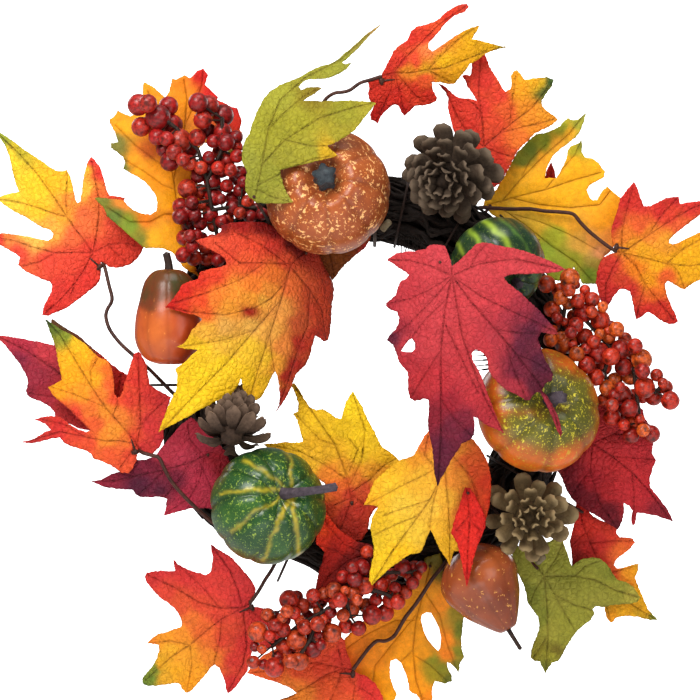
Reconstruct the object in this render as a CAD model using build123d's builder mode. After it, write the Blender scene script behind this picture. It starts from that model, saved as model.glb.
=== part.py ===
# Harvest door wreath: a bound grapevine ring dressed with fabric maple and oak leaves,
# three berry sprays, six small gourds and three pine cones.
# Millimetres, +Z up, X to the right, the dressed face looks along -Y.
# Origin: centre of the bore of the wire hanging loop at the top of the back.
import math
import os
from build123d import *

os.makedirs("parts", exist_ok=True)

# ---- driving dimensions -------------------------------------------------
RING_Y, RING_Z = -27.4, -157.3      # centre of the vine ring
RING_R = 128.0                      # radius of the ring's centre line
CORE_R = 21.4                       # bundle core
STRAND_R = 2.45                     # one vine strand
STRANDS = 25
BUNDLE_R = 26.0                     # outside of the vine bundle
BIND_R = 0.9                        # binding wire
BIND_ANGLES = [8, 60, 78, 112, 180, 204, 246, 262, 316, 330]

LOOP_R, LOOP_OUT, LOOP_T = 9.0, 12.0, 3.0       # hanging loop
PIN_R, PIN_CLEAR = 1.5, 0.08                    # its hinge pin
PIN_DROP = 16.5                                 # pin below the loop centre
BAND_X = 7.0                                    # wire bands that hold the pin
BAND_R = 1.3

BLADE_T = 0.8                       # stiffened fabric of the leaves
WIRE_R = 1.1                        # wired leaf stems
KNUCKLE_R, KNUCKLE_OUT, KNUCKLE_CLEAR = 0.9, 1.9, 0.06
STEM_R = 1.2                        # short stems of the fixed leaves
TRUNK_R, TWIG_R = 1.1, 0.55         # berry sprays

LEAVES = {
    "leaf_01": dict(anchor=(-196.7, -24.4, -61.5), slope=(0.05, 0.03), axis_deg=60, bend_r=260,
        outline=[(-271.0,29.5),(-264.2,25.4),(-256.8,20.6),(-245.7,12.4),(-234.6,5.1),(-227.3,-0.0),(-222.2,-2.9),(-218.6,-3.3),(-215.0,-1.9),(-212.8,-6.6),(-210.5,-14.6),(-209.1,-22.5),(-207.2,-26.1),(-205.1,-25.4),(-204.0,-16.7),(-203.3,-9.5),(-201.9,-2.3),(-199.8,4.2),(-197.6,7.5),(-194.7,4.9),(-190.4,-0.9),(-188.2,-9.5),(-186.0,-16.8),(-184.5,-20.4),(-178.1,-21.3),(-173.0,-22.2),(-174.4,-28.3),(-170.8,-37.7),(-164.4,-49.2),(-159.4,-57.8),(-161.5,-62.1),(-165.1,-67.2),(-170.9,-71.2),(-178.0,-73.0),(-184.5,-72.1),(-188.1,-69.8),(-190.2,-69.0),(-190.2,-74.5),(-190.9,-81.7),(-193.1,-85.3),(-199.5,-90.3),(-206.7,-96.1),(-213.9,-101.1),(-219.6,-104.0),(-225.4,-106.2),(-228.2,-107.6),(-232.6,-106.9),(-231.1,-99.7),(-228.3,-94.7),(-226.1,-90.3),(-225.4,-85.3),(-226.9,-83.1),(-232.6,-81.0),(-239.2,-78.1),(-244.9,-75.2),(-250.0,-70.8),(-248.6,-65.1),(-253.0,-62.2),(-259.6,-58.5),(-266.2,-54.9),(-272.8,-50.2),(-263.3,-47.9),(-256.0,-48.1),(-245.1,-49.9),(-234.2,-52.1),(-228.4,-53.2),(-225.6,-51.4),(-224.8,-48.5),(-227.0,-45.6),(-232.8,-43.8),(-239.4,-39.8),(-245.2,-36.2),(-254.0,-31.8),(-261.3,-26.7),(-266.5,-23.0),(-261.4,-20.5),(-256.3,-19.1),(-249.8,-17.7),(-252.7,-10.8),(-255.0,-2.0),(-257.4,8.9),(-260.4,15.5),(-264.9,22.1)],
        holes=[]),
    "leaf_02": dict(anchor=(-143.8, -32.4, -2.7), slope=(0.03, 0.27), axis_deg=90, bend_r=300,
        outline=[(-178.2,40.7),(-175.2,38.8),(-169.4,36.6),(-164.4,38.1),(-161.6,44.6),(-160.2,51.9),(-160.6,57.1),(-159.9,61.5),(-156.7,60.0),(-151.6,57.1),(-147.9,53.4),(-144.3,50.1),(-141.5,54.1),(-140.1,60.0),(-139.4,64.0),(-135.8,63.3),(-130.8,66.6),(-126.4,64.4),(-121.4,69.6),(-117.1,71.4),(-113.5,66.7),(-115.6,59.4),(-110.5,55.0),(-106.1,50.7),(-106.9,48.8),(-101.8,46.3),(-96.0,43.4),(-92.4,42.4),(-90.2,37.6),(-88.8,32.5),(-90.2,26.7),(-88.0,23.4),(-89.4,15.8),(-93.0,7.0),(-98.7,4.8),(-103.0,11.3),(-108.8,17.8),(-115.3,17.0),(-121.0,11.9),(-123.1,4.6),(-122.3,-2.6),(-120.1,-13.5),(-117.8,-24.3),(-119.9,-35.2),(-123.4,-49.6),(-124.7,-64.0),(-121.1,-73.4),(-118.2,-79.9),(-125.3,-75.9),(-130.3,-72.7),(-134.0,-66.9),(-138.3,-62.3),(-143.3,-59.8),(-150.5,-59.0),(-156.9,-59.4),(-159.1,-58.3),(-163.4,-54.7),(-170.0,-48.9),(-176.5,-43.2),(-185.2,-35.9),(-187.5,-30.1),(-192.6,-25.4),(-194.1,-22.9),(-190.4,-22.5),(-181.0,-23.6),(-173.1,-24.7),(-170.9,-28.0),(-166.5,-31.6),(-160.1,-34.2),(-154.3,-34.9),(-150.0,-32.3),(-149.0,-27.3),(-150.1,-22.2),(-153.0,-17.2),(-158.1,-11.4),(-163.2,-7.7),(-169.0,-4.8),(-174.1,-1.9),(-172.7,2.4),(-174.2,6.8),(-178.5,10.4),(-182.9,13.4),(-183.0,16.6),(-177.9,17.7),(-180.1,24.3),(-183.9,31.6),(-184.6,33.8),(-181.0,35.9)],
        holes=[]),
    "leaf_04": dict(anchor=(-45.9, -127.6, 1.3), slope=(-0.06, 0.1), axis_deg=0, bend_r=130,
        outline=[(12.0,100.6),(2.0,93.3),(-10.8,81.2),(-19.3,73.7),(-24.9,70.1),(-32.0,68.2),(-37.6,65.7),(-46.1,60.6),(-53.1,57.7),(-60.2,54.8),(-67.2,50.5),(-71.4,45.4),(-75.6,37.5),(-79.0,29.0),(-81.8,19.7),(-85.3,14.1),(-86.7,7.0),(-86.7,-0.1),(-83.1,-7.1),(-84.5,-14.1),(-84.5,-20.4),(-81.0,-25.3),(-76.8,-28.5),(-68.4,-29.2),(-58.5,-29.2),(-50.8,-28.2),(-54.3,-23.3),(-57.1,-17.7),(-59.2,-10.7),(-59.9,-5.7),(-54.3,-4.3),(-44.5,-2.2),(-34.7,0.5),(-26.9,2.3),(-19.2,4.0),(-24.1,8.6),(-26.9,11.1),(-20.6,13.9),(-13.6,17.8),(-7.3,22.4),(-2.4,28.8),(2.6,35.2),(7.5,41.6),(0.5,42.9),(-10.8,43.5),(-24.9,43.1),(-37.5,43.2),(-43.9,43.2),(-41.1,45.4),(-35.5,48.6),(-30.5,52.5),(-35.5,53.5),(-41.1,52.9),(-45.3,51.1),(-46.8,53.7),(-44.0,57.3),(-39.7,59.1),(-32.0,58.9),(-25.6,59.8),(-18.6,62.7),(-13.6,66.0),(-9.4,71.1),(-14.3,69.7),(-16.5,70.8),(-11.5,75.2),(-3.7,83.0),(3.4,91.3)],
        holes=[]),
    "leaf_05": dict(anchor=(46.5, -47.4, 74.2), slope=(0.05, -0.08), axis_deg=25, bend_r=90,
        outline=[(11.4,64.5),(14.3,69.9),(17.9,77.1),(20.0,81.4),(22.9,85.0),(27.2,87.9),(30.8,90.7),(32.9,96.5),(36.5,99.4),(42.9,100.8),(48.7,103.0),(53.7,105.8),(58.0,110.2),(62.3,113.0),(68.0,115.6),(73.1,115.9),(74.5,113.7),(70.9,110.1),(64.4,107.6),(60.9,105.1),(56.6,100.8),(53.0,95.7),(48.7,91.4),(45.8,87.8),(45.4,84.2),(47.9,81.9),(51.5,83.9),(57.3,87.8),(64.4,92.8),(70.2,96.4),(75.9,98.9),(82.3,100.7),(80.2,96.4),(76.6,90.7),(80.9,90.0),(85.9,88.6),(91.7,87.2),(96.7,86.0),(102.5,85.1),(96.7,83.9),(91.0,82.2),(86.0,80.1),(81.0,75.8),(75.2,72.9),(72.4,68.7),(68.1,63.7),(64.5,59.0),(59.5,58.7),(53.7,60.0),(48.0,59.6),(48.7,54.3),(51.6,49.4),(50.9,46.6),(46.6,44.4),(40.9,43.3),(35.8,42.9),(32.2,39.4),(27.9,35.8),(25.8,39.3),(24.3,42.9),(20.7,43.9),(16.4,40.7),(11.4,35.7),(9.3,30.0),(7.1,32.1),(4.3,32.8),(3.5,36.4),(5.7,40.6),(7.1,44.2),(3.5,46.3),(2.1,50.6),(2.8,55.6),(2.1,59.9),(7.1,62.0)],
        holes=[]),
    "leaf_06": dict(anchor=(89.8, -33.4, 29.7), slope=(0.04, -0.05), axis_deg=40, bend_r=240,
        outline=[(52.5,59.9),(57.5,57.7),(61.8,53.4),(66.8,49.4),(70.4,48.7),(75.5,48.7),(80.5,46.9),(76.9,52.7),(73.3,57.7),(71.9,62.0),(69.7,64.9),(72.6,66.4),(75.5,64.9),(76.9,70.7),(76.9,76.5),(79.8,82.9),(84.1,86.5),(87.0,79.3),(89.8,71.4),(94.2,64.1),(97.0,59.8),(98.5,56.2),(101.3,53.7),(104.2,55.5),(105.6,59.8),(104.9,64.9),(107.1,68.5),(109.2,69.5),(112.1,66.3),(115.0,62.0),(120.0,63.1),(125.8,63.8),(131.5,64.2),(135.9,62.0),(134.4,57.7),(130.9,52.7),(127.3,47.7),(127.3,43.4),(130.9,39.8),(135.2,37.0),(138.9,34.1),(135.3,30.5),(130.9,27.6),(125.9,25.5),(121.6,23.3),(117.3,18.3),(113.0,14.7),(109.4,10.4),(106.5,4.6),(103.6,-1.1),(100.0,-6.9),(97.2,-11.9),(93.6,-14.8),(89.2,-14.1),(86.3,-10.5),(81.3,-4.1),(78.4,4.5),(74.0,11.7),(68.3,18.1),(64.0,24.6),(62.5,28.9),(61.1,34.7),(59.7,41.9),(59.7,49.1),(57.5,53.4)],
        holes=[]),
    "leaf_07": dict(anchor=(140.9, -15.4, -23.8), slope=(0.02, 0.0), axis_deg=60, bend_r=320,
        outline=[(159.7,39.4),(158.2,32.6),(156.0,26.8),(152.4,21.7),(148.1,18.1),(140.9,13.1),(135.8,8.0),(132.9,3.0),(130.8,-2.1),(130.0,-7.9),(138.0,-7.9),(140.9,-3.6),(145.2,5.1),(146.6,12.3),(148.8,15.2),(153.1,16.7),(156.8,19.6),(156.8,10.9),(158.9,6.9),(164.0,6.6),(168.3,3.7),(173.4,-3.5),(172.7,-7.1),(167.6,-10.0),(162.5,-12.9),(160.4,-16.5),(161.8,-20.9),(164.7,-24.1),(167.6,-23.7),(170.5,-18.7),(172.7,-15.8),(175.6,-14.0),(178.5,-17.2),(185.1,-22.2),(185.8,-34.5),(183.7,-49.0),(178.6,-59.8),(172.1,-65.6),(169.2,-72.8),(167.1,-84.4),(162.7,-84.4),(157.6,-84.4),(154.0,-78.6),(151.0,-72.1),(148.1,-77.2),(140.9,-82.3),(133.7,-81.5),(126.4,-71.4),(117.0,-59.2),(108.3,-46.9),(99.7,-39.7),(91.1,-33.9),(85.3,-27.3),(87.5,-22.3),(91.8,-20.1),(95.4,-15.0),(101.2,-5.7),(107.0,5.2),(109.9,11.0),(112.0,12.4),(117.8,18.9),(123.6,24.0),(130.1,24.7),(135.8,26.8),(140.9,29.7),(144.5,34.0),(146.7,35.5),(149.6,34.0),(153.9,34.4)],
        holes=[]),
    "leaf_23": dict(anchor=(134.6, -7.4, -12.7), slope=(0.0, 0.0), axis_deg=90.0, bend_r=300,
        outline=[(126.7,-27.2),(128.9,-16.3),(131.0,-3.3),(134.6,4.3),(137.5,-2.6),(139.7,-16.3),(142.6,-27.2),(134.6,-33.7)],
        holes=[]),
    "leaf_08": dict(anchor=(201.6, -27.4, -63.7), slope=(0.06, 0.0), axis_deg=80, bend_r=220,
        outline=[(193.7,-10.8),(196.6,-16.9),(198.7,-23.4),(200.9,-28.4),(205.2,-28.4),(211.0,-25.5),(216.8,-22.6),(226.2,-21.5),(226.9,-26.9),(234.2,-25.4),(241.5,-24.7),(250.3,-24.6),(245.9,-31.1),(241.5,-34.8),(235.7,-39.1),(229.1,-44.2),(223.3,-48.5),(219.0,-52.9),(219.0,-55.0),(221.9,-56.1),(227.0,-54.3),(234.2,-50.7),(241.5,-47.0),(250.3,-44.1),(258.4,-41.2),(254.8,-48.4),(251.8,-52.7),(257.7,-57.0),(263.7,-64.2),(256.3,-67.1),(251.1,-70.0),(252.6,-75.8),(250.4,-81.6),(241.6,-81.6),(236.5,-83.8),(232.8,-86.7),(229.9,-88.5),(227.0,-87.4),(221.2,-83.8),(217.5,-82.4),(216.1,-85.3),(217.6,-92.5),(220.5,-99.7),(224.1,-106.9),(225.6,-111.2),(223.4,-113.4),(218.3,-113.4),(212.5,-110.5),(206.7,-106.2),(203.8,-104.7),(198.7,-108.3),(195.1,-110.1),(193.7,-103.3),(192.2,-96.1),(190.8,-90.3),(187.2,-88.2),(183.6,-88.2),(179.2,-93.2),(176.4,-98.3),(173.5,-102.6),(171.3,-100.4),(169.2,-95.4),(167.8,-90.3),(166.3,-83.9),(167.1,-75.9),(169.2,-68.7),(172.1,-65.1),(177.1,-62.6),(181.4,-61.5),(178.6,-56.5),(177.1,-49.3),(177.9,-42.1),(180.7,-34.9),(182.2,-29.1),(183.6,-23.4),(187.9,-17.6)],
        holes=[]),
    "leaf_09": dict(anchor=(76.9, -127.9, -111.0), slope=(-0.1, 0.0), axis_deg=80, bend_r=170,
        outline=[(42.0,-61.0),(45.5,-58.2),(50.4,-57.9),(56.0,-59.0),(58.8,-65.4),(60.9,-73.1),(66.4,-68.9),(72.0,-63.3),(78.3,-57.3),(83.9,-56.7),(87.4,-57.0),(94.4,-59.1),(102.9,-60.5),(112.0,-62.6),(121.1,-66.1),(129.6,-69.6),(136.7,-73.1),(140.9,-75.5),(135.3,-77.3),(128.2,-78.0),(119.0,-78.4),(109.9,-78.8),(101.5,-79.1),(97.3,-80.9),(98.7,-83.7),(104.3,-88.6),(109.9,-92.8),(115.5,-98.4),(121.2,-103.3),(126.1,-108.9),(131.1,-114.5),(136.1,-120.9),(131.1,-120.9),(126.2,-120.2),(123.3,-119.8),(121.2,-123.7),(122.6,-128.6),(124.1,-133.5),(126.2,-139.1),(129.8,-144.7),(131.9,-149.0),(131.2,-153.2),(126.2,-156.0),(124.1,-160.2),(127.0,-163.7),(130.5,-168.7),(134.1,-175.7),(137.0,-182.8),(138.4,-189.8),(137.7,-193.7),(134.8,-188.4),(132.0,-181.3),(128.4,-172.9),(124.8,-165.8),(122.7,-161.6),(119.2,-162.3),(117.0,-164.4),(115.6,-167.2),(112.8,-167.6),(109.3,-165.1),(105.0,-163.0),(100.1,-160.9),(96.6,-158.1),(93.1,-155.3),(88.2,-149.6),(86.1,-144.7),(85.4,-139.1),(83.2,-134.9),(80.4,-132.5),(76.2,-132.1),(74.8,-134.9),(75.5,-139.8),(78.3,-144.7),(80.4,-148.2),(82.6,-153.2),(85.4,-161.6),(88.9,-170.7),(92.4,-179.8),(97.3,-190.4),(93.1,-188.3),(87.5,-186.2),(81.9,-182.6),(78.4,-179.8),(76.2,-179.1),(76.9,-184.7),(76.3,-191.8),(73.4,-195.3),(67.8,-197.4),(65.0,-202.3),(59.4,-210.7),(55.9,-217.8),(52.4,-223.4),(51.0,-228.0),(49.6,-223.4),(48.2,-216.4),(47.5,-205.9),(46.1,-195.3),(44.0,-186.9),(44.0,-181.3),(44.7,-170.8),(44.0,-167.2),(41.2,-166.2),(38.4,-167.3),(34.2,-168.0),(31.4,-165.9),(30.0,-160.2),(30.0,-153.2),(30.0,-147.6),(27.2,-144.8),(23.7,-140.5),(21.6,-133.5),(19.5,-128.6),(15.3,-125.1),(16.7,-122.2),(20.9,-118.0),(23.0,-114.5),(23.7,-109.6),(22.3,-105.3),(18.1,-103.9),(14.6,-101.1),(14.6,-98.9),(17.4,-96.8),(21.6,-93.3),(23.0,-87.7),(25.1,-83.5),(29.3,-81.7),(30.7,-79.3),(28.6,-77.2),(24.4,-75.0),(19.5,-71.4),(15.3,-68.6),(18.8,-65.8),(22.3,-63.7),(28.0,-63.0),(35.0,-62.4)],
        holes=[[(25.1,-132.8),(27.9,-128.6),(30.7,-125.1),(32.8,-124.0),(34.9,-127.2),(34.9,-131.4),(32.8,-133.5),(28.6,-133.5)]]),
    "leaf_10": dict(anchor=(-116.7, -103.4, -118.0), slope=(0.2, 0.0), axis_deg=90, bend_r=165,
        outline=[(-141.4,-101.8),(-136.4,-96.8),(-132.2,-91.2),(-129.4,-86.2),(-123.8,-83.4),(-118.2,-82.0),(-116.7,-77.0),(-109.7,-74.9),(-102.7,-73.4),(-98.1,-71.6),(-98.5,-68.5),(-102.7,-64.6),(-108.3,-61.4),(-113.2,-59.3),(-116.7,-56.9),(-120.3,-54.8),(-113.2,-53.0),(-106.2,-51.5),(-102.0,-48.0),(-102.0,-43.7),(-94.3,-41.9),(-83.7,-41.1),(-73.2,-41.3),(-64.0,-44.8),(-53.5,-51.7),(-42.9,-56.6),(-33.7,-60.7),(-30.8,-69.2),(-27.3,-76.3),(-23.7,-82.0),(-22.3,-89.1),(-23.7,-99.9),(-24.4,-110.6),(-25.1,-119.9),(-26.5,-124.9),(-29.4,-126.0),(-32.9,-123.2),(-35.8,-122.1),(-37.2,-127.1),(-39.3,-135.7),(-42.2,-142.8),(-46.4,-146.3),(-49.2,-149.2),(-50.7,-153.4),(-52.8,-159.1),(-55.6,-164.8),(-59.1,-170.5),(-63.7,-176.5),(-61.2,-171.2),(-60.5,-164.1),(-61.2,-157.0),(-62.6,-149.9),(-64.0,-147.0),(-66.2,-150.6),(-69.0,-156.9),(-71.8,-162.6),(-74.6,-166.8),(-78.8,-168.2),(-83.0,-167.9),(-85.1,-164.0),(-86.9,-156.9),(-88.0,-152.3),(-90.1,-156.9),(-93.6,-162.5),(-98.5,-167.5),(-102.7,-168.9),(-104.8,-167.8),(-109.7,-171.0),(-114.6,-173.1),(-119.6,-175.9),(-123.8,-178.7),(-128.7,-180.8),(-133.6,-183.6),(-137.8,-185.7),(-142.1,-187.9),(-146.0,-190.0),(-144.2,-185.0),(-141.4,-178.0),(-139.3,-172.3),(-137.1,-167.4),(-134.3,-161.7),(-132.9,-156.8),(-132.9,-149.7),(-134.3,-145.5),(-130.8,-142.7),(-126.6,-139.9),(-122.4,-135.6),(-118.5,-132.1),(-125.2,-131.4),(-134.0,-130.0),(-128.0,-127.2),(-124.5,-122.9),(-122.4,-118.0),(-118.2,-113.7),(-115.3,-110.9),(-116.7,-108.8),(-120.3,-107.4),(-127.3,-106.0),(-134.3,-103.9)],
        holes=[]),
    "leaf_11": dict(anchor=(-16.5, -48.9, -64.8), slope=(-0.05, 0.0), axis_deg=90.0, bend_r=200,
        outline=[(-35.2,-55.4),(-26.6,-58.3),(-14.4,-57.6),(-5.1,-54.0),(0.7,-49.7),(3.5,-46.9),(4.2,-51.9),(0.7,-58.3),(-7.2,-64.8),(-14.4,-71.2),(-19.4,-77.0),(-23.0,-82.3),(-27.3,-76.9),(-31.6,-67.6)],
        holes=[]),
    "leaf_12": dict(anchor=(-186.0, -55.4, -175.0), slope=(-0.08, 0.0), axis_deg=45, bend_r=320,
        outline=[(-229.6,-109.9),(-224.5,-112.7),(-218.6,-117.1),(-211.3,-120.6),(-204.1,-124.9),(-199.7,-128.5),(-195.4,-132.8),(-191.8,-136.4),(-187.5,-138.5),(-183.9,-140.0),(-181.7,-143.5),(-180.2,-150.0),(-179.5,-157.1),(-179.5,-162.8),(-177.4,-166.4),(-175.2,-165.7),(-173.1,-160.7),(-171.6,-155.0),(-169.5,-148.5),(-167.3,-140.7),(-165.2,-135.0),(-161.6,-132.8),(-158.7,-137.8),(-155.8,-143.5),(-155.1,-150.0),(-153.7,-157.1),(-149.4,-160.0),(-144.4,-162.8),(-138.7,-165.7),(-140.9,-172.8),(-143.0,-179.3),(-144.5,-186.4),(-143.8,-194.3),(-146.7,-201.5),(-152.4,-206.5),(-156.0,-205.8),(-160.2,-205.0),(-163.1,-206.5),(-163.1,-210.8),(-166.0,-216.5),(-168.9,-220.1),(-173.9,-220.1),(-176.7,-218.3),(-182.4,-214.3),(-189.6,-211.1),(-194.6,-209.7),(-195.3,-207.2),(-198.9,-204.3),(-203.9,-202.9),(-211.1,-200.8),(-216.1,-197.9),(-218.3,-194.7),(-225.5,-195.8),(-232.7,-197.9),(-239.9,-199.0),(-247.1,-198.0),(-242.0,-196.9),(-237.7,-195.8),(-234.1,-193.7),(-229.1,-190.8),(-224.8,-189.3),(-229.1,-185.1),(-237.0,-181.5),(-229.8,-179.7),(-224.1,-179.2),(-218.3,-180.0),(-215.4,-182.2),(-209.7,-186.5),(-205.3,-189.0),(-199.6,-190.7),(-196.0,-189.3),(-199.6,-186.5),(-203.9,-182.2),(-209.7,-176.5),(-214.0,-172.2),(-219.8,-167.9),(-224.1,-163.2),(-227.0,-158.6),(-222.0,-156.4),(-217.0,-153.6),(-218.4,-146.4),(-219.9,-139.3),(-222.2,-128.5),(-225.9,-119.2)],
        holes=[]),
    "leaf_03": dict(anchor=(-219.2, -35.4, -150.1), slope=(-0.03, 0.0), axis_deg=45, bend_r=260,
        outline=[(-270.0,-120.6),(-255.4,-122.4),(-244.5,-124.2),(-233.7,-126.3),(-223.5,-128.9),(-224.3,-122.0),(-225.8,-112.0),(-225.1,-109.5),(-217.8,-114.8),(-204.8,-122.4),(-195.4,-131.0),(-187.5,-137.1),(-181.8,-142.5),(-176.1,-146.8),(-170.4,-150.1),(-171.1,-157.3),(-173.3,-165.9),(-176.9,-170.9),(-182.0,-181.0),(-190.6,-188.2),(-197.1,-190.3),(-206.4,-188.2),(-214.9,-183.9),(-222.8,-179.5),(-222.8,-177.4),(-226.4,-173.1),(-232.1,-169.5),(-239.3,-167.3),(-242.9,-164.4),(-243.7,-160.8),(-242.2,-155.8),(-243.7,-150.1),(-248.1,-142.2),(-253.9,-135.0),(-259.7,-127.8),(-266.3,-122.7)],
        holes=[]),
    "leaf_13": dict(anchor=(-135.9, -56.1, -217.9), slope=(-0.12, 0.0), axis_deg=70, bend_r=220,
        outline=[(-163.3,-210.8),(-156.8,-210.4),(-150.3,-207.9),(-144.5,-200.7),(-138.1,-192.9),(-130.9,-185.0),(-124.4,-180.0),(-118.0,-185.0),(-108.0,-195.0),(-99.4,-205.0),(-95.8,-215.0),(-98.7,-225.0),(-101.6,-232.2),(-102.3,-239.3),(-105.2,-246.1),(-114.4,-245.0),(-125.2,-245.4),(-133.8,-247.9),(-143.8,-250.4),(-142.4,-243.6),(-141.6,-238.6),(-146.7,-237.2),(-161.1,-237.5),(-164.7,-235.2),(-166.1,-232.3),(-177.0,-231.7),(-187.1,-230.3),(-196.6,-226.4),(-189.3,-225.3),(-182.8,-221.3),(-174.1,-218.4),(-167.6,-215.1)],
        holes=[]),
    "leaf_14": dict(anchor=(-110.0, -33.4, -322.6), slope=(-0.03, 0.0), axis_deg=45, bend_r=260,
        outline=[(-110.8,-271.7),(-107.2,-274.5),(-102.1,-277.4),(-97.1,-280.2),(-92.8,-284.5),(-87.7,-290.2),(-83.4,-295.3),(-80.5,-298.9),(-78.4,-304.6),(-80.5,-309.6),(-82.3,-313.2),(-80.5,-316.5),(-74.1,-317.6),(-69.8,-317.9),(-64.7,-321.2),(-59.7,-324.8),(-58.3,-333.5),(-59.7,-342.9),(-66.9,-346.9),(-75.5,-346.8),(-80.6,-347.9),(-82.7,-355.1),(-84.6,-363.1),(-88.5,-368.1),(-91.4,-372.5),(-95.7,-377.5),(-98.6,-379.3),(-100.0,-376.8),(-100.7,-371.0),(-102.9,-365.2),(-105.0,-360.8),(-107.9,-358.6),(-110.8,-360.1),(-113.6,-364.4),(-118.7,-370.2),(-122.3,-374.5),(-125.9,-378.1),(-128.8,-378.8),(-131.6,-375.9),(-133.1,-372.3),(-136.7,-371.6),(-143.8,-373.0),(-151.0,-373.7),(-156.1,-373.7),(-159.7,-372.3),(-160.4,-368.7),(-157.5,-364.4),(-153.2,-360.1),(-149.6,-353.6),(-148.2,-347.8),(-148.5,-344.3),(-152.5,-343.6),(-156.8,-343.2),(-153.2,-339.3),(-148.9,-336.4),(-143.1,-334.9),(-137.4,-332.7),(-132.3,-331.3),(-131.6,-327.7),(-133.1,-323.4),(-136.7,-318.4),(-141.7,-314.1),(-147.5,-310.5),(-153.3,-304.1),(-157.0,-299.9),(-158.4,-295.6),(-157.0,-292.3),(-152.7,-291.6),(-146.1,-290.8),(-140.4,-291.2),(-136.7,-291.1),(-137.5,-286.9),(-138.2,-282.2),(-134.6,-286.1),(-129.5,-289.0),(-124.5,-291.1),(-118.7,-292.5),(-114.4,-293.9),(-110.8,-291.7),(-110.0,-286.7),(-109.3,-281.0),(-110.8,-276.0)],
        holes=[]),
    "leaf_15": dict(anchor=(-32.3, -38.4, -369.0), slope=(-0.03, 0.0), axis_deg=10, bend_r=240,
        outline=[(-84.8,-364.1),(-74.0,-367.7),(-62.5,-371.3),(-53.9,-374.8),(-49.2,-378.4),(-57.5,-382.0),(-69.7,-385.6),(-74.0,-390.0),(-57.5,-392.1),(-43.1,-399.3),(-33.8,-395.0),(-21.6,-399.3),(-10.8,-402.9),(-2.2,-392.8),(14.3,-387.7),(12.2,-379.8),(7.1,-371.1),(0.7,-366.1),(-6.5,-363.6),(-9.4,-360.4),(-10.8,-354.7),(-13.7,-347.5),(-14.4,-340.4),(-21.6,-334.7),(-33.8,-336.1),(-48.2,-340.5),(-62.5,-345.5),(-74.0,-351.9),(-81.2,-358.4)],
        holes=[]),
    "leaf_16": dict(anchor=(39.4, -45.4, -325.6), slope=(-0.02, -0.24), axis_deg=90, bend_r=260,
        outline=[(42.8,-280.8),(53.5,-277.2),(55.7,-285.8),(56.1,-296.7),(58.7,-306.8),(64.4,-315.5),(70.9,-322.1),(70.2,-329.3),(68.9,-340.2),(69.6,-347.5),(71.1,-352.6),(68.2,-356.9),(67.5,-363.8),(64.6,-360.6),(61.0,-356.9),(58.9,-356.2),(59.6,-360.5),(62.5,-366.4),(62.5,-370.0),(57.5,-371.8),(53.9,-370.7),(50.3,-370.0),(48.9,-372.9),(48.2,-378.7),(48.9,-386.8),(44.6,-389.7),(39.5,-383.8),(37.4,-380.2),(33.8,-378.7),(31.6,-376.6),(30.9,-370.7),(28.7,-363.4),(25.8,-356.9),(22.2,-354.0),(18.6,-355.5),(17.9,-360.6),(18.0,-367.1),(20.1,-373.7),(23.0,-379.5),(21.6,-383.2),(16.6,-388.3),(7.9,-391.3),(-5.0,-378.3),(-14.4,-363.8),(-17.3,-351.5),(-14.4,-339.1),(-7.2,-331.7),(3.5,-322.2),(14.3,-312.7),(25.0,-305.4),(34.3,-298.1),(40.0,-289.4)],
        holes=[[(40.1,-325.6),(40.8,-322.0),(43.7,-320.2),(47.2,-320.5),(50.1,-325.6),(53.0,-331.4),(54.5,-338.7),(53.8,-346.0),(52.4,-348.1),(48.8,-344.5),(45.2,-340.1),(42.3,-334.3)]]),
    "leaf_17": dict(anchor=(-14.4, -67.4, -210.5), slope=(-0.04, 0.06), axis_deg=20, bend_r=200,
        outline=[(-50.9,-155.4),(-46.6,-161.4),(-43.0,-167.8),(-39.4,-172.8),(-35.1,-174.9),(-30.1,-174.2),(-25.1,-177.1),(-20.8,-180.6),(-17.2,-181.3),(-15.8,-176.3),(-13.7,-169.2),(-10.8,-164.2),(-8.7,-161.7),(-5.8,-166.4),(-1.5,-173.5),(2.0,-182.0),(7.0,-190.6),(9.9,-197.0),(12.0,-201.2),(17.7,-204.8),(24.1,-210.5),(28.4,-217.6),(23.4,-229.0),(16.3,-236.2),(11.3,-242.3),(6.3,-246.2),(3.5,-251.9),(2.0,-260.5),(-2.2,-267.7),(-14.4,-271.3),(-26.5,-271.2),(-32.9,-267.6),(-35.0,-253.3),(-30.8,-239.0),(-28.6,-227.6),(-34.3,-223.3),(-42.9,-217.7),(-50.0,-213.4),(-58.6,-208.4),(-67.9,-203.5),(-72.9,-199.2),(-64.3,-198.8),(-57.2,-197.7),(-50.0,-198.1),(-44.3,-197.4),(-46.5,-189.2),(-48.6,-182.1),(-51.5,-177.8),(-47.9,-175.7),(-48.0,-170.0),(-50.1,-162.8),(-53.0,-157.1)],
        holes=[]),
    "leaf_19": dict(anchor=(-14.4, -73.4, -285.1), slope=(0.0, 0.05), axis_deg=90, bend_r=180,
        outline=[(-33.6,-237.2),(-27.2,-248.9),(-19.3,-259.5),(-6.5,-268.1),(4.9,-270.9),(9.1,-281.6),(7.0,-295.8),(-3.7,-310.0),(-21.5,-313.5),(-36.8,-307.9),(-35.0,-299.4),(-32.9,-288.7),(-30.0,-281.6),(-29.0,-275.9),(-35.0,-269.9),(-34.3,-253.2)],
        holes=[]),
    "leaf_18": dict(anchor=(45.8, -95.4, -241.8), slope=(-0.02, 0.02), axis_deg=70, bend_r=200,
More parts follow.
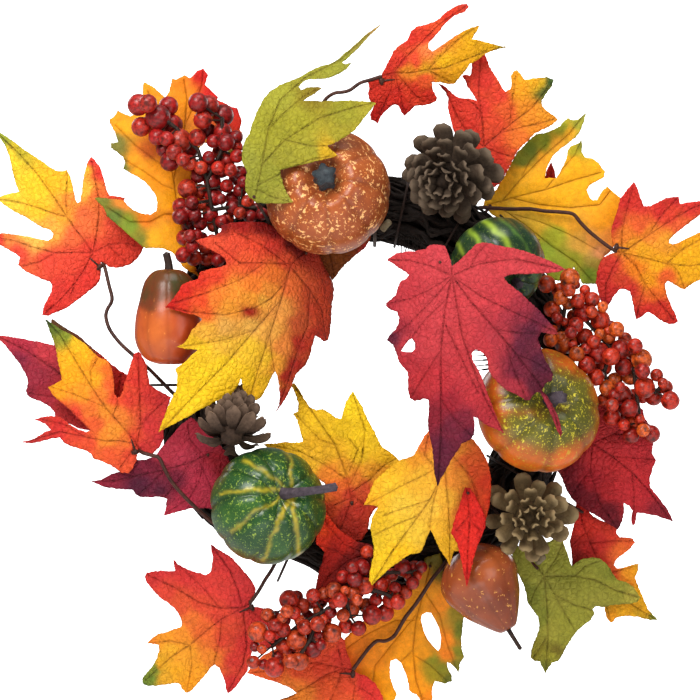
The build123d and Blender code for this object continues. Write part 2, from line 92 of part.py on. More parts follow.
        outline=[(23.9,-210.0),(29.6,-208.6),(34.5,-206.5),(37.4,-200.8),(40.9,-194.4),(44.4,-189.5),(56.5,-187.3),(68.5,-189.4),(77.0,-195.8),(82.7,-203.6),(86.9,-212.1),(89.1,-222.0),(89.1,-232.7),(87.7,-243.3),(85.5,-252.5),(81.3,-263.1),(77.0,-272.3),(71.3,-278.0),(65.7,-274.4),(62.8,-274.4),(60.0,-284.7),(57.2,-279.3),(52.9,-273.7),(49.4,-265.9),(46.2,-259.1),(43.7,-265.1),(40.9,-272.2),(38.7,-275.8),(31.7,-276.5),(24.6,-281.4),(17.5,-286.4),(10.4,-292.8),(4.8,-298.8),(2.7,-294.9),(3.4,-287.9),(5.5,-279.4),(6.2,-272.3),(4.8,-265.3),(3.4,-258.2),(4.8,-250.4),(9.0,-243.3),(3.4,-241.6),(-1.2,-242.3),(2.0,-235.6),(4.1,-229.9),(6.9,-224.2),(13.3,-218.6),(19.0,-214.3)],
        holes=[]),
    "leaf_24": dict(anchor=(74.0, -103.4, -259.2), slope=(0.0, 0.12), axis_deg=90, bend_r=60,
        outline=[(70.5,-229.0),(74.0,-229.7),(77.6,-234.6),(81.8,-243.1),(85.3,-250.8),(84.6,-257.9),(81.0,-266.3),(78.2,-273.3),(76.0,-281.7),(73.9,-290.9),(71.7,-299.3),(69.6,-290.9),(67.6,-280.3),(64.8,-268.4),(60.6,-261.4),(62.7,-252.2),(66.2,-243.8),(68.4,-234.6)],
        holes=[]),
    "leaf_20": dict(anchor=(177.0, -45.9, -214.5), slope=(0.04, 0.0), axis_deg=120, bend_r=220,
        outline=[(136.9,-217.4),(141.2,-223.9),(144.1,-231.8),(147.7,-238.2),(154.1,-244.0),(161.3,-248.2),(168.4,-252.5),(175.6,-257.6),(181.3,-260.8),(184.2,-255.4),(185.6,-248.2),(185.6,-241.8),(189.2,-243.9),(192.0,-247.5),(190.6,-253.2),(191.7,-258.6),(193.8,-256.8),(194.9,-248.9),(200.7,-249.3),(209.3,-251.1),(215.1,-253.3),(220.8,-255.1),(219.4,-250.4),(215.1,-244.0),(210.0,-237.5),(204.3,-230.0),(204.3,-223.2),(206.5,-216.7),(208.7,-211.0),(205.8,-206.0),(206.5,-201.0),(208.0,-193.8),(204.4,-185.9),(200.8,-180.9),(199.4,-175.1),(195.8,-170.8),(190.0,-170.1),(179.2,-167.2),(170.5,-166.5),(162.6,-175.1),(152.6,-190.9),(141.9,-205.2)],
        holes=[]),
    "leaf_21": dict(anchor=(172.4, -35.4, -283.0), slope=(0.02, 0.0), axis_deg=60, bend_r=240,
        outline=[(151.7,-241.4),(151.0,-247.9),(151.0,-254.3),(149.5,-260.1),(148.1,-265.1),(147.3,-270.1),(148.0,-275.8),(148.7,-283.0),(148.0,-291.6),(150.9,-301.0),(157.3,-308.9),(164.5,-313.2),(171.7,-316.1),(172.5,-320.4),(173.9,-324.7),(176.1,-328.0),(178.3,-327.6),(180.4,-324.8),(184.8,-323.6),(190.6,-323.4),(197.8,-324.5),(205.1,-326.4),(210.9,-326.5),(208.0,-323.5),(203.6,-318.4),(200.7,-311.9),(197.7,-304.7),(195.5,-299.6),(194.1,-296.0),(196.2,-290.3),(196.9,-285.9),(194.1,-285.9),(189.0,-287.3),(184.7,-288.8),(181.1,-288.8),(178.9,-286.6),(180.3,-283.0),(184.7,-279.4),(190.4,-275.1),(194.0,-270.8),(192.6,-267.9),(188.3,-266.8),(183.2,-266.5),(180.7,-264.3),(181.1,-260.0),(176.0,-256.4),(168.9,-254.3),(163.1,-250.7),(158.9,-245.7),(156.0,-242.1)],
        holes=[]),
    "leaf_22": dict(anchor=(139.7, -45.4, -311.3), slope=(0.03, 0.0), axis_deg=60, bend_r=220,
        outline=[(141.9,-269.0),(144.0,-274.8),(146.2,-281.2),(148.3,-287.6),(151.9,-284.1),(156.9,-281.6),(162.7,-280.9),(168.4,-281.9),(172.8,-284.8),(175.6,-288.4),(177.8,-292.8),(181.4,-297.1),(187.2,-298.6),(192.3,-301.8),(195.2,-305.8),(197.4,-309.5),(195.3,-313.1),(188.8,-314.4),(179.3,-314.7),(170.7,-316.4),(165.6,-316.0),(163.1,-317.8),(164.6,-321.4),(162.0,-325.4),(157.0,-329.3),(152.0,-333.6),(148.4,-338.6),(144.8,-344.3),(141.2,-350.8),(138.3,-355.1),(134.0,-356.5),(131.9,-359.3),(129.3,-364.0),(127.5,-360.8),(125.4,-355.4),(121.1,-355.0),(118.6,-352.8),(118.9,-347.8),(120.3,-342.8),(123.2,-336.4),(125.0,-329.9),(123.9,-323.5),(119.6,-317.7),(116.4,-312.7),(115.4,-307.0),(113.9,-301.3),(109.7,-292.7),(106.1,-282.7),(104.7,-274.2),(112.6,-272.0),(124.0,-271.2),(132.6,-269.1),(137.6,-266.2)],
        holes=[]),
}

WIRES = {
    "leaf_01": dict(route=[(-189.1,-24.1,-69.8),(-187.4,-23.6,-73.0),(-184.3,-28.4,-85.3),(-182.0,-31.4,-94.0),(-182.6,-33.4,-98.3),(-185.4,-35.4,-103.4),(-186.0,-37.4,-109.1),(-183.0,-40.4,-117.7),(-175.7,-44.4,-127.1),(-166.3,-45.9,-135.7),(-156.3,-45.4,-144.3),(-147.1,-41.4,-153.6),(-138.0,-36.4,-163.0),(-130.2,-32.4,-168.8)],
        pin_dir=(-0.6593, -0.0635, -0.7492), blade_dir=(-0.747, -0.0579, 0.6623), normal=(0.0854, -0.9963, 0.0093)),
    "leaf_05": dict(route=[(11.4,-48.2,63.8),(3.5,-48.4,61.3),(-3.6,-48.4,59.1),(-10.8,-48.4,54.1),(-15.8,-47.4,52.7),(-21.5,-47.4,52.0),(-26.6,-46.4,49.2),(-30.2,-45.4,44.2),(-30.9,-44.4,34.2),(-28.0,-43.4,18.5),(-24.4,-42.4,4.2),(-21.6,-39.4,-8.6),(-18.7,-35.4,-21.4)],
        pin_dir=(0.0995, 0.0277, -0.9947), blade_dir=(0.9947, 0.0219, 0.1001), normal=(0.0245, -0.9994, -0.0254)),
    "leaf_08": dict(route=[(180.7,-27.6,-61.2),(172.8,-26.4,-55.8),(162.1,-24.4,-47.1),(155.0,-23.4,-39.8),(149.9,-22.9,-34.1),(140.6,-22.4,-32.6),(129.8,-21.9,-31.9),(119.0,-21.4,-30.4),(104.6,-20.9,-30.4),(90.2,-21.4,-29.7),(81.5,-23.4,-29.8),(72.0,-28.4,-34.9),(62.6,-31.4,-41.5)],
        pin_dir=(0.1191, 0.0124, 0.9928), blade_dir=(0.9923, -0.0359, -0.1186), normal=(-0.0342, -0.9993, 0.0166)),
    "leaf_12": dict(route=[(-161.3,-55.1,-204.0),(-158.6,-60.4,-205.6),(-153.5,-62.4,-207.0),(-147.0,-64.9,-209.1),(-142.7,-66.9,-217.6),(-137.7,-67.9,-226.2),(-130.5,-68.4,-234.7),(-122.7,-68.4,-242.6),(-114.2,-65.4,-250.5),(-107.9,-59.4,-255.7),(-101.7,-52.4,-259.5),(-95.4,-44.4,-261.9),(-89.8,-38.4,-262.8)],
        pin_dir=(-0.9534, 0.0214, -0.3011), blade_dir=(-0.3018, -0.0811, 0.9499), normal=(0.004, -0.9965, -0.0838)),
    "leaf_14": dict(route=[(-82.7,-33.9,-314.0),(-76.9,-34.4,-306.0),(-71.9,-35.4,-297.4),(-67.6,-35.4,-290.9),(-63.3,-34.4,-283.0),(-59.0,-32.4,-275.2)],
        pin_dir=(0.39, 0.0354, -0.9201), blade_dir=(-0.9208, 0.0085, -0.39), normal=(0.0059, -0.9993, -0.0359)),
    "leaf_15": dict(route=[(-8.6,-39.1,-361.5),(-2.2,-41.4,-352.4),(3.5,-44.4,-345.0),(8.6,-45.9,-340.7),(14.3,-46.9,-340.6),(20.0,-48.4,-337.7),(23.6,-49.9,-332.6),(28.5,-53.4,-323.8),(35.7,-56.9,-314.3),(42.8,-60.4,-303.5),(48.4,-62.4,-294.8),(54.9,-62.4,-287.0),(60.0,-56.4,-280.8),(64.4,-47.4,-274.7),(67.4,-39.4,-269.2)],
        pin_dir=(-0.0499, -0.0121, -0.9987), blade_dir=(-0.9982, 0.033, 0.0495), normal=(-0.0324, -0.9994, 0.0137)),
}

LEAF_STEMS = [  # from the blade to the vine ring
    ((-120.0, -51.1, -75.3), (-112.3, -33.4, -80.6)),  # leaf_02
    ((-181.4, -31.9, -180.4), (-138.9, -35.4, -175.0)),  # leaf_03
    ((-78.3, -126.5, -24.4), (-66.0, -37.4, -45.3)),  # leaf_04
    ((80.2, -31.5, -1.1), (64.0, -33.4, -32.8)),  # leaf_06
    ((90.8, -13.5, -27.4), (78.5, -19.4, -45.0)),  # leaf_07
    ((135.3, -7.3, -25.1), (95.8, -13.4, -63.6)),  # leaf_23
    ((52.4, -123.4, -70.4), (59.6, -35.4, -59.5)),  # leaf_09
    ((-31.4, -48.3, -58.1), (-34.4, -33.4, -48.6)),  # leaf_11
    ((-42.0, -68.1, -63.2), (-46.5, -35.4, -53.2)),  # leaf_10
    ((-112.3, -59.0, -207.1), (-111.5, -35.4, -206.8)),  # leaf_13
    ((46.5, -55.7, -286.8), (44.6, -35.4, -281.5)),  # leaf_16
    ((-9.3, -67.7, -240.5), (-12.7, -39.4, -270.6)),  # leaf_17
    ((3.4, -73.0, -276.5), (3.6, -37.4, -281.2)),  # leaf_19
    ((63.1, -95.7, -199.1), (93.4, -37.4, -219.1)),  # leaf_18
    ((72.6, -101.2, -233.2), (72.6, -86.3, -233.2)),  # leaf_24
    ((159.9, -46.8, -196.1), (136.1, -39.4, -190.3)),  # leaf_20
    ((156.8, -33.6, -249.0), (120.8, -35.4, -228.0)),  # leaf_21
    ((123.9, -44.5, -289.0), (95.9, -37.4, -259.3)),  # leaf_22
]

BERRIES_UPPER_LEFT = [  # x, y, z, radius
    (-147.9,-59.9,34.3,7.86), (-132.2,-59.9,17.2,7.5), (-112.2,-58.4,42.2,6.79), (-101.7,-50.9,36.1,6.8), (-139.0,-47.9,28.4,7.16), (-162.2,-59.9,42.9,6.78), (-139.4,-59.1,2.2,6.07), (-127.2,-59.9,-17.1,6.07), (-115.6,-66.7,31.9,5.7), (-141.1,-49.4,42.6,6.09), (-102.2,-58.4,23.6,5.72), (-154.7,-70.4,43.8,5.7), (-160.2,-55.4,27.3,6.08), (-108.0,-56.9,-22.8,5.72), (-154.2,-44.9,29.9,5.73), (-148.6,-59.9,20.0,5.36), (-126.1,-47.9,11.2,5.73), (-131.5,-58.4,-29.2,5.36), (-94.4,-59.1,-30.0,5.0), (-112.4,-53.9,24.5,5.01), (-109.4,-59.1,-11.4,5.36), (-119.1,-70.4,43.8,6.05), (-143.8,-53.9,11.7,5.01), (-119.9,-64.4,19.8,5.35), (-132.0,-65.9,-37.3,4.99), (-110.8,-59.1,-35.0,5.0), (-141.9,-68.2,18.3,4.63), (-122.2,-61.4,-66.4,5.0), (-136.2,-69.7,9.0,4.99), (-98.7,-59.1,3.6,5.0), (-113.1,-54.6,-66.3,5.01), (-99.2,-67.4,16.2,5.35), (-129.8,-68.9,-64.4,4.99), (-118.1,-53.1,-18.4,4.65), (-127.5,-50.9,-34.8,4.29), (-112.2,-59.1,-0.7,5.0), (-115.3,-50.9,-28.3,4.29), (-103.9,-50.1,9.6,5.01), (-89.4,-58.4,-5.6,4.64), (-104.9,-67.4,-2.4,4.28), (-129.4,-57.6,-52.1,5.0), (-108.5,-63.6,17.0,4.28), (-102.3,-53.9,-4.1,4.29), (-125.8,-58.4,1.5,5.0), (-126.7,-53.1,-43.4,4.29), (-92.2,-60.6,20.0,4.28), (-98.6,-59.9,-15.0,4.28), (-106.1,-48.6,-16.1,3.94), (-111.3,-67.4,5.5,3.92), (-93.1,-50.1,-9.7,3.94), (-117.0,-67.4,-2.4,4.28), (-84.4,-59.1,-26.4,4.64), (-120.7,-62.1,-50.7,4.28), (-123.3,-47.9,0.4,4.3), (-91.4,-65.2,6.3,4.28), (-114.3,-60.6,-58.6,4.28), (-89.4,-57.6,-17.8,4.29), (-119.4,-58.4,-7.8,4.64), (-98.0,-54.6,-37.7,3.93), (-123.3,-73.4,-58.1,4.27), (-89.2,-65.9,-34.4,3.92), (-117.9,-59.1,-42.1,4.29), (-105.1,-59.9,-67.8,4.28), (-121.3,-65.2,-35.8,4.28), (-78.0,-53.9,-32.0,4.29), (-102.1,-62.9,-40.8,4.28), (-95.2,-51.6,-23.3,4.29), (-82.2,-61.4,-37.2,4.28), (-95.6,-66.7,-3.8,4.28), (-129.6,-75.7,3.0,4.27), (-123.4,-68.2,-27.3,4.28), (-124.5,-78.7,-51.1,3.91), (-108.8,-54.6,-43.4,3.93), (-87.1,-63.6,-12.2,3.57), (-73.6,-60.6,-35.0,3.93), (-116.7,-53.9,-52.0,3.93), (-109.2,-65.2,-53.6,3.57), (-102.8,-65.2,-24.4,3.57),
]
BRANCH_UPPER_LEFT = [((-99.8,-41.4,-69.0),(-105.1,-58.4,-53.5)),((-105.1,-58.4,-53.5),(-109.3,-63.4,-32.2)),((-109.3,-63.4,-32.2),(-112.8,-64.4,-10.8)),((-112.8,-64.4,-10.8),(-119.2,-64.4,10.6)),((-119.2,-64.4,10.6),(-135.0,-63.4,26.3)),((-135.0,-63.4,26.3),(-153.5,-63.4,40.6)),((-112.8,-64.4,-10.8),(-102.1,-64.4,10.6)),((-102.1,-64.4,10.6),(-102.1,-63.4,33.4)),((-109.3,-63.4,-32.2),(-90.7,-62.4,-29.3)),((-90.7,-62.4,-29.3),(-77.9,-61.4,-30.7)),((-105.1,-58.4,-53.5),(-120.8,-60.4,-53.6)),((-120.8,-60.4,-53.6),(-126.5,-60.4,-63.6))]
TWIGS_UPPER_LEFT = [((-147.0,-63.4,35.5),(-147.9,-59.9,34.3)),((-129.1,-63.8,20.5),(-132.2,-59.9,17.2)),((-102.1,-63.4,33.0),(-112.2,-58.4,42.2)),((-102.1,-63.4,33.0),(-101.7,-50.9,36.1)),((-138.5,-63.4,29.0),(-139.0,-47.9,28.4)),((-153.1,-63.4,40.3),(-162.2,-59.9,42.9)),((-125.3,-64.0,16.6),(-139.4,-59.1,2.2)),((-112.1,-64.2,-14.8),(-127.2,-59.9,-17.1)),((-102.1,-63.5,31.7),(-115.6,-66.7,31.9)),((-146.7,-63.4,35.3),(-141.1,-49.4,42.6)),((-102.1,-63.8,23.9),(-102.2,-58.4,23.6)),((-153.1,-63.4,40.3),(-154.7,-70.4,43.8)),((-151.3,-63.4,38.9),(-160.2,-55.4,27.3)),((-110.7,-63.8,-23.5),(-108.0,-56.9,-22.8)),((-148.8,-63.4,36.9),(-154.2,-44.9,29.9)),((-140.5,-63.4,30.6),(-148.6,-59.9,20.0)),((-123.5,-64.1,14.8),(-126.1,-47.9,11.2)),((-110.3,-63.7,-26.0),(-131.5,-58.4,-29.2)),((-94.2,-62.6,-29.9),(-94.4,-59.1,-30.0)),((-102.1,-63.8,25.0),(-112.4,-53.9,24.5)),((-112.6,-64.3,-12.2),(-109.4,-59.1,-11.4)),((-102.1,-63.4,33.0),(-119.1,-70.4,43.8)),((-132.4,-63.6,23.7),(-143.8,-53.9,11.7)),((-124.2,-64.1,15.6),(-119.9,-64.4,19.8)),((-120.9,-60.4,-53.8),(-132.0,-65.9,-37.3)),((-108.6,-62.7,-35.4),(-110.8,-59.1,-35.0)),((-134.3,-63.4,25.6),(-141.9,-68.2,18.3)),((-126.4,-60.4,-63.4),(-122.2,-61.4,-66.4)),((-126.7,-63.9,18.1),(-136.2,-69.7,9.0)),((-104.2,-64.4,6.4),(-98.7,-59.1,3.6)),((-103.0,-51.7,-59.6),(-113.1,-54.6,-66.3)),((-102.1,-64.2,16.0),(-99.2,-67.4,16.2)),((-126.4,-60.4,-63.4),(-129.8,-68.9,-64.4)),((-111.7,-64.1,-17.8),(-118.1,-53.1,-18.4)),((-108.9,-63.0,-34.0),(-127.5,-50.9,-34.8)),((-115.6,-64.4,-1.7),(-112.2,-59.1,-0.7)),((-110.0,-63.6,-28.0),(-115.3,-50.9,-28.3)),((-102.8,-64.4,9.1),(-103.9,-50.1,9.6)),((-106.0,-64.4,2.7),(-89.4,-58.4,-5.6)),((-107.8,-64.4,-0.9),(-104.9,-67.4,-2.4)),((-122.3,-60.4,-56.2),(-129.4,-57.6,-52.1)),((-102.1,-64.1,17.0),(-108.5,-63.6,17.0)),((-108.0,-64.4,-1.2),(-102.3,-53.9,-4.1)),((-117.3,-64.4,4.1),(-125.8,-58.4,1.5)),((-120.9,-60.4,-53.8),(-126.7,-53.1,-43.4)),((-102.1,-64.0,20.1),(-92.2,-60.6,20.0)),((-111.7,-64.1,-17.3),(-98.6,-59.9,-15.0)),((-111.7,-64.1,-17.7),(-106.1,-48.6,-16.1)),((-106.0,-64.4,2.8),(-111.3,-67.4,5.5)),((-108.4,-64.4,-2.0),(-93.1,-50.1,-9.7)),((-115.5,-64.4,-1.9),(-117.0,-67.4,-2.4)),((-84.6,-61.9,-30.0),(-84.4,-59.1,-26.4)),((-120.5,-60.4,-53.6),(-120.7,-62.1,-50.7)),((-116.8,-64.4,2.4),(-123.3,-47.9,0.4)),((-102.3,-64.4,10.1),(-91.4,-65.2,6.3)),((-114.5,-59.6,-53.5),(-114.3,-60.6,-58.6)),((-90.3,-62.4,-29.4),(-89.4,-57.6,-17.8)),((-114.2,-64.4,-6.2),(-119.4,-58.4,-7.8)),((-98.7,-62.8,-30.6),(-98.0,-54.6,-37.7)),((-123.3,-60.4,-58.0),(-123.3,-73.4,-58.1)),((-89.0,-62.3,-29.5),(-89.2,-65.9,-34.4)),((-107.6,-61.4,-40.6),(-117.9,-59.1,-42.1)),((-103.2,-52.4,-59.0),(-105.1,-59.9,-67.8)),((-109.1,-63.2,-33.0),(-121.3,-65.2,-35.8)),((-78.2,-61.4,-30.7),(-78.0,-53.9,-32.0)),((-107.5,-61.2,-41.4),(-102.1,-62.9,-40.8)),((-93.7,-62.6,-29.8),(-95.2,-51.6,-23.3)),((-81.4,-61.7,-30.3),(-82.2,-61.4,-37.2)),((-106.5,-64.4,1.7),(-95.6,-66.7,-3.8)),((-118.0,-64.4,6.5),(-129.6,-75.7,3.0)),((-110.5,-63.7,-25.0),(-123.4,-68.2,-27.3)),((-120.9,-60.4,-53.8),(-124.5,-78.7,-51.1)),((-106.9,-60.5,-44.4),(-108.8,-54.6,-43.4)),((-89.1,-62.3,-29.5),(-87.1,-63.6,-12.2)),((-78.2,-61.4,-30.7),(-73.6,-60.6,-35.0)),((-115.9,-59.8,-53.5),(-116.7,-53.9,-52.0)),((-110.0,-59.0,-53.5),(-109.2,-65.2,-53.6)),((-101.9,-63.0,-31.1),(-102.8,-65.2,-24.4))]
BERRIES_RIGHT = [  # x, y, z, radius
    (142.6,-63.6,-126.4,7.49), (166.1,-64.4,-134.2,7.13), (182.6,-62.1,-131.4,6.42), (167.6,-62.9,-110.7,6.42), (158.1,-52.4,-134.2,6.44), (155.5,-62.1,-105.7,6.07), (146.2,-63.6,-80.7,6.42), (197.6,-62.9,-138.5,6.78), (170.1,-54.6,-144.3,6.08), (199.7,-62.9,-159.2,6.78), (189.7,-62.9,-193.5,5.35), (206.7,-52.4,-165.7,5.72), (184.0,-62.9,-144.2,5.71), (189.4,-54.6,-150.7,5.72), (176.2,-61.4,-179.9,5.71), (129.8,-63.6,-85.0,5.71), (158.0,-71.2,-142.8,5.7), (184.1,-61.4,-163.5,5.71), (139.2,-59.1,-90.0,5.36), (172.6,-62.9,-159.2,5.35), (217.5,-64.4,-167.8,6.06), (188.1,-67.4,-173.4,5.7), (197.8,-71.9,-147.1,4.98), (161.8,-64.4,-96.4,4.99), (204.0,-62.9,-192.0,5.71), (133.3,-62.9,-102.8,5.35), (174.9,-74.2,-137.1,5.69), (178.7,-53.9,-153.6,5.01), (164.6,-65.9,-151.4,5.7), (150.2,-69.7,-114.3,4.99), (142.2,-56.1,-115.7,5.0), (131.7,-69.7,-125.0,4.63), (191.4,-58.4,-183.5,5.0), (174.1,-60.6,-122.8,4.64), (192.2,-70.4,-129.3,4.99), (191.6,-53.1,-165.0,4.65), (156.9,-62.9,-122.1,5.35), (139.5,-68.9,-95.0,4.63), (185.9,-53.1,-124.2,4.65), (151.7,-68.9,-97.2,4.63), (150.7,-74.2,-134.9,4.98), (150.8,-54.6,-124.9,4.29), (190.2,-53.9,-133.5,4.29), (179.4,-68.9,-117.1,4.99), (208.4,-60.6,-150.0,4.28), (170.7,-56.9,-167.8,4.29), (215.0,-56.9,-158.5,4.65), (162.9,-72.7,-126.4,4.27), (148.8,-52.4,-107.8,4.29), (177.9,-70.4,-164.2,4.27), (146.4,-76.4,-120.0,3.91), (144.8,-62.1,-99.3,3.93), (145.0,-74.2,-89.4,4.27), (175.5,-76.4,-171.2,4.27), (197.8,-71.9,-189.1,4.27), (161.5,-71.2,-105.0,3.92), (175.2,-53.9,-115.6,4.29), (181.6,-54.6,-175.0,3.58), (167.4,-67.4,-120.7,3.56), (181.2,-76.4,-158.4,3.56), (192.6,-47.9,-143.6,3.94), (136.7,-69.7,-109.3,3.56), (184.5,-68.2,-185.5,3.92), (176.6,-53.1,-128.5,3.93), (212.4,-65.2,-155.6,3.57), (157.0,-61.4,-89.3,3.57), (162.6,-45.6,-143.6,3.58), (169.5,-67.4,-101.4,3.56), (196.0,-65.9,-181.3,3.21),
]
BRANCH_RIGHT = [((119.8,-41.4,-69.0),(130.8,-55.4,-82.1)),((130.8,-55.4,-82.1),(143.4,-61.4,-96.4)),((143.4,-61.4,-96.4),(160.5,-61.4,-114.3)),((160.5,-61.4,-114.3),(176.2,-61.4,-132.1)),((176.2,-61.4,-132.1),(191.9,-61.4,-147.8)),((191.9,-61.4,-147.8),(207.6,-61.4,-162.1)),((176.2,-61.4,-132.1),(170.5,-61.4,-147.8)),((170.5,-61.4,-147.8),(176.2,-61.4,-166.4)),((191.9,-61.4,-147.8),(194.8,-61.4,-171.4)),((194.8,-61.4,-171.4),(196.3,-60.4,-189.2)),((143.4,-61.4,-96.4),(140.5,-62.4,-116.4))]
TWIGS_RIGHT = [((140.6,-62.4,-116.0),(142.6,-63.6,-126.4)),((174.4,-61.4,-137.2),(166.1,-64.4,-134.2)),((179.1,-61.4,-134.9),(182.6,-62.1,-131.4)),((161.9,-61.4,-115.8),(167.6,-62.9,-110.7)),((169.4,-61.4,-124.3),(158.1,-52.4,-134.2)),((153.8,-61.4,-107.3),(155.5,-62.1,-105.7)),((137.8,-58.8,-90.1),(146.2,-63.6,-80.7)),((190.1,-61.4,-146.0),(197.6,-62.9,-138.5)),((171.6,-61.4,-144.8),(170.1,-54.6,-144.3)),((201.9,-61.4,-156.8),(199.7,-62.9,-159.2)),((196.2,-60.4,-188.9),(189.7,-62.9,-193.5)),((207.3,-61.4,-161.8),(206.7,-52.4,-165.7)),((186.2,-61.4,-142.1),(184.0,-62.9,-144.2)),((192.3,-61.4,-150.4),(189.4,-54.6,-150.7)),((176.1,-61.4,-166.0),(176.2,-61.4,-179.9)),((133.3,-56.6,-84.9),(129.8,-63.6,-85.0)),((170.7,-61.4,-147.4),(158.0,-71.2,-142.8)),((176.1,-61.4,-166.0),(184.1,-61.4,-163.5)),((138.4,-59.0,-90.7),(139.2,-59.1,-90.0)),((173.9,-61.4,-158.8),(172.6,-62.9,-159.2)),((207.3,-61.4,-161.8),(217.5,-64.4,-167.8)),((194.9,-61.3,-172.5),(188.1,-67.4,-173.4)),((194.8,-61.4,-150.4),(197.8,-71.9,-147.1)),((152.3,-61.4,-105.6),(161.8,-64.4,-96.4)),((196.2,-60.4,-188.9),(204.0,-62.9,-192.0)),((142.3,-61.8,-104.2),(133.3,-62.9,-102.8)),((174.5,-61.4,-136.9),(174.9,-74.2,-137.1)),((172.9,-61.4,-155.4),(178.7,-53.9,-153.6)),((171.0,-61.4,-149.4),(164.6,-65.9,-151.4)),((155.6,-61.4,-109.1),(150.2,-69.7,-114.3)),((140.7,-62.3,-115.1),(142.2,-56.1,-115.7)),((140.6,-62.4,-116.0),(131.7,-69.7,-125.0)),((195.8,-60.7,-183.3),(191.4,-58.4,-183.5)),((170.7,-61.4,-125.8),(174.1,-60.6,-122.8)),((182.8,-61.4,-138.7),(192.2,-70.4,-129.3)),((194.0,-61.4,-164.7),(191.6,-53.1,-165.0)),((162.8,-61.4,-116.9),(156.9,-62.9,-122.1)),((142.7,-61.1,-95.6),(139.5,-68.9,-95.0)),((177.1,-61.4,-133.0),(185.9,-53.1,-124.2)),((147.7,-61.4,-100.9),(151.7,-68.9,-97.2)),((140.6,-62.4,-116.0),(150.7,-74.2,-134.9)),((140.6,-62.4,-116.0),(150.8,-54.6,-124.9)),((183.9,-61.4,-139.8),(190.2,-53.9,-133.5)),((170.2,-61.4,-125.3),(179.4,-68.9,-117.1)),((202.0,-61.4,-157.0),(208.4,-60.6,-150.0)),((176.1,-61.4,-166.0),(170.7,-56.9,-167.8)),((207.3,-61.4,-161.8),(215.0,-56.9,-158.5)),((167.6,-61.4,-122.3),(162.9,-72.7,-126.4)),((151.6,-61.4,-105.0),(148.8,-52.4,-107.8)),((175.8,-61.4,-164.8),(177.9,-70.4,-164.2)),((140.6,-62.4,-116.0),(146.4,-76.4,-120.0)),((145.5,-61.4,-98.6),(144.8,-62.1,-99.3)),((143.1,-61.3,-96.1),(145.0,-74.2,-89.4)),((176.1,-61.4,-166.0),(175.5,-76.4,-171.2)),((196.2,-60.4,-188.5),(197.8,-71.9,-189.1)),((156.4,-61.4,-110.0),(161.5,-71.2,-105.0)),((167.6,-61.4,-122.3),(175.2,-53.9,-115.6)),((176.1,-61.4,-166.0),(181.6,-54.6,-175.0)),((166.7,-61.4,-121.3),(167.4,-67.4,-120.7)),((174.4,-61.4,-160.5),(181.2,-76.4,-158.4)),((190.2,-61.4,-146.0),(192.6,-47.9,-143.6)),((141.4,-62.1,-110.4),(136.7,-69.7,-109.3)),((195.9,-60.7,-184.2),(184.5,-68.2,-185.5)),((174.6,-61.4,-130.3),(176.6,-53.1,-128.5)),((207.1,-61.4,-161.5),(212.4,-65.2,-155.6)),((146.3,-61.4,-99.5),(157.0,-61.4,-89.3)),((171.0,-61.4,-146.6),(162.6,-45.6,-143.6)),((158.5,-61.4,-112.1),(169.5,-67.4,-101.4)),((195.6,-60.9,-181.1),(196.0,-65.9,-181.3))]
BERRIES_LOWER = [  # x, y, z, radius
    (-64.9,-71.2,-357.8,6.41), (-48.6,-69.7,-338.0,6.77), (-76.4,-68.2,-333.1,6.77), (4.9,-71.9,-320.8,6.41), (-46.4,-68.9,-353.7,6.06), (-54.3,-69.7,-310.2,6.41), (-0.1,-80.9,-299.7,5.68), (27.0,-69.7,-287.4,5.7), (10.6,-68.2,-300.3,5.7), (-23.6,-70.4,-333.7,6.41), (-10.1,-69.7,-317.3,5.7), (35.6,-59.9,-289.2,5.71), (-2.3,-80.2,-287.0,5.33), (-42.8,-75.7,-329.1,4.98), (-58.6,-65.2,-343.2,4.99), (-4.4,-70.4,-330.1,4.99), (17.7,-68.9,-310.2,4.99), (-37.2,-68.2,-345.2,5.7), (14.2,-62.9,-319.8,5.71), (-58.5,-72.7,-331.4,4.98), (-52.7,-79.4,-353.1,4.62), (-44.3,-65.2,-314.7,4.99), (0.6,-62.1,-314.8,5.0), (-22.2,-80.9,-302.6,5.33), (-69.2,-71.9,-320.8,4.63), (28.4,-68.9,-304.5,4.63), (-28.6,-65.2,-324.7,4.28), (-13.7,-65.9,-328.9,4.99), (-57.9,-64.4,-324.7,4.28), (19.2,-64.4,-292.6,4.28), (-50.6,-75.7,-319.2,4.27), (-7.3,-89.2,-295.1,4.96), (-17.9,-89.9,-309.3,4.96), (-79.9,-69.7,-354.4,4.27), (-31.5,-63.6,-311.9,4.28), (-33.5,-80.2,-326.8,4.97), (-37.1,-79.4,-306.2,4.62), (23.3,-77.9,-311.2,4.98), (7.7,-68.9,-310.2,4.28), (-48.7,-58.4,-308.6,4.29), (-15.8,-81.7,-293.3,4.26), (1.3,-78.7,-275.7,4.26), (-64.1,-79.4,-327.5,4.26), (-55.5,-83.9,-317.4,4.26), (-15.8,-79.4,-320.4,4.26), (34.0,-73.4,-297.9,4.27), (-8.7,-84.7,-304.6,4.26), (-25.0,-72.7,-318.6,4.27), (-9.4,-91.4,-286.5,3.82), (-39.4,-61.4,-336.3,4.28), (21.2,-74.2,-301.5,3.91), (-14.3,-91.4,-302.1,2.81), (-31.4,-75.7,-341.9,3.56), (-53.7,-58.4,-347.1,3.57), (39.8,-71.2,-286.6,3.92), (-67.7,-75.7,-335.5,3.91), (-41.5,-58.4,-322.1,3.93), (-33.6,-70.4,-317.3,3.56), (-22.2,-80.2,-311.9,3.55), (-5.8,-91.4,-309.2,3.54),
]
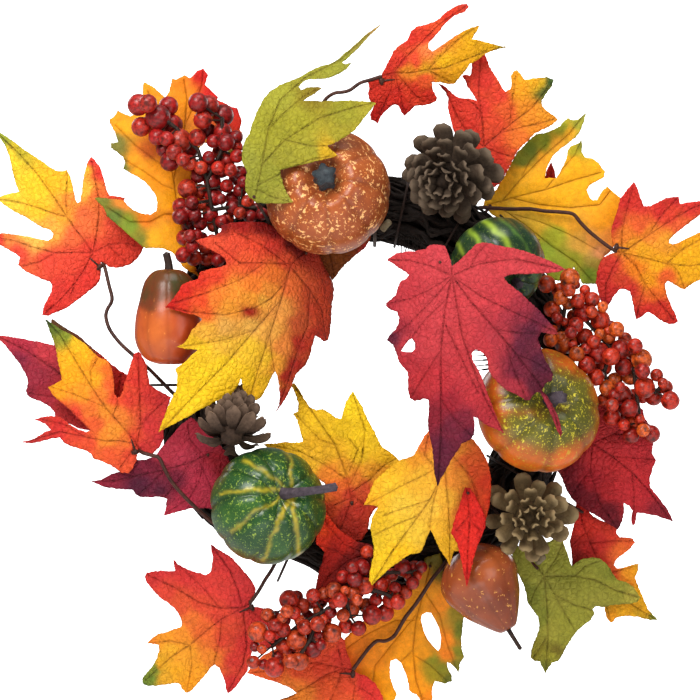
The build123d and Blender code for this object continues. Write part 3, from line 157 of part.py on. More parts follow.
BRANCH_LOWER = [((13.6,-47.4,-279.7),(13.4,-69.4,-291.0)),((13.4,-69.4,-291.0),(0.6,-77.4,-301.3)),((0.6,-77.4,-301.3),(-13.6,-76.4,-309.9)),((-13.6,-76.4,-309.9),(-30.7,-74.4,-318.5)),((-30.7,-74.4,-318.5),(-47.8,-71.4,-328.6)),((-47.8,-71.4,-328.6),(-66.4,-67.4,-343.1)),((-13.6,-76.4,-309.9),(-10.8,-75.4,-321.3)),((-30.7,-74.4,-318.5),(-39.3,-72.4,-338.6)),((-39.3,-72.4,-338.6),(-47.8,-70.4,-351.5)),((13.4,-69.4,-291.0),(24.8,-73.4,-290.1)),((24.8,-73.4,-290.1),(33.3,-73.4,-290.1)),((-47.8,-71.4,-328.6),(-53.5,-73.4,-312.9)),((0.6,-77.4,-301.3),(14.8,-77.4,-305.6)),((14.8,-77.4,-305.6),(23.3,-77.4,-309.9))]
TWIGS_LOWER = [((-66.0,-67.5,-342.8),(-64.9,-71.2,-357.8)),((-52.9,-70.3,-332.6),(-48.6,-69.7,-338.0)),((-66.0,-67.5,-342.8),(-76.4,-68.2,-333.1)),((-10.9,-75.4,-321.1),(4.9,-71.9,-320.8)),((-47.7,-70.4,-351.2),(-46.4,-68.9,-353.7)),((-53.4,-73.4,-313.2),(-54.3,-69.7,-310.2)),((0.3,-77.4,-301.5),(-0.1,-80.9,-299.7)),((27.0,-73.4,-290.1),(27.0,-69.7,-287.4)),((8.7,-72.3,-294.8),(10.6,-68.2,-300.3)),((-35.2,-73.4,-329.0),(-23.6,-70.4,-333.7)),((-11.6,-75.7,-318.2),(-10.1,-69.7,-317.3)),((33.2,-73.4,-290.1),(35.6,-59.9,-289.2)),((4.0,-75.3,-298.6),(-2.3,-80.2,-287.0)),((-43.9,-72.1,-326.3),(-42.8,-75.7,-329.1)),((-62.0,-68.3,-339.7),(-58.6,-65.2,-343.2)),((-10.9,-75.4,-321.1),(-4.4,-70.4,-330.1)),((19.0,-77.4,-307.7),(17.7,-68.9,-310.2)),((-41.9,-71.8,-342.6),(-37.2,-68.2,-345.2)),((20.0,-77.4,-308.2),(14.2,-62.9,-319.8)),((-55.4,-69.8,-334.6),(-58.5,-72.7,-331.4)),((-47.7,-70.4,-351.2),(-52.7,-79.4,-353.1)),((-51.6,-72.7,-318.3),(-44.3,-65.2,-314.7)),((-11.4,-75.6,-319.0),(0.6,-62.1,-314.8)),((-17.0,-76.0,-311.6),(-22.2,-80.9,-302.6)),((-52.7,-73.1,-315.0),(-69.2,-71.9,-320.8)),((23.2,-77.4,-309.8),(28.4,-68.9,-304.5)),((-32.9,-73.9,-323.7),(-28.6,-65.2,-324.7)),((-10.9,-75.4,-321.1),(-13.7,-65.9,-328.9)),((-53.0,-70.3,-332.6),(-57.9,-64.4,-324.7)),((13.4,-66.1,-289.3),(19.2,-64.4,-292.6)),((-51.3,-72.6,-319.0),(-50.6,-75.7,-319.2)),((-1.8,-77.2,-302.8),(-7.3,-89.2,-295.1)),((-15.5,-76.2,-310.8),(-17.9,-89.9,-309.3)),((-66.0,-67.5,-342.8),(-79.9,-69.7,-354.4)),((-29.7,-74.5,-318.0),(-31.5,-63.6,-311.9)),((-33.9,-73.7,-326.0),(-33.5,-80.2,-326.8)),((-30.4,-74.4,-318.3),(-37.1,-79.4,-306.2)),((23.2,-77.4,-309.8),(23.3,-77.9,-311.2)),((9.6,-77.4,-304.0),(7.7,-68.9,-310.2)),((-53.4,-73.4,-313.2),(-48.7,-58.4,-308.6)),((-7.6,-76.8,-306.3),(-15.8,-81.7,-293.3)),((10.7,-71.1,-293.2),(1.3,-78.7,-275.7)),((-56.1,-69.6,-335.1),(-64.1,-79.4,-327.5)),((-52.7,-73.1,-315.0),(-55.5,-83.9,-317.4)),((-11.4,-75.6,-319.0),(-15.8,-79.4,-320.4)),((33.2,-73.4,-290.1),(34.0,-73.4,-297.9)),((-7.2,-76.9,-306.0),(-8.7,-84.7,-304.6)),((-26.4,-74.9,-316.4),(-25.0,-72.7,-318.6)),((0.3,-77.4,-301.5),(-9.4,-91.4,-286.5)),((-38.9,-72.5,-337.6),(-39.4,-61.4,-336.3)),((18.3,-77.4,-307.3),(21.2,-74.2,-301.5)),((-10.0,-76.7,-307.7),(-14.3,-91.4,-302.1)),((-39.1,-72.4,-338.2),(-31.4,-75.7,-341.9)),((-47.7,-70.4,-351.2),(-53.7,-58.4,-347.1)),((33.2,-73.4,-290.1),(39.8,-71.2,-286.6)),((-62.6,-68.2,-340.1),(-67.7,-75.7,-335.5)),((-42.1,-72.4,-325.3),(-41.5,-58.4,-322.1)),((-32.8,-74.0,-319.7),(-33.6,-70.4,-317.3)),((-20.8,-75.6,-313.5),(-22.2,-80.2,-311.9)),((-6.9,-76.9,-305.8),(-5.8,-91.4,-309.2))]


made = []


def finish(builder, name):
    builder.part.label = name
    export_step(builder.part, "parts/" + name + ".step")
    made.append(name)


def unit(v):
    n = math.sqrt(sum(c * c for c in v))
    return tuple(c / n for c in v)


def rod(a, b, radius):
    """A loose cylinder from a to b, made privately and added by the caller."""
    v = Vector(*b) - Vector(*a)
    return Plane(origin=a, z_dir=v) * Cylinder(radius, v.length, align=(Align.CENTER, Align.CENTER, Align.MIN), mode=Mode.PRIVATE)


def ball(c, radius):
    return Pos(*c) * Sphere(radius, mode=Mode.PRIVATE)


def knob(c, radius, p, q):
    """A ball at a bend, turned so its poles and seam stay clear of the rods that leave towards p and q."""
    a, b = (Vector(*p) - Vector(*c)).normalized(), (Vector(*q) - Vector(*c)).normalized()
    z = a.cross(b)
    if z.length < 0.05:
        z = a.cross(Vector(0, 0, 1) if abs(a.Z) < 0.9 else Vector(1, 0, 0))
        x = a.cross(z)
    else:
        x = (a + b) * -1 if (a + b).length > 0.05 else a.cross(z)
    return Plane(origin=c, x_dir=x, z_dir=z) * Sphere(radius, mode=Mode.PRIVATE)


# ---- vine ring ----------------------------------------------------------
ring_plane = Plane(origin=(0, RING_Y, RING_Z), x_dir=(1, 0, 0), z_dir=(0, -1, 0))

with BuildPart() as vine_core:
    with BuildSketch(Plane(origin=(RING_R, RING_Y, RING_Z), x_dir=(1, 0, 0), z_dir=(0, 0, 1))):
        Circle(CORE_R)
    revolve(axis=Axis((0, RING_Y, RING_Z), (0, 1, 0)))
finish(vine_core, "vine_core")

with BuildPart() as vine_strands:
    for i in range(STRANDS):
        t = 2 * math.pi * i / STRANDS
        r = STRAND_R + (0.22 if i % 3 == 0 else -0.18 if i % 3 == 1 else 0.0)
        d = CORE_R - 0.4 + r
        with BuildSketch(Plane(origin=(RING_R + d * math.cos(t), RING_Y + d * math.sin(t), RING_Z), x_dir=(1, 0, 0), z_dir=(0, 0, 1))):
            Circle(r)
    revolve(axis=Axis((0, RING_Y, RING_Z), (0, 1, 0)))
finish(vine_strands, "vine_strands")

with BuildPart() as vine_binding:
    for a in BIND_ANGLES:
        t = math.radians(a)
        c = (RING_R * math.cos(t), RING_Y, RING_Z + RING_R * math.sin(t))
        with BuildSketch(Plane(origin=(c[0] + (BUNDLE_R + 0.3) * math.cos(t), c[1], c[2] + (BUNDLE_R + 0.3) * math.sin(t)),
                               x_dir=(math.cos(t), 0, math.sin(t)), z_dir=(0, 1, 0))):
            Circle(BIND_R)
        revolve(axis=Axis(c, (-math.sin(t), 0, math.cos(t))))
finish(vine_binding, "vine_binding")

# ---- hanger -------------------------------------------------------------
pin_z = -PIN_DROP
with BuildPart() as hanger_band:
    for sx in (-BAND_X, BAND_X):
        with BuildSketch(Plane(origin=(sx, RING_Y, RING_Z + RING_R + BUNDLE_R + 1.6), x_dir=(1, 0, 0), z_dir=(0, -1, 0))):
            Circle(BAND_R)
        revolve(axis=Axis((sx, RING_Y, RING_Z + RING_R), (1, 0, 0)))
    add([rod((-BAND_X - 1.6, 0, pin_z), (BAND_X + 1.6, 0, pin_z), PIN_R)])
    add([ball((sx, 0, pin_z), 2.6) for sx in (-BAND_X, BAND_X)])
finish(hanger_band, "hanger_band")

with BuildPart() as hanging_loop:
    with BuildSketch(Plane.XZ.offset(-LOOP_T / 2)):
        Circle(LOOP_OUT)
        with Locations((0, -PIN_DROP / 2 - 4.0)):
            Rectangle(6.0, PIN_DROP - 8.0)
        Circle(LOOP_R, mode=Mode.SUBTRACT)
    extrude(amount=LOOP_T)
    with BuildSketch(Plane.YZ.offset(-4.0)):
        with Locations((0, pin_z)):
            Circle(3.5)
    extrude(amount=8.0)
    with BuildSketch(Plane.YZ.offset(-5.0)):
        with Locations((0, pin_z)):
            Circle(PIN_R + PIN_CLEAR)
    extrude(amount=10.0, mode=Mode.SUBTRACT)
    fillet(hanging_loop.edges().filter_by(GeomType.CIRCLE).sort_by(Axis.Z)[-2:], 0.8)
finish(hanging_loop, "hanging_loop")

# ---- leaves -------------------------------------------------------------
for name, leaf in LEAVES.items():
    ax, ay, az = leaf["anchor"]
    gx, gz = leaf["slope"]
    n = unit((gx, -1.0, gz))
    ph = math.radians(leaf["axis_deg"])
    a = unit((math.cos(ph), gx * math.cos(ph) + gz * math.sin(ph), math.sin(ph)))
    big_r = leaf["bend_r"]
    centre = tuple(p - big_r * k for p, k in zip((ax, ay, az), n))
    half = 170.0
    start = tuple(c - half * k for c, k in zip(centre, a))
    with BuildPart() as blade:
        with BuildSketch(Plane(origin=start, x_dir=n, z_dir=a)):
            Circle(big_r + BLADE_T / 2)
            Circle(big_r - BLADE_T / 2, mode=Mode.SUBTRACT)
        extrude(amount=2 * half)
        with BuildSketch(Plane.XZ.offset(-(ay + 62.0))):
            Polygon(*leaf["outline"], align=None)
            for hole in leaf["holes"]:
                Polygon(*hole, align=None, mode=Mode.SUBTRACT)
        extrude(amount=62.0 + 50.0, mode=Mode.INTERSECT)
        if name in WIRES:
            w = WIRES[name]
            b = w["route"][0]
            u, dv = w["pin_dir"], w["blade_dir"]
            along = lambda s, t=0.0: tuple(p + s * q + t * v for p, q, v in zip(b, u, dv))
            # fabric tab that carries the knuckle
            tab = Plane(origin=along(3.1, 4.6), x_dir=u, z_dir=w["normal"]) * Box(3.2, 8.4, 1.0, mode=Mode.PRIVATE)
            add([tab, rod(along(1.35), along(4.95), KNUCKLE_OUT)])
            nxt = w["route"][1]
            back = unit(tuple(q - p for p, q in zip(b, nxt)))
            away = tuple(p + 14.0 * k for p, k in zip(b, back))
            add([rod(along(-3.4), along(1.3), 2.8), rod(along(5.0), along(7.2), 2.6),
                 rod(b, away, 2.2), rod(along(-1.0), along(7.0), KNUCKLE_R + KNUCKLE_CLEAR)], mode=Mode.SUBTRACT)
    finish(blade, name)

# ---- wired stems of the leaves that can be bent -------------------------
for name, w in WIRES.items():
    b = w["route"][0]
    u = w["pin_dir"]
    along = lambda s: tuple(p + s * q for p, q in zip(b, u))
    with BuildPart() as stem:
        pts = w["route"]
        knobs = [knob(b, WIRE_R * 1.14, along(5.0), pts[1])]
        knobs += [knob(pts[i], WIRE_R * 1.14, pts[i - 1], pts[i + 1]) for i in range(1, len(pts) - 1)]
        add([rod(p, q, WIRE_R) for p, q in zip(pts[:-1], pts[1:])] + knobs
            + [rod(b, along(5.9), KNUCKLE_R), rod(along(5.1), along(5.9), 1.5)])
    finish(stem, name.replace("leaf_", "leaf_wire_"))

with BuildPart() as short_leaf_stems:
    add([rod(p, q, STEM_R) for p, q in LEAF_STEMS])
finish(short_leaf_stems, "short_leaf_stems")

# ---- berry sprays -------------------------------------------------------
for name, berries, branch, twigs in (
        ("berries_upper_left", BERRIES_UPPER_LEFT, BRANCH_UPPER_LEFT, TWIGS_UPPER_LEFT),
        ("berries_right", BERRIES_RIGHT, BRANCH_RIGHT, TWIGS_RIGHT),
        ("berries_lower", BERRIES_LOWER, BRANCH_LOWER, TWIGS_LOWER)):
    with BuildPart() as spray:
        add([ball(b[:3], b[3]) for b in berries])
    finish(spray, name)
    with BuildPart() as tree:
        add([rod(p, q, TRUNK_R) for p, q in branch] + [ball(q, TRUNK_R * 1.15) for p, q in branch]
            + [rod(p, q, TWIG_R) for p, q in twigs])
    finish(tree, name.replace("berries", "berry_stem"))

# ---- gourds: name, centre, axis, equator radius, half height, stem ------
def tilted(centre, axis):
    z = unit(axis)
    x = unit((1.0, 0.0, 0.0)) if abs(z[0]) < 0.9 else (0.0, 0.0, 1.0)
    return Plane(origin=centre, x_dir=Vector(*x) - Vector(*z) * Vector(*x).dot(Vector(*z)), z_dir=z)


GOURDS = {
    "pumpkin_copper": {"centre": (-27.1, -92.9, -20.2), "axis": (-0.04, -0.9648, 0.2599), "r": 44.3, "h": 33, "dip": 7, "stem": [(-28.0, -114.1, -14.5), (-28.4, -124.7, -11.6), (-28.7, -131.5, -8.8)], "stem_r": [6.5, 5.0]},
    "gourd_green_cap": {"centre": (-138.8, -76.9, -116.5), "axis": (-0.02, -0.0499, 0.9986), "r": 25.2, "h": 25.2, "dip": 4, "stem": [(-139.5, -78.7, -80.5), (-139.7, -79.1, -71.5), (-141.4, -79.5, -63.5)], "stem_r": [3.2, 2.4], "neck": (15, 42)},
    "pumpkin_mottled": {"centre": (122.6, -86.6, -174.7), "axis": (0.3632, -0.8878, 0.2825), "r": 44.6, "h": 26.6, "dip": 6, "stem": [(128.7, -101.7, -169.9), (133.1, -112.3, -166.5), (139.0, -119.5, -165.2)], "stem_r": [5.0, 4.0]},
    "gourd_brown": {"centre": (82.5, -72.4, -297.3), "axis": (0.499, -0.1198, -0.8583), "r": 28.2, "h": 26, "dip": 4, "stem": [(98.9, -76.4, -325.6), (103.4, -77.4, -333.3), (110.4, -78.9, -344.6)], "stem_r": [1.8, 1.3], "neck": (8.5, 39)},
    "gourd_striped": {"centre": (-68.9, -91.6, -242.6), "axis": (0.3314, -0.9037, 0.2711), "r": 40.8, "h": 31, "dip": 6, "stem": [(-62.3, -109.7, -237.2), (-56.6, -119.6, -234.2), (-44.0, -125.4, -237.7), (-27.0, -127.4, -241.7)], "stem_r": [5.2, 4.4, 3.4]},
    "gourd_dark_green": {"centre": (93.4, -87.9, -71.1), "axis": (0.5025, -0.7035, -0.5025), "r": 33.6, "h": 28, "dip": 4, "stem": [(103.5, -102.0, -81.2), (109.0, -109.7, -86.7)], "stem_r": [3.2]},
}
for name, g in GOURDS.items():
    pl = tilted(g["centre"], g["axis"])
    er, hh, dip = g["r"], g["h"], g["dip"]
    meridian = Plane(origin=g["centre"], x_dir=pl.x_dir, z_dir=-pl.y_dir)
    with BuildPart() as body:
        with BuildSketch(meridian):
            with BuildLine():
                if "neck" in g:
                    nr, nh = g["neck"]
                    Spline((0, -hh + dip), (er * 0.45, -hh * 0.96), (er * 0.93, -hh * 0.45), (er, 0), (er * 0.86, hh * 0.42),
                           ((er * 0.6 + nr * 0.4), hh * 0.42 + (nh - hh * 0.42) * 0.32), (nr, nh * 0.93), (nr * 0.5, nh), (0, nh))
                    Line((0, nh), (0, -hh + dip))
                else:
                    Spline((0, -hh + dip), (er * 0.5, -hh * 0.93), (er * 0.9, -hh * 0.5), (er, 0), (er * 0.9, hh * 0.55),
                           (er * 0.5, hh), (er * 0.2, hh - dip * 0.6), (0, hh - dip))
                    Line((0, hh - dip), (0, -hh + dip))
            make_face()
        revolve(axis=Axis(g["centre"], tuple(pl.z_dir)))
    finish(body, name)
    with BuildPart() as stem:
        pts = g["stem"]
        rs = g["stem_r"]
        add([rod(p, q, r) for p, q, r in zip(pts[:-1], pts[1:], rs)] + [knob(pts[i + 1], rs[i] * 1.06, pts[i], pts[i + 2]) for i in range(len(pts) - 2)])
    finish(stem, name + "_stem")

# picks: wires that hold the gourds and cones in the vine ring
PICKS_GOURD = [
    ((-27.1, -92.9, -20.2), (-26.4, -37.4, -23.9)),
    ((-138.8, -76.9, -116.5), (-136.2, -35.4, -117.2)),
    ((122.5, -86.9, -174.7), (124.8, -37.4, -175.0)),
    ((82.5, -72.4, -297.3), (72.1, -35.4, -279.6)),
    ((-67.5, -88.9, -243.4), (-71.6, -37.4, -248.6)),
    ((93.4, -87.9, -71.1), (94.8, -37.4, -69.8)),
]
PICKS_CONE = [
    ((58.2, -77.4, -8.4), (51.3, -37.4, -26.0)),
    ((-92.2, -96.0, -178.8), (-110.0, -37.4, -183.0)),
    ((116.2, -85.4, -250.6), (108.4, -37.4, -244.3)),
]
with BuildPart() as gourd_picks:
    add([rod(p, q, 1.6) for p, q in PICKS_GOURD])
finish(gourd_picks, "gourd_picks")

# ---- pine cones ---------------------------------------------------------
CONES = {
    "pinecone_top": dict(centre=(58.2, -77.4, -8.4), axis=(-0.2057, -0.9567, -0.2057), r=32.0, h=25.0, lift=24.0, rows=[(-0.75, 0.62, 9, 10.0), (-0.4, 0.92, 10, 11.0), (-0.05, 1.0, 10, 11.5), (0.3, 0.86, 9, 11.0), (0.6, 0.6, 7, 10.0)]),
    "pinecone_left": dict(centre=(-92.2, -96.0, -178.8), axis=(0.1201, 0.6005, 0.7906), r=23.0, h=25.0, lift=18.0, rows=[(-0.85, 0.8, 9, 8.5), (-0.6, 1.0, 9, 9.0), (-0.3, 0.85, 8, 9.0), (0.05, 0.62, 7, 8.5), (0.4, 0.42, 6, 8.0), (0.7, 0.3, 5, 6.0)]),
    "pinecone_right": dict(centre=(116.2, -85.4, -250.6), axis=(0.02, -0.9986, 0.0499), r=28.5, h=21.0, lift=22.0, rows=[(-0.75, 0.65, 8, 10.0), (-0.4, 0.95, 9, 11.0), (-0.05, 1.0, 9, 11.5), (0.3, 0.82, 8, 11.0), (0.65, 0.5, 6, 9.0)]),
}
for name, c in CONES.items():
    pl = tilted(c["centre"], c["axis"])
    with BuildPart() as cone:
        with BuildSketch(Plane(origin=c["centre"], x_dir=pl.x_dir, z_dir=-pl.y_dir)):
            with BuildLine():
                Polyline((0, -c["h"]), (c["r"] * 0.34, -c["h"] * 0.9), (c["r"] * 0.46, -c["h"] * 0.3), (c["r"] * 0.34, c["h"] * 0.5), (0, c["h"]), close=True)
            make_face()
        revolve(axis=Axis(c["centre"], tuple(pl.z_dir)))
        scales = []
        for row, (hk, rk, n, w) in enumerate(c["rows"]):
            base = Plane(origin=pl.origin + pl.z_dir * (c["h"] * hk), x_dir=pl.x_dir, z_dir=pl.z_dir)
            for loc in PolarLocations(0, n, start_angle=row * 180.0 / n):
                reach = c["r"] * rk
                s = Rot(0, -c["lift"], 0) * Pos(reach * 0.64, 0, 0) * Box(reach * 0.66, w, 2.2, mode=Mode.PRIVATE)
                scales.append(base * loc * s)
        add(scales)
    finish(cone, name)

with BuildPart() as pinecone_wires:
    add([rod(p, q, 1.2) for p, q in PICKS_CONE])
finish(pinecone_wires, "pinecone_wires")
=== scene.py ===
# Harvest door wreath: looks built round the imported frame. Metres, +Z up, the dressed face looks along -Y.
import bpy
import math
import random
import numpy as np
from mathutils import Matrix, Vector, geometry, noise


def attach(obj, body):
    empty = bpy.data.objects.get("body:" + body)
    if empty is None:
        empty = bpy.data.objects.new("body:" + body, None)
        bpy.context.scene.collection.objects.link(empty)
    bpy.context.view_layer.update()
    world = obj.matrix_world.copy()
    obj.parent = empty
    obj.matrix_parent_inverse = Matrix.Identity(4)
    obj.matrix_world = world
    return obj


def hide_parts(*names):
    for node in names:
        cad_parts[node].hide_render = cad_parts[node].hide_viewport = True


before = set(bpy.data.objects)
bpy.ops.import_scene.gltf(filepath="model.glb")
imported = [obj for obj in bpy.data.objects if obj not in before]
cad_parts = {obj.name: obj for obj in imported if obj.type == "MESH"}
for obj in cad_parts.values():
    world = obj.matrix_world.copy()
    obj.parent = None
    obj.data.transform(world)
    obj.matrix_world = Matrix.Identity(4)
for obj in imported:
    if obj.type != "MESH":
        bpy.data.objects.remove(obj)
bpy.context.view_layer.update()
MM = 0.001
random.seed(7)
rng = np.random.RandomState(7)
scn = bpy.context.scene

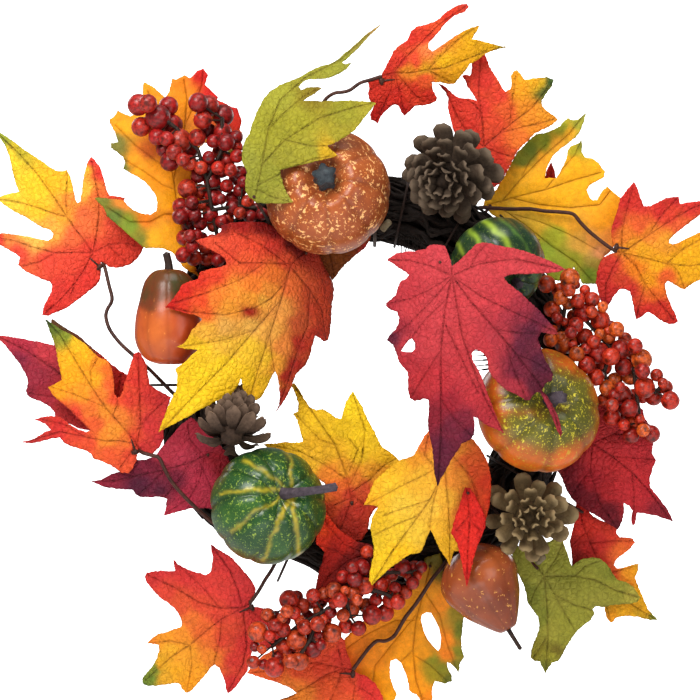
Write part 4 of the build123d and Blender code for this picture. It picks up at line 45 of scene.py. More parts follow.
# leaves: anchor of the curved surface, its slope, bend axis and radius, outline (x, z) and veins in mm; the colour
# notes include painted shade where a leaf lies under a neighbour or along a fold
LEAVES = {
    "leaf_01": {'anchor': (-196.7, -24.4, -61.5), 'slope': (0.05, 0.03), 'axis_deg': 60, 'bend_r': 260, 'outline': [(-271.0, 29.5), (-264.2, 25.4), (-256.8, 20.6), (-245.7, 12.4), (-234.6, 5.1), (-227.3, -0.0), (-222.2, -2.9), (-218.6, -3.3), (-215.0, -1.9), (-212.8, -6.6), (-210.5, -14.6), (-209.1, -22.5), (-207.2, -26.1), (-205.1, -25.4), (-204.0, -16.7), (-203.3, -9.5), (-201.9, -2.3), (-199.8, 4.2), (-197.6, 7.5), (-194.7, 4.9), (-190.4, -0.9), (-188.2, -9.5), (-186.0, -16.8), (-184.5, -20.4), (-178.1, -21.3), (-173.0, -22.2), (-174.4, -28.3), (-170.8, -37.7), (-164.4, -49.2), (-159.4, -57.8), (-161.5, -62.1), (-165.1, -67.2), (-170.9, -71.2), (-178.0, -73.0), (-184.5, -72.1), (-188.1, -69.8), (-190.2, -69.0), (-190.2, -74.5), (-190.9, -81.7), (-193.1, -85.3), (-199.5, -90.3), (-206.7, -96.1), (-213.9, -101.1), (-219.6, -104.0), (-225.4, -106.2), (-228.2, -107.6), (-232.6, -106.9), (-231.1, -99.7), (-228.3, -94.7), (-226.1, -90.3), (-225.4, -85.3), (-226.9, -83.1), (-232.6, -81.0), (-239.2, -78.1), (-244.9, -75.2), (-250.0, -70.8), (-248.6, -65.1), (-253.0, -62.2), (-259.6, -58.5), (-266.2, -54.9), (-272.8, -50.2), (-263.3, -47.9), (-256.0, -48.1), (-245.1, -49.9), (-234.2, -52.1), (-228.4, -53.2), (-225.6, -51.4), (-224.8, -48.5), (-227.0, -45.6), (-232.8, -43.8), (-239.4, -39.8), (-245.2, -36.2), (-254.0, -31.8), (-261.3, -26.7), (-266.5, -23.0), (-261.4, -20.5), (-256.3, -19.1), (-249.8, -17.7), (-252.7, -10.8), (-255.0, -2.0), (-257.4, 8.9), (-260.4, 15.5), (-264.9, 22.1)], 'holes': [], 'hub': (-196.0, -62.2), 'veins': [[(-196.0, -62.2), (-202.5, -52.8), (-209.0, -44.9), (-214.8, -36.2), (-223.5, -23.2), (-236.0, -5.8), (-249.3, 8.8), (-265.7, 24.3)], [(-196.0, -62.2), (-193.1, -47.1), (-191.7, -34.8), (-191.7, -24.0), (-194.7, -8.1), (-197.2, 3.5)], [(-196.0, -62.2), (-185.2, -56.4), (-174.4, -55.0), (-164.4, -57.1)], [(-196.0, -62.2), (-208.9, -61.9), (-223.3, -62.2), (-237.8, -58.6), (-252.3, -53.5), (-267.7, -50.6)], [(-196.0, -62.2), (-202.4, -74.5), (-210.3, -86.0), (-219.6, -96.1), (-229.7, -105.5)], [(-214.8, -36.2), (-223.5, -34.1), (-235.8, -29.7), (-250.4, -25.3), (-263.6, -23.4)], [(-214.8, -36.2), (-215.6, -23.9), (-214.9, -13.1), (-215.0, -3.7)], [(-208.9, -85.3), (-212.5, -93.9)], [(-223.3, -62.2), (-234.1, -68.7), (-245.7, -71.6)], [(-185.2, -56.4), (-178.0, -63.6), (-172.3, -68.7)]], 'colours': [(-265.7, 25.0, 150, 160, 50), (-249.3, 10.3, 190, 170, 40), (-255.1, 5.2, 252, 205, 45), (-238.1, -13.0, 252, 196, 35), (-223.6, -9.5, 248, 180, 30), (-256.3, -22.4, 250, 205, 55), (-234.4, -31.1, 250, 190, 40), (-219.9, -34.8, 245, 160, 45), (-214.2, -13.1, 250, 185, 40), (-211.2, -24.0, 242, 140, 50), (-202.7, -0.8, 250, 185, 50), (-196.2, 4.9, 228, 60, 50), (-191.1, -3.7, 228, 58, 45), (-201.9, -16.7, 250, 180, 55), (-192.5, -20.4, 238, 110, 50), (-201.8, -34.8, 236, 105, 55), (-183.8, -24.0, 230, 75, 50), (-176.6, -38.4, 226, 70, 50), (-165.8, -54.9, 222, 60, 45), (-180.2, -63.6, 224, 62, 45), (-209.0, -49.2, 236, 100, 55), (-227.0, -42.7, 246, 165, 60), (-241.5, -49.9, 248, 190, 80), (-256.0, -49.9, 240, 130, 60), (-266.9, -51.3, 222, 55, 45), (-248.7, -61.5, 226, 70, 50), (-226.9, -68.7, 228, 70, 50), (-212.5, -67.3, 226, 68, 48), (-198.1, -61.5, 222, 62, 45), (-219.7, -88.9, 220, 55, 45), (-226.8, -104.7, 214, 48, 40), (-201.7, -81.7, 220, 52, 42), (-194.5, -70.9, 222, 58, 42)]},
    "leaf_02": {'anchor': (-143.8, -32.4, -2.7), 'slope': (0.03, 0.27), 'axis_deg': 90, 'bend_r': 300, 'outline': [(-178.2, 40.7), (-175.2, 38.8), (-169.4, 36.6), (-164.4, 38.1), (-161.6, 44.6), (-160.2, 51.9), (-160.6, 57.1), (-159.9, 61.5), (-156.7, 60.0), (-151.6, 57.1), (-147.9, 53.4), (-144.3, 50.1), (-141.5, 54.1), (-140.1, 60.0), (-139.4, 64.0), (-135.8, 63.3), (-130.8, 66.6), (-126.4, 64.4), (-121.4, 69.6), (-117.1, 71.4), (-113.5, 66.7), (-115.6, 59.4), (-110.5, 55.0), (-106.1, 50.7), (-106.9, 48.8), (-101.8, 46.3), (-96.0, 43.4), (-92.4, 42.4), (-90.2, 37.6), (-88.8, 32.5), (-90.2, 26.7), (-88.0, 23.4), (-89.4, 15.8), (-93.0, 7.0), (-98.7, 4.8), (-103.0, 11.3), (-108.8, 17.8), (-115.3, 17.0), (-121.0, 11.9), (-123.1, 4.6), (-122.3, -2.6), (-120.1, -13.5), (-117.8, -24.3), (-119.9, -35.2), (-123.4, -49.6), (-124.7, -64.0), (-121.1, -73.4), (-118.2, -79.9), (-125.3, -75.9), (-130.3, -72.7), (-134.0, -66.9), (-138.3, -62.3), (-143.3, -59.8), (-150.5, -59.0), (-156.9, -59.4), (-159.1, -58.3), (-163.4, -54.7), (-170.0, -48.9), (-176.5, -43.2), (-185.2, -35.9), (-187.5, -30.1), (-192.6, -25.4), (-194.1, -22.9), (-190.4, -22.5), (-181.0, -23.6), (-173.1, -24.7), (-170.9, -28.0), (-166.5, -31.6), (-160.1, -34.2), (-154.3, -34.9), (-150.0, -32.3), (-149.0, -27.3), (-150.1, -22.2), (-153.0, -17.2), (-158.1, -11.4), (-163.2, -7.7), (-169.0, -4.8), (-174.1, -1.9), (-172.7, 2.4), (-174.2, 6.8), (-178.5, 10.4), (-182.9, 13.4), (-183.0, 16.6), (-177.9, 17.7), (-180.1, 24.3), (-183.9, 31.6), (-184.6, 33.8), (-181.0, 35.9)], 'holes': [], 'hub': (-121.0, -74.8), 'veins': [[(-120.3, -76.3), (-129.1, -53.3), (-134.3, -31.6), (-137.3, -9.9), (-141.8, 11.9), (-147.7, 30.1), (-156.6, 54.1)], [(-137.3, -9.9), (-133.2, 11.9), (-129.7, 30.1), (-128.4, 48.3), (-130.7, 63.0)], [(-129.7, 30.1), (-122.7, 44.7), (-117.7, 59.4), (-117.1, 68.9)], [(-138.8, -4.1), (-151.1, 4.6), (-165.6, 15.5), (-180.2, 30.1)], [(-132.8, -35.2), (-143.5, -34.5), (-154.2, -40.3), (-168.6, -40.3), (-184.6, -30.1)], [(-135.8, -17.1), (-145.2, -13.5), (-158.2, -4.1), (-172.7, 4.6)]], 'colours': [(-176.7, 38.8, 230, 150, 20), (-158.8, 55.6, 240, 150, 20), (-158.6, 41.0, 246, 160, 20), (-133.6, 62.9, 236, 130, 20), (-130.6, 48.3, 235, 140, 20), (-117.8, 66.7, 205, 30, 25), (-110.5, 52.1, 208, 35, 28), (-93.9, 41.2, 190, 30, 25), (-93.1, 30.3, 200, 40, 25), (-90.2, 23.0, 236, 120, 30), (-98.7, 12.0, 150, 130, 40), (-173.0, 30.1, 244, 160, 15), (-179.3, 15.5, 120, 115, 45), (-173.4, 1.0, 105, 110, 40), (-165.5, 4.6, 240, 150, 15), (-154.8, 11.9, 205, 95, 25), (-154.6, -2.7, 240, 145, 15), (-161.8, -4.1, 246, 160, 20), (-143.8, -9.9, 244, 150, 15), (-133.1, 1.0, 236, 140, 20), (-126.0, 11.9, 238, 140, 20), (-140.1, -24.4, 244, 158, 12), (-125.7, -24.4, 246, 165, 15), (-129.2, -38.8, 220, 140, 15), (-190.4, -24.3, 120, 120, 40), (-179.5, -35.2, 95, 115, 40), (-168.6, -42.4, 120, 140, 35), (-161.3, -53.3, 120, 120, 30), (-172.4, -25.8, 236, 130, 40), (-157.9, -38.8, 225, 120, 20), (-150.5, -53.3, 244, 170, 20), (-139.8, -49.7, 244, 160, 12), (-129.0, -60.5, 240, 160, 12), (-120.3, -76.3, 232, 145, 15), (-136.4, -35.2, 222, 125, 15)], 'crackle': 0.25},
    "leaf_03": {'anchor': (-219.2, -35.4, -150.1), 'slope': (-0.03, 0.0), 'axis_deg': 45, 'bend_r': 260, 'outline': [(-270.0, -120.6), (-255.4, -122.4), (-244.5, -124.2), (-233.7, -126.3), (-223.5, -128.9), (-224.3, -122.0), (-225.8, -112.0), (-225.1, -109.5), (-217.8, -114.8), (-204.8, -122.4), (-195.4, -131.0), (-187.5, -137.1), (-181.8, -142.5), (-176.1, -146.8), (-170.4, -150.1), (-171.1, -157.3), (-173.3, -165.9), (-176.9, -170.9), (-182.0, -181.0), (-190.6, -188.2), (-197.1, -190.3), (-206.4, -188.2), (-214.9, -183.9), (-222.8, -179.5), (-222.8, -177.4), (-226.4, -173.1), (-232.1, -169.5), (-239.3, -167.3), (-242.9, -164.4), (-243.7, -160.8), (-242.2, -155.8), (-243.7, -150.1), (-248.1, -142.2), (-253.9, -135.0), (-259.7, -127.8), (-266.3, -122.7)], 'holes': [], 'hub': (-181.9, -178.8), 'veins': [[(-181.9, -178.8), (-201.2, -164.4), (-222.8, -146.5), (-244.5, -132.1), (-265.6, -122.0)], [(-201.2, -164.4), (-219.2, -166.6), (-239.3, -163.7)], [(-181.9, -178.8), (-177.6, -164.4), (-175.4, -150.1)], [(-201.2, -164.4), (-204.8, -146.5), (-219.2, -117.7)]], 'colours': [(-266.3, -121.3, 190, 50, 55), (-248.1, -128.5, 175, 42, 60), (-230.0, -132.1, 195, 55, 65), (-248.1, -137.9, 130, 32, 55), (-237.2, -150.1, 150, 38, 55), (-242.2, -162.3, 140, 34, 50), (-230.0, -168.0, 165, 42, 55), (-219.2, -175.2, 180, 48, 50), (-204.9, -182.4, 190, 50, 50), (-183.3, -150.1, 165, 30, 22), (-177.5, -157.3, 175, 32, 25), (-174.7, -164.5, 190, 42, 30), (-219.2, -117.7, 90, 60, 30), (-204.8, -124.9, 100, 50, 30), (-190.4, -153.7, 195, 50, 40)]},
    "leaf_04": {'anchor': (-45.9, -127.6, 1.3), 'slope': (-0.06, 0.1), 'axis_deg': 0, 'bend_r': 130, 'outline': [(12.0, 100.6), (2.0, 93.3), (-10.8, 81.2), (-19.3, 73.7), (-24.9, 70.1), (-32.0, 68.2), (-37.6, 65.7), (-46.1, 60.6), (-53.1, 57.7), (-60.2, 54.8), (-67.2, 50.5), (-71.4, 45.4), (-75.6, 37.5), (-79.0, 29.0), (-81.8, 19.7), (-85.3, 14.1), (-86.7, 7.0), (-86.7, -0.1), (-83.1, -7.1), (-84.5, -14.1), (-84.5, -20.4), (-81.0, -25.3), (-76.8, -28.5), (-68.4, -29.2), (-58.5, -29.2), (-50.8, -28.2), (-54.3, -23.3), (-57.1, -17.7), (-59.2, -10.7), (-59.9, -5.7), (-54.3, -4.3), (-44.5, -2.2), (-34.7, 0.5), (-26.9, 2.3), (-19.2, 4.0), (-24.1, 8.6), (-26.9, 11.1), (-20.6, 13.9), (-13.6, 17.8), (-7.3, 22.4), (-2.4, 28.8), (2.6, 35.2), (7.5, 41.6), (0.5, 42.9), (-10.8, 43.5), (-24.9, 43.1), (-37.5, 43.2), (-43.9, 43.2), (-41.1, 45.4), (-35.5, 48.6), (-30.5, 52.5), (-35.5, 53.5), (-41.1, 52.9), (-45.3, 51.1), (-46.8, 53.7), (-44.0, 57.3), (-39.7, 59.1), (-32.0, 58.9), (-25.6, 59.8), (-18.6, 62.7), (-13.6, 66.0), (-9.4, 71.1), (-14.3, 69.7), (-16.5, 70.8), (-11.5, 75.2), (-3.7, 83.0), (3.4, 91.3)], 'holes': [], 'hub': (-75.4, -19.7), 'veins': [[(-76.8, -22.5), (-72.6, -2.2), (-68.4, 22.5), (-60.1, 44.0), (-42.6, 59.8), (-17.9, 73.0), (7.0, 96.3)], [(-72.6, -2.2), (-56.5, 15.4), (-31.9, 31.0), (-9.4, 38.1), (4.7, 41.3)], [(-75.4, -16.2), (-56.4, -7.1), (-38.9, 1.3), (-22.0, 4.0)], [(-68.4, 22.5), (-56.5, 35.3), (-43.9, 46.1), (-33.4, 51.8)], [(-75.4, -19.7), (-65.6, -24.7), (-54.3, -27.5)], [(-56.5, 15.4), (-38.9, 11.1), (-26.2, 11.1)]], 'colours': [(10.6, 98.7, 184, 153, 82), (-3.7, 83.4, 155, 144, 55), (-14.3, 74.5, 145, 144, 46), (-24.9, 67.1, 150, 148, 46), (-39.0, 58.4, 153, 151, 46), (-60.1, 47.6, 157, 154, 46), (-77.6, 22.6, 155, 151, 41), (-46.0, 29.6, 155, 148, 36), (-14.3, 35.2, 147, 142, 36), (3.3, 40.9, 164, 153, 41), (-17.8, 18.9, 155, 144, 36), (-24.8, 6.9, 198, 157, 27), (-19.9, 4.0, 218, 157, 23), (-38.9, 8.3, 155, 148, 41), (-56.4, 1.3, 145, 139, 38), (-67.0, -9.2, 140, 139, 41), (-77.5, -23.2, 135, 135, 41), (-52.9, -26.8, 160, 153, 55), (-63.5, 22.5, 145, 140, 34), (-39.0, 49.7, 135, 117, 23), (-33.3, 51.1, 126, 103, 20), (-85.3, 1.4, 145, 144, 46)]},
    "leaf_05": {'anchor': (46.5, -47.4, 74.2), 'slope': (0.05, -0.08), 'axis_deg': 25, 'bend_r': 90, 'outline': [(11.4, 64.5), (14.3, 69.9), (17.9, 77.1), (20.0, 81.4), (22.9, 85.0), (27.2, 87.9), (30.8, 90.7), (32.9, 96.5), (36.5, 99.4), (42.9, 100.8), (48.7, 103.0), (53.7, 105.8), (58.0, 110.2), (62.3, 113.0), (68.0, 115.6), (73.1, 115.9), (74.5, 113.7), (70.9, 110.1), (64.4, 107.6), (60.9, 105.1), (56.6, 100.8), (53.0, 95.7), (48.7, 91.4), (45.8, 87.8), (45.4, 84.2), (47.9, 81.9), (51.5, 83.9), (57.3, 87.8), (64.4, 92.8), (70.2, 96.4), (75.9, 98.9), (82.3, 100.7), (80.2, 96.4), (76.6, 90.7), (80.9, 90.0), (85.9, 88.6), (91.7, 87.2), (96.7, 86.0), (102.5, 85.1), (96.7, 83.9), (91.0, 82.2), (86.0, 80.1), (81.0, 75.8), (75.2, 72.9), (72.4, 68.7), (68.1, 63.7), (64.5, 59.0), (59.5, 58.7), (53.7, 60.0), (48.0, 59.6), (48.7, 54.3), (51.6, 49.4), (50.9, 46.6), (46.6, 44.4), (40.9, 43.3), (35.8, 42.9), (32.2, 39.4), (27.9, 35.8), (25.8, 39.3), (24.3, 42.9), (20.7, 43.9), (16.4, 40.7), (11.4, 35.7), (9.3, 30.0), (7.1, 32.1), (4.3, 32.8), (3.5, 36.4), (5.7, 40.6), (7.1, 44.2), (3.5, 46.3), (2.1, 50.6), (2.8, 55.6), (2.1, 59.9), (7.1, 62.0)], 'holes': [], 'hub': (20.7, 66.3), 'veins': [[(12.8, 64.5), (20.7, 66.3), (32.2, 66.3), (45.1, 68.5), (57.3, 70.0), (71.6, 75.7), (86.0, 81.5), (100.3, 85.0)], [(20.7, 66.3), (27.2, 75.6), (35.8, 83.5), (45.1, 92.9), (53.7, 101.5), (71.6, 113.7)], [(22.2, 66.3), (28.6, 59.2), (35.8, 50.7), (42.3, 45.1)], [(19.3, 65.6), (18.6, 54.2), (12.9, 41.4), (8.6, 32.8)], [(45.1, 68.5), (53.7, 77.8), (66.6, 90.0), (80.9, 100.0)], [(45.1, 68.5), (53.7, 63.6), (62.4, 59.4)], [(21.4, 65.6), (25.0, 52.8), (27.9, 37.9)], [(17.9, 65.6), (10.7, 58.4), (3.5, 54.1)]], 'colours': [(73.8, 114.4, 200, 55, 40), (60.9, 105.8, 212, 50, 30), (42.9, 93.6, 215, 55, 32), (33.6, 91.4, 205, 45, 30), (53.7, 97.2, 225, 75, 35), (45.1, 82.8, 240, 120, 60), (35.8, 75.6, 225, 70, 40), (25.0, 75.6, 212, 52, 35), (17.9, 69.9, 205, 45, 32), (5.0, 57.7, 205, 45, 30), (10.7, 36.4, 200, 35, 28), (21.4, 50.6, 208, 42, 28), (35.8, 54.3, 210, 50, 30), (46.6, 50.8, 208, 45, 28), (42.9, 61.4, 222, 80, 35), (32.2, 68.5, 222, 130, 30), (42.9, 69.9, 218, 150, 25), (57.3, 74.3, 224, 165, 15), (75.2, 91.4, 222, 160, 12), (80.9, 95.7, 215, 155, 20), (89.5, 84.4, 218, 160, 12), (101.0, 85.1, 170, 140, 30), (71.6, 75.7, 222, 158, 12), (64.5, 65.1, 218, 150, 12), (57.3, 62.9, 215, 140, 18), (25.1, 40.0, 195, 35, 28)]},
    "leaf_06": {'anchor': (89.8, -33.4, 29.7), 'slope': (0.04, -0.05), 'axis_deg': 40, 'bend_r': 240, 'outline': [(52.5, 59.9), (57.5, 57.7), (61.8, 53.4), (66.8, 49.4), (70.4, 48.7), (75.5, 48.7), (80.5, 46.9), (76.9, 52.7), (73.3, 57.7), (71.9, 62.0), (69.7, 64.9), (72.6, 66.4), (75.5, 64.9), (76.9, 70.7), (76.9, 76.5), (79.8, 82.9), (84.1, 86.5), (87.0, 79.3), (89.8, 71.4), (94.2, 64.1), (97.0, 59.8), (98.5, 56.2), (101.3, 53.7), (104.2, 55.5), (105.6, 59.8), (104.9, 64.9), (107.1, 68.5), (109.2, 69.5), (112.1, 66.3), (115.0, 62.0), (120.0, 63.1), (125.8, 63.8), (131.5, 64.2), (135.9, 62.0), (134.4, 57.7), (130.9, 52.7), (127.3, 47.7), (127.3, 43.4), (130.9, 39.8), (135.2, 37.0), (138.9, 34.1), (135.3, 30.5), (130.9, 27.6), (125.9, 25.5), (121.6, 23.3), (117.3, 18.3), (113.0, 14.7), (109.4, 10.4), (106.5, 4.6), (103.6, -1.1), (100.0, -6.9), (97.2, -11.9), (93.6, -14.8), (89.2, -14.1), (86.3, -10.5), (81.3, -4.1), (78.4, 4.5), (74.0, 11.7), (68.3, 18.1), (64.0, 24.6), (62.5, 28.9), (61.1, 34.7), (59.7, 41.9), (59.7, 49.1), (57.5, 53.4)], 'holes': [], 'hub': (85.6, 13.9), 'veins': [[(81.3, -2.6), (85.6, 13.9), (84.8, 29.6), (81.9, 51.2), (82.7, 76.4)], [(85.6, 13.9), (97.1, 23.9), (107.8, 32.6), (120.1, 41.9), (134.4, 59.9)], [(85.6, 13.9), (75.5, 21.0), (66.8, 34.7), (60.4, 49.1), (54.6, 58.5)], [(85.6, 13.9), (95.7, 9.6), (106.5, 6.8)], [(85.6, 12.4), (91.4, 1.0), (94.3, -9.7)], [(97.1, 23.9), (111.5, 27.6), (124.4, 30.5), (136.7, 34.1)], [(104.2, 29.7), (105.7, 44.0), (108.5, 65.6)], [(84.1, 36.8), (79.1, 44.0), (71.9, 48.3)]], 'colours': [(53.9, 59.2, 190, 45, 35), (64.7, 47.6, 212, 52, 38), (85.6, 80.0, 205, 45, 32), (86.2, 62.0, 214, 52, 40), (97.0, 51.2, 218, 60, 40), (82.6, 40.4, 216, 55, 40), (93.4, 29.7, 222, 70, 40), (75.5, 26.1, 215, 52, 38), (85.6, 11.7, 215, 60, 40), (97.1, 4.6, 212, 52, 35), (93.6, -9.7, 212, 48, 35), (81.3, 4.5, 205, 40, 32), (110.0, 65.6, 240, 160, 30), (111.4, 54.8, 240, 155, 25), (122.2, 60.6, 235, 165, 25), (133.0, 60.6, 70, 95, 40), (129.4, 53.4, 95, 105, 40), (125.8, 59.1, 200, 160, 30), (115.0, 40.5, 238, 140, 35), (133.1, 34.8, 240, 150, 35), (122.3, 27.6, 240, 140, 35), (111.5, 19.0, 236, 115, 40), (102.8, 40.4, 228, 90, 40), (106.5, 8.2, 225, 80, 40)]},
    "leaf_07": {'anchor': (140.9, -15.4, -23.8), 'slope': (0.02, 0.0), 'axis_deg': 60, 'bend_r': 320, 'outline': [(159.7, 39.4), (158.2, 32.6), (156.0, 26.8), (152.4, 21.7), (148.1, 18.1), (140.9, 13.1), (135.8, 8.0), (132.9, 3.0), (130.8, -2.1), (130.0, -7.9), (138.0, -7.9), (140.9, -3.6), (145.2, 5.1), (146.6, 12.3), (148.8, 15.2), (153.1, 16.7), (156.8, 19.6), (156.8, 10.9), (158.9, 6.9), (164.0, 6.6), (168.3, 3.7), (173.4, -3.5), (172.7, -7.1), (167.6, -10.0), (162.5, -12.9), (160.4, -16.5), (161.8, -20.9), (164.7, -24.1), (167.6, -23.7), (170.5, -18.7), (172.7, -15.8), (175.6, -14.0), (178.5, -17.2), (185.1, -22.2), (185.8, -34.5), (183.7, -49.0), (178.6, -59.8), (172.1, -65.6), (169.2, -72.8), (167.1, -84.4), (162.7, -84.4), (157.6, -84.4), (154.0, -78.6), (151.0, -72.1), (148.1, -77.2), (140.9, -82.3), (133.7, -81.5), (126.4, -71.4), (117.0, -59.2), (108.3, -46.9), (99.7, -39.7), (91.1, -33.9), (85.3, -27.3), (87.5, -22.3), (91.8, -20.1), (95.4, -15.0), (101.2, -5.7), (107.0, 5.2), (109.9, 11.0), (112.0, 12.4), (117.8, 18.9), (123.6, 24.0), (130.1, 24.7), (135.8, 26.8), (140.9, 29.7), (144.5, 34.0), (146.7, 35.5), (149.6, 34.0), (153.9, 34.4)], 'holes': [], 'hub': (93.2, -28.8), 'veins': [[(88.9, -27.3), (112.0, -20.9), (130.0, -16.6), (151.7, -9.3), (169.8, -4.2)], [(97.6, -25.9), (112.0, -9.3), (130.0, 8.7), (148.1, 24.6), (158.9, 38.4)], [(104.8, -22.3), (126.4, -27.4), (148.1, -29.5), (169.8, -27.3), (177.1, -17.9)], [(97.6, -29.5), (115.6, -41.8), (133.6, -56.3), (151.8, -68.5), (164.2, -82.2)], [(130.0, -16.6), (142.3, -2.1), (151.7, 8.7), (156.0, 18.1)], [(108.4, -34.6), (126.4, -39.7), (148.1, -49.0), (167.7, -59.8)], [(112.0, -9.3), (119.2, 5.2), (130.1, 16.0)]], 'colours': [(158.9, 38.4, 150, 150, 60), (153.9, 30.4, 160, 155, 45), (148.1, 23.2, 225, 160, 30), (140.9, 28.3, 150, 150, 35), (130.1, 19.6, 130, 140, 30), (119.2, 13.8, 105, 120, 30), (112.0, 5.2, 120, 130, 35), (140.9, 16.0, 240, 165, 40), (130.0, 5.1, 245, 165, 30), (115.6, -3.5, 246, 175, 30), (101.2, -16.5, 248, 175, 25), (126.4, -9.3, 248, 172, 22), (97.6, -25.9, 246, 180, 35), (112.0, -20.9, 246, 175, 25), (155.3, 17.4, 140, 140, 40), (150.3, 12.3, 180, 165, 35), (149.5, 1.5, 248, 172, 20), (155.3, -9.3, 248, 170, 18), (169.8, -2.1, 248, 175, 25), (140.9, -23.8, 248, 172, 20), (130.0, -27.4, 246, 170, 22), (162.6, -20.1, 248, 170, 18), (173.4, -16.5, 246, 165, 30), (180.7, -30.9, 246, 160, 20), (169.8, -38.2, 246, 158, 25), (180.8, -52.6, 244, 150, 60), (162.6, -52.6, 240, 160, 70), (151.7, -41.8, 242, 165, 40), (140.9, -38.2, 240, 170, 35), (122.8, -41.8, 225, 175, 45), (137.2, -49.1, 170, 170, 40), (130.0, -59.9, 150, 165, 45), (140.9, -67.1, 150, 160, 42), (151.8, -67.1, 160, 160, 40), (162.7, -77.9, 125, 150, 45), (166.3, -68.5, 170, 150, 60), (169.9, -63.4, 225, 150, 90), (148.2, -81.5, 150, 160, 45), (155.4, -56.2, 215, 160, 60), (104.8, -34.6, 240, 185, 60), (115.6, -46.9, 210, 175, 60)], 'crackle': 0.25},
    "leaf_08": {'anchor': (201.6, -27.4, -63.7), 'slope': (0.06, 0.0), 'axis_deg': 80, 'bend_r': 220, 'outline': [(193.7, -10.8), (196.6, -16.9), (198.7, -23.4), (200.9, -28.4), (205.2, -28.4), (211.0, -25.5), (216.8, -22.6), (226.2, -21.5), (226.9, -26.9), (234.2, -25.4), (241.5, -24.7), (250.3, -24.6), (245.9, -31.1), (241.5, -34.8), (235.7, -39.1), (229.1, -44.2), (223.3, -48.5), (219.0, -52.9), (219.0, -55.0), (221.9, -56.1), (227.0, -54.3), (234.2, -50.7), (241.5, -47.0), (250.3, -44.1), (258.4, -41.2), (254.8, -48.4), (251.8, -52.7), (257.7, -57.0), (263.7, -64.2), (256.3, -67.1), (251.1, -70.0), (252.6, -75.8), (250.4, -81.6), (241.6, -81.6), (236.5, -83.8), (232.8, -86.7), (229.9, -88.5), (227.0, -87.4), (221.2, -83.8), (217.5, -82.4), (216.1, -85.3), (217.6, -92.5), (220.5, -99.7), (224.1, -106.9), (225.6, -111.2), (223.4, -113.4), (218.3, -113.4), (212.5, -110.5), (206.7, -106.2), (203.8, -104.7), (198.7, -108.3), (195.1, -110.1), (193.7, -103.3), (192.2, -96.1), (190.8, -90.3), (187.2, -88.2), (183.6, -88.2), (179.2, -93.2), (176.4, -98.3), (173.5, -102.6), (171.3, -100.4), (169.2, -95.4), (167.8, -90.3), (166.3, -83.9), (167.1, -75.9), (169.2, -68.7), (172.1, -65.1), (177.1, -62.6), (181.4, -61.5), (178.6, -56.5), (177.1, -49.3), (177.9, -42.1), (180.7, -34.9), (182.2, -29.1), (183.6, -23.4), (187.9, -17.6)], 'holes': [], 'hub': (185.0, -62.3), 'veins': [[(182.1, -61.5), (185.0, -62.3), (198.0, -53.6), (208.8, -46.4), (223.3, -37.0), (237.9, -29.0), (248.1, -25.4)], [(185.0, -62.3), (203.8, -66.6), (218.3, -70.2), (234.3, -71.6), (250.4, -68.6), (262.2, -64.2)], [(185.0, -62.3), (195.1, -71.6), (202.3, -85.3), (212.5, -98.2), (222.7, -110.5)], [(185.0, -62.3), (178.5, -73.1), (173.5, -85.3), (172.8, -99.7)], [(185.0, -62.3), (185.0, -47.1), (188.6, -31.3), (193.0, -14.0)], [(218.3, -69.4), (228.4, -60.0), (241.6, -52.8), (256.2, -42.6)], [(205.2, -47.9), (213.9, -34.9), (224.8, -23.3)], [(202.3, -85.3), (198.0, -97.5), (195.8, -108.3)], [(221.2, -70.1), (227.0, -78.1), (229.9, -86.7)]], 'colours': [(193.7, -12.6, 200, 40, 35), (187.2, -24.1, 205, 45, 38), (198.0, -27.7, 205, 48, 38), (180.0, -42.1, 195, 42, 35), (187.2, -49.3, 225, 120, 35), (198.0, -42.1, 225, 90, 40), (190.8, -56.5, 230, 145, 30), (205.2, -49.3, 235, 130, 40), (212.4, -31.3, 205, 45, 38), (225.5, -22.6, 190, 38, 35), (219.7, -34.9, 215, 60, 40), (234.2, -27.6, 215, 50, 42), (245.2, -27.6, 205, 45, 40), (227.0, -44.2, 225, 90, 45), (216.1, -55.0, 235, 150, 40), (201.6, -60.1, 235, 160, 25), (234.3, -56.4, 240, 165, 20), (252.5, -45.5, 240, 165, 25), (241.6, -65.8, 240, 170, 20), (260.0, -64.2, 235, 160, 20), (227.0, -68.7, 238, 168, 15), (234.3, -80.2, 238, 165, 20), (229.9, -87.4, 220, 130, 25), (212.5, -70.9, 240, 165, 20), (205.2, -81.7, 238, 150, 20), (194.4, -74.5, 235, 125, 25), (208.8, -92.5, 225, 100, 30), (216.1, -78.1, 225, 90, 35), (213.9, -99.7, 200, 45, 32), (222.7, -110.5, 195, 40, 32), (205.2, -101.9, 198, 42, 32), (196.5, -108.3, 190, 35, 32), (190.8, -88.9, 200, 45, 35), (177.8, -70.9, 200, 50, 38), (170.6, -78.1, 195, 42, 35), (172.8, -99.7, 180, 35, 35), (177.8, -88.9, 195, 42, 35), (187.2, -81.7, 205, 60, 35)]},
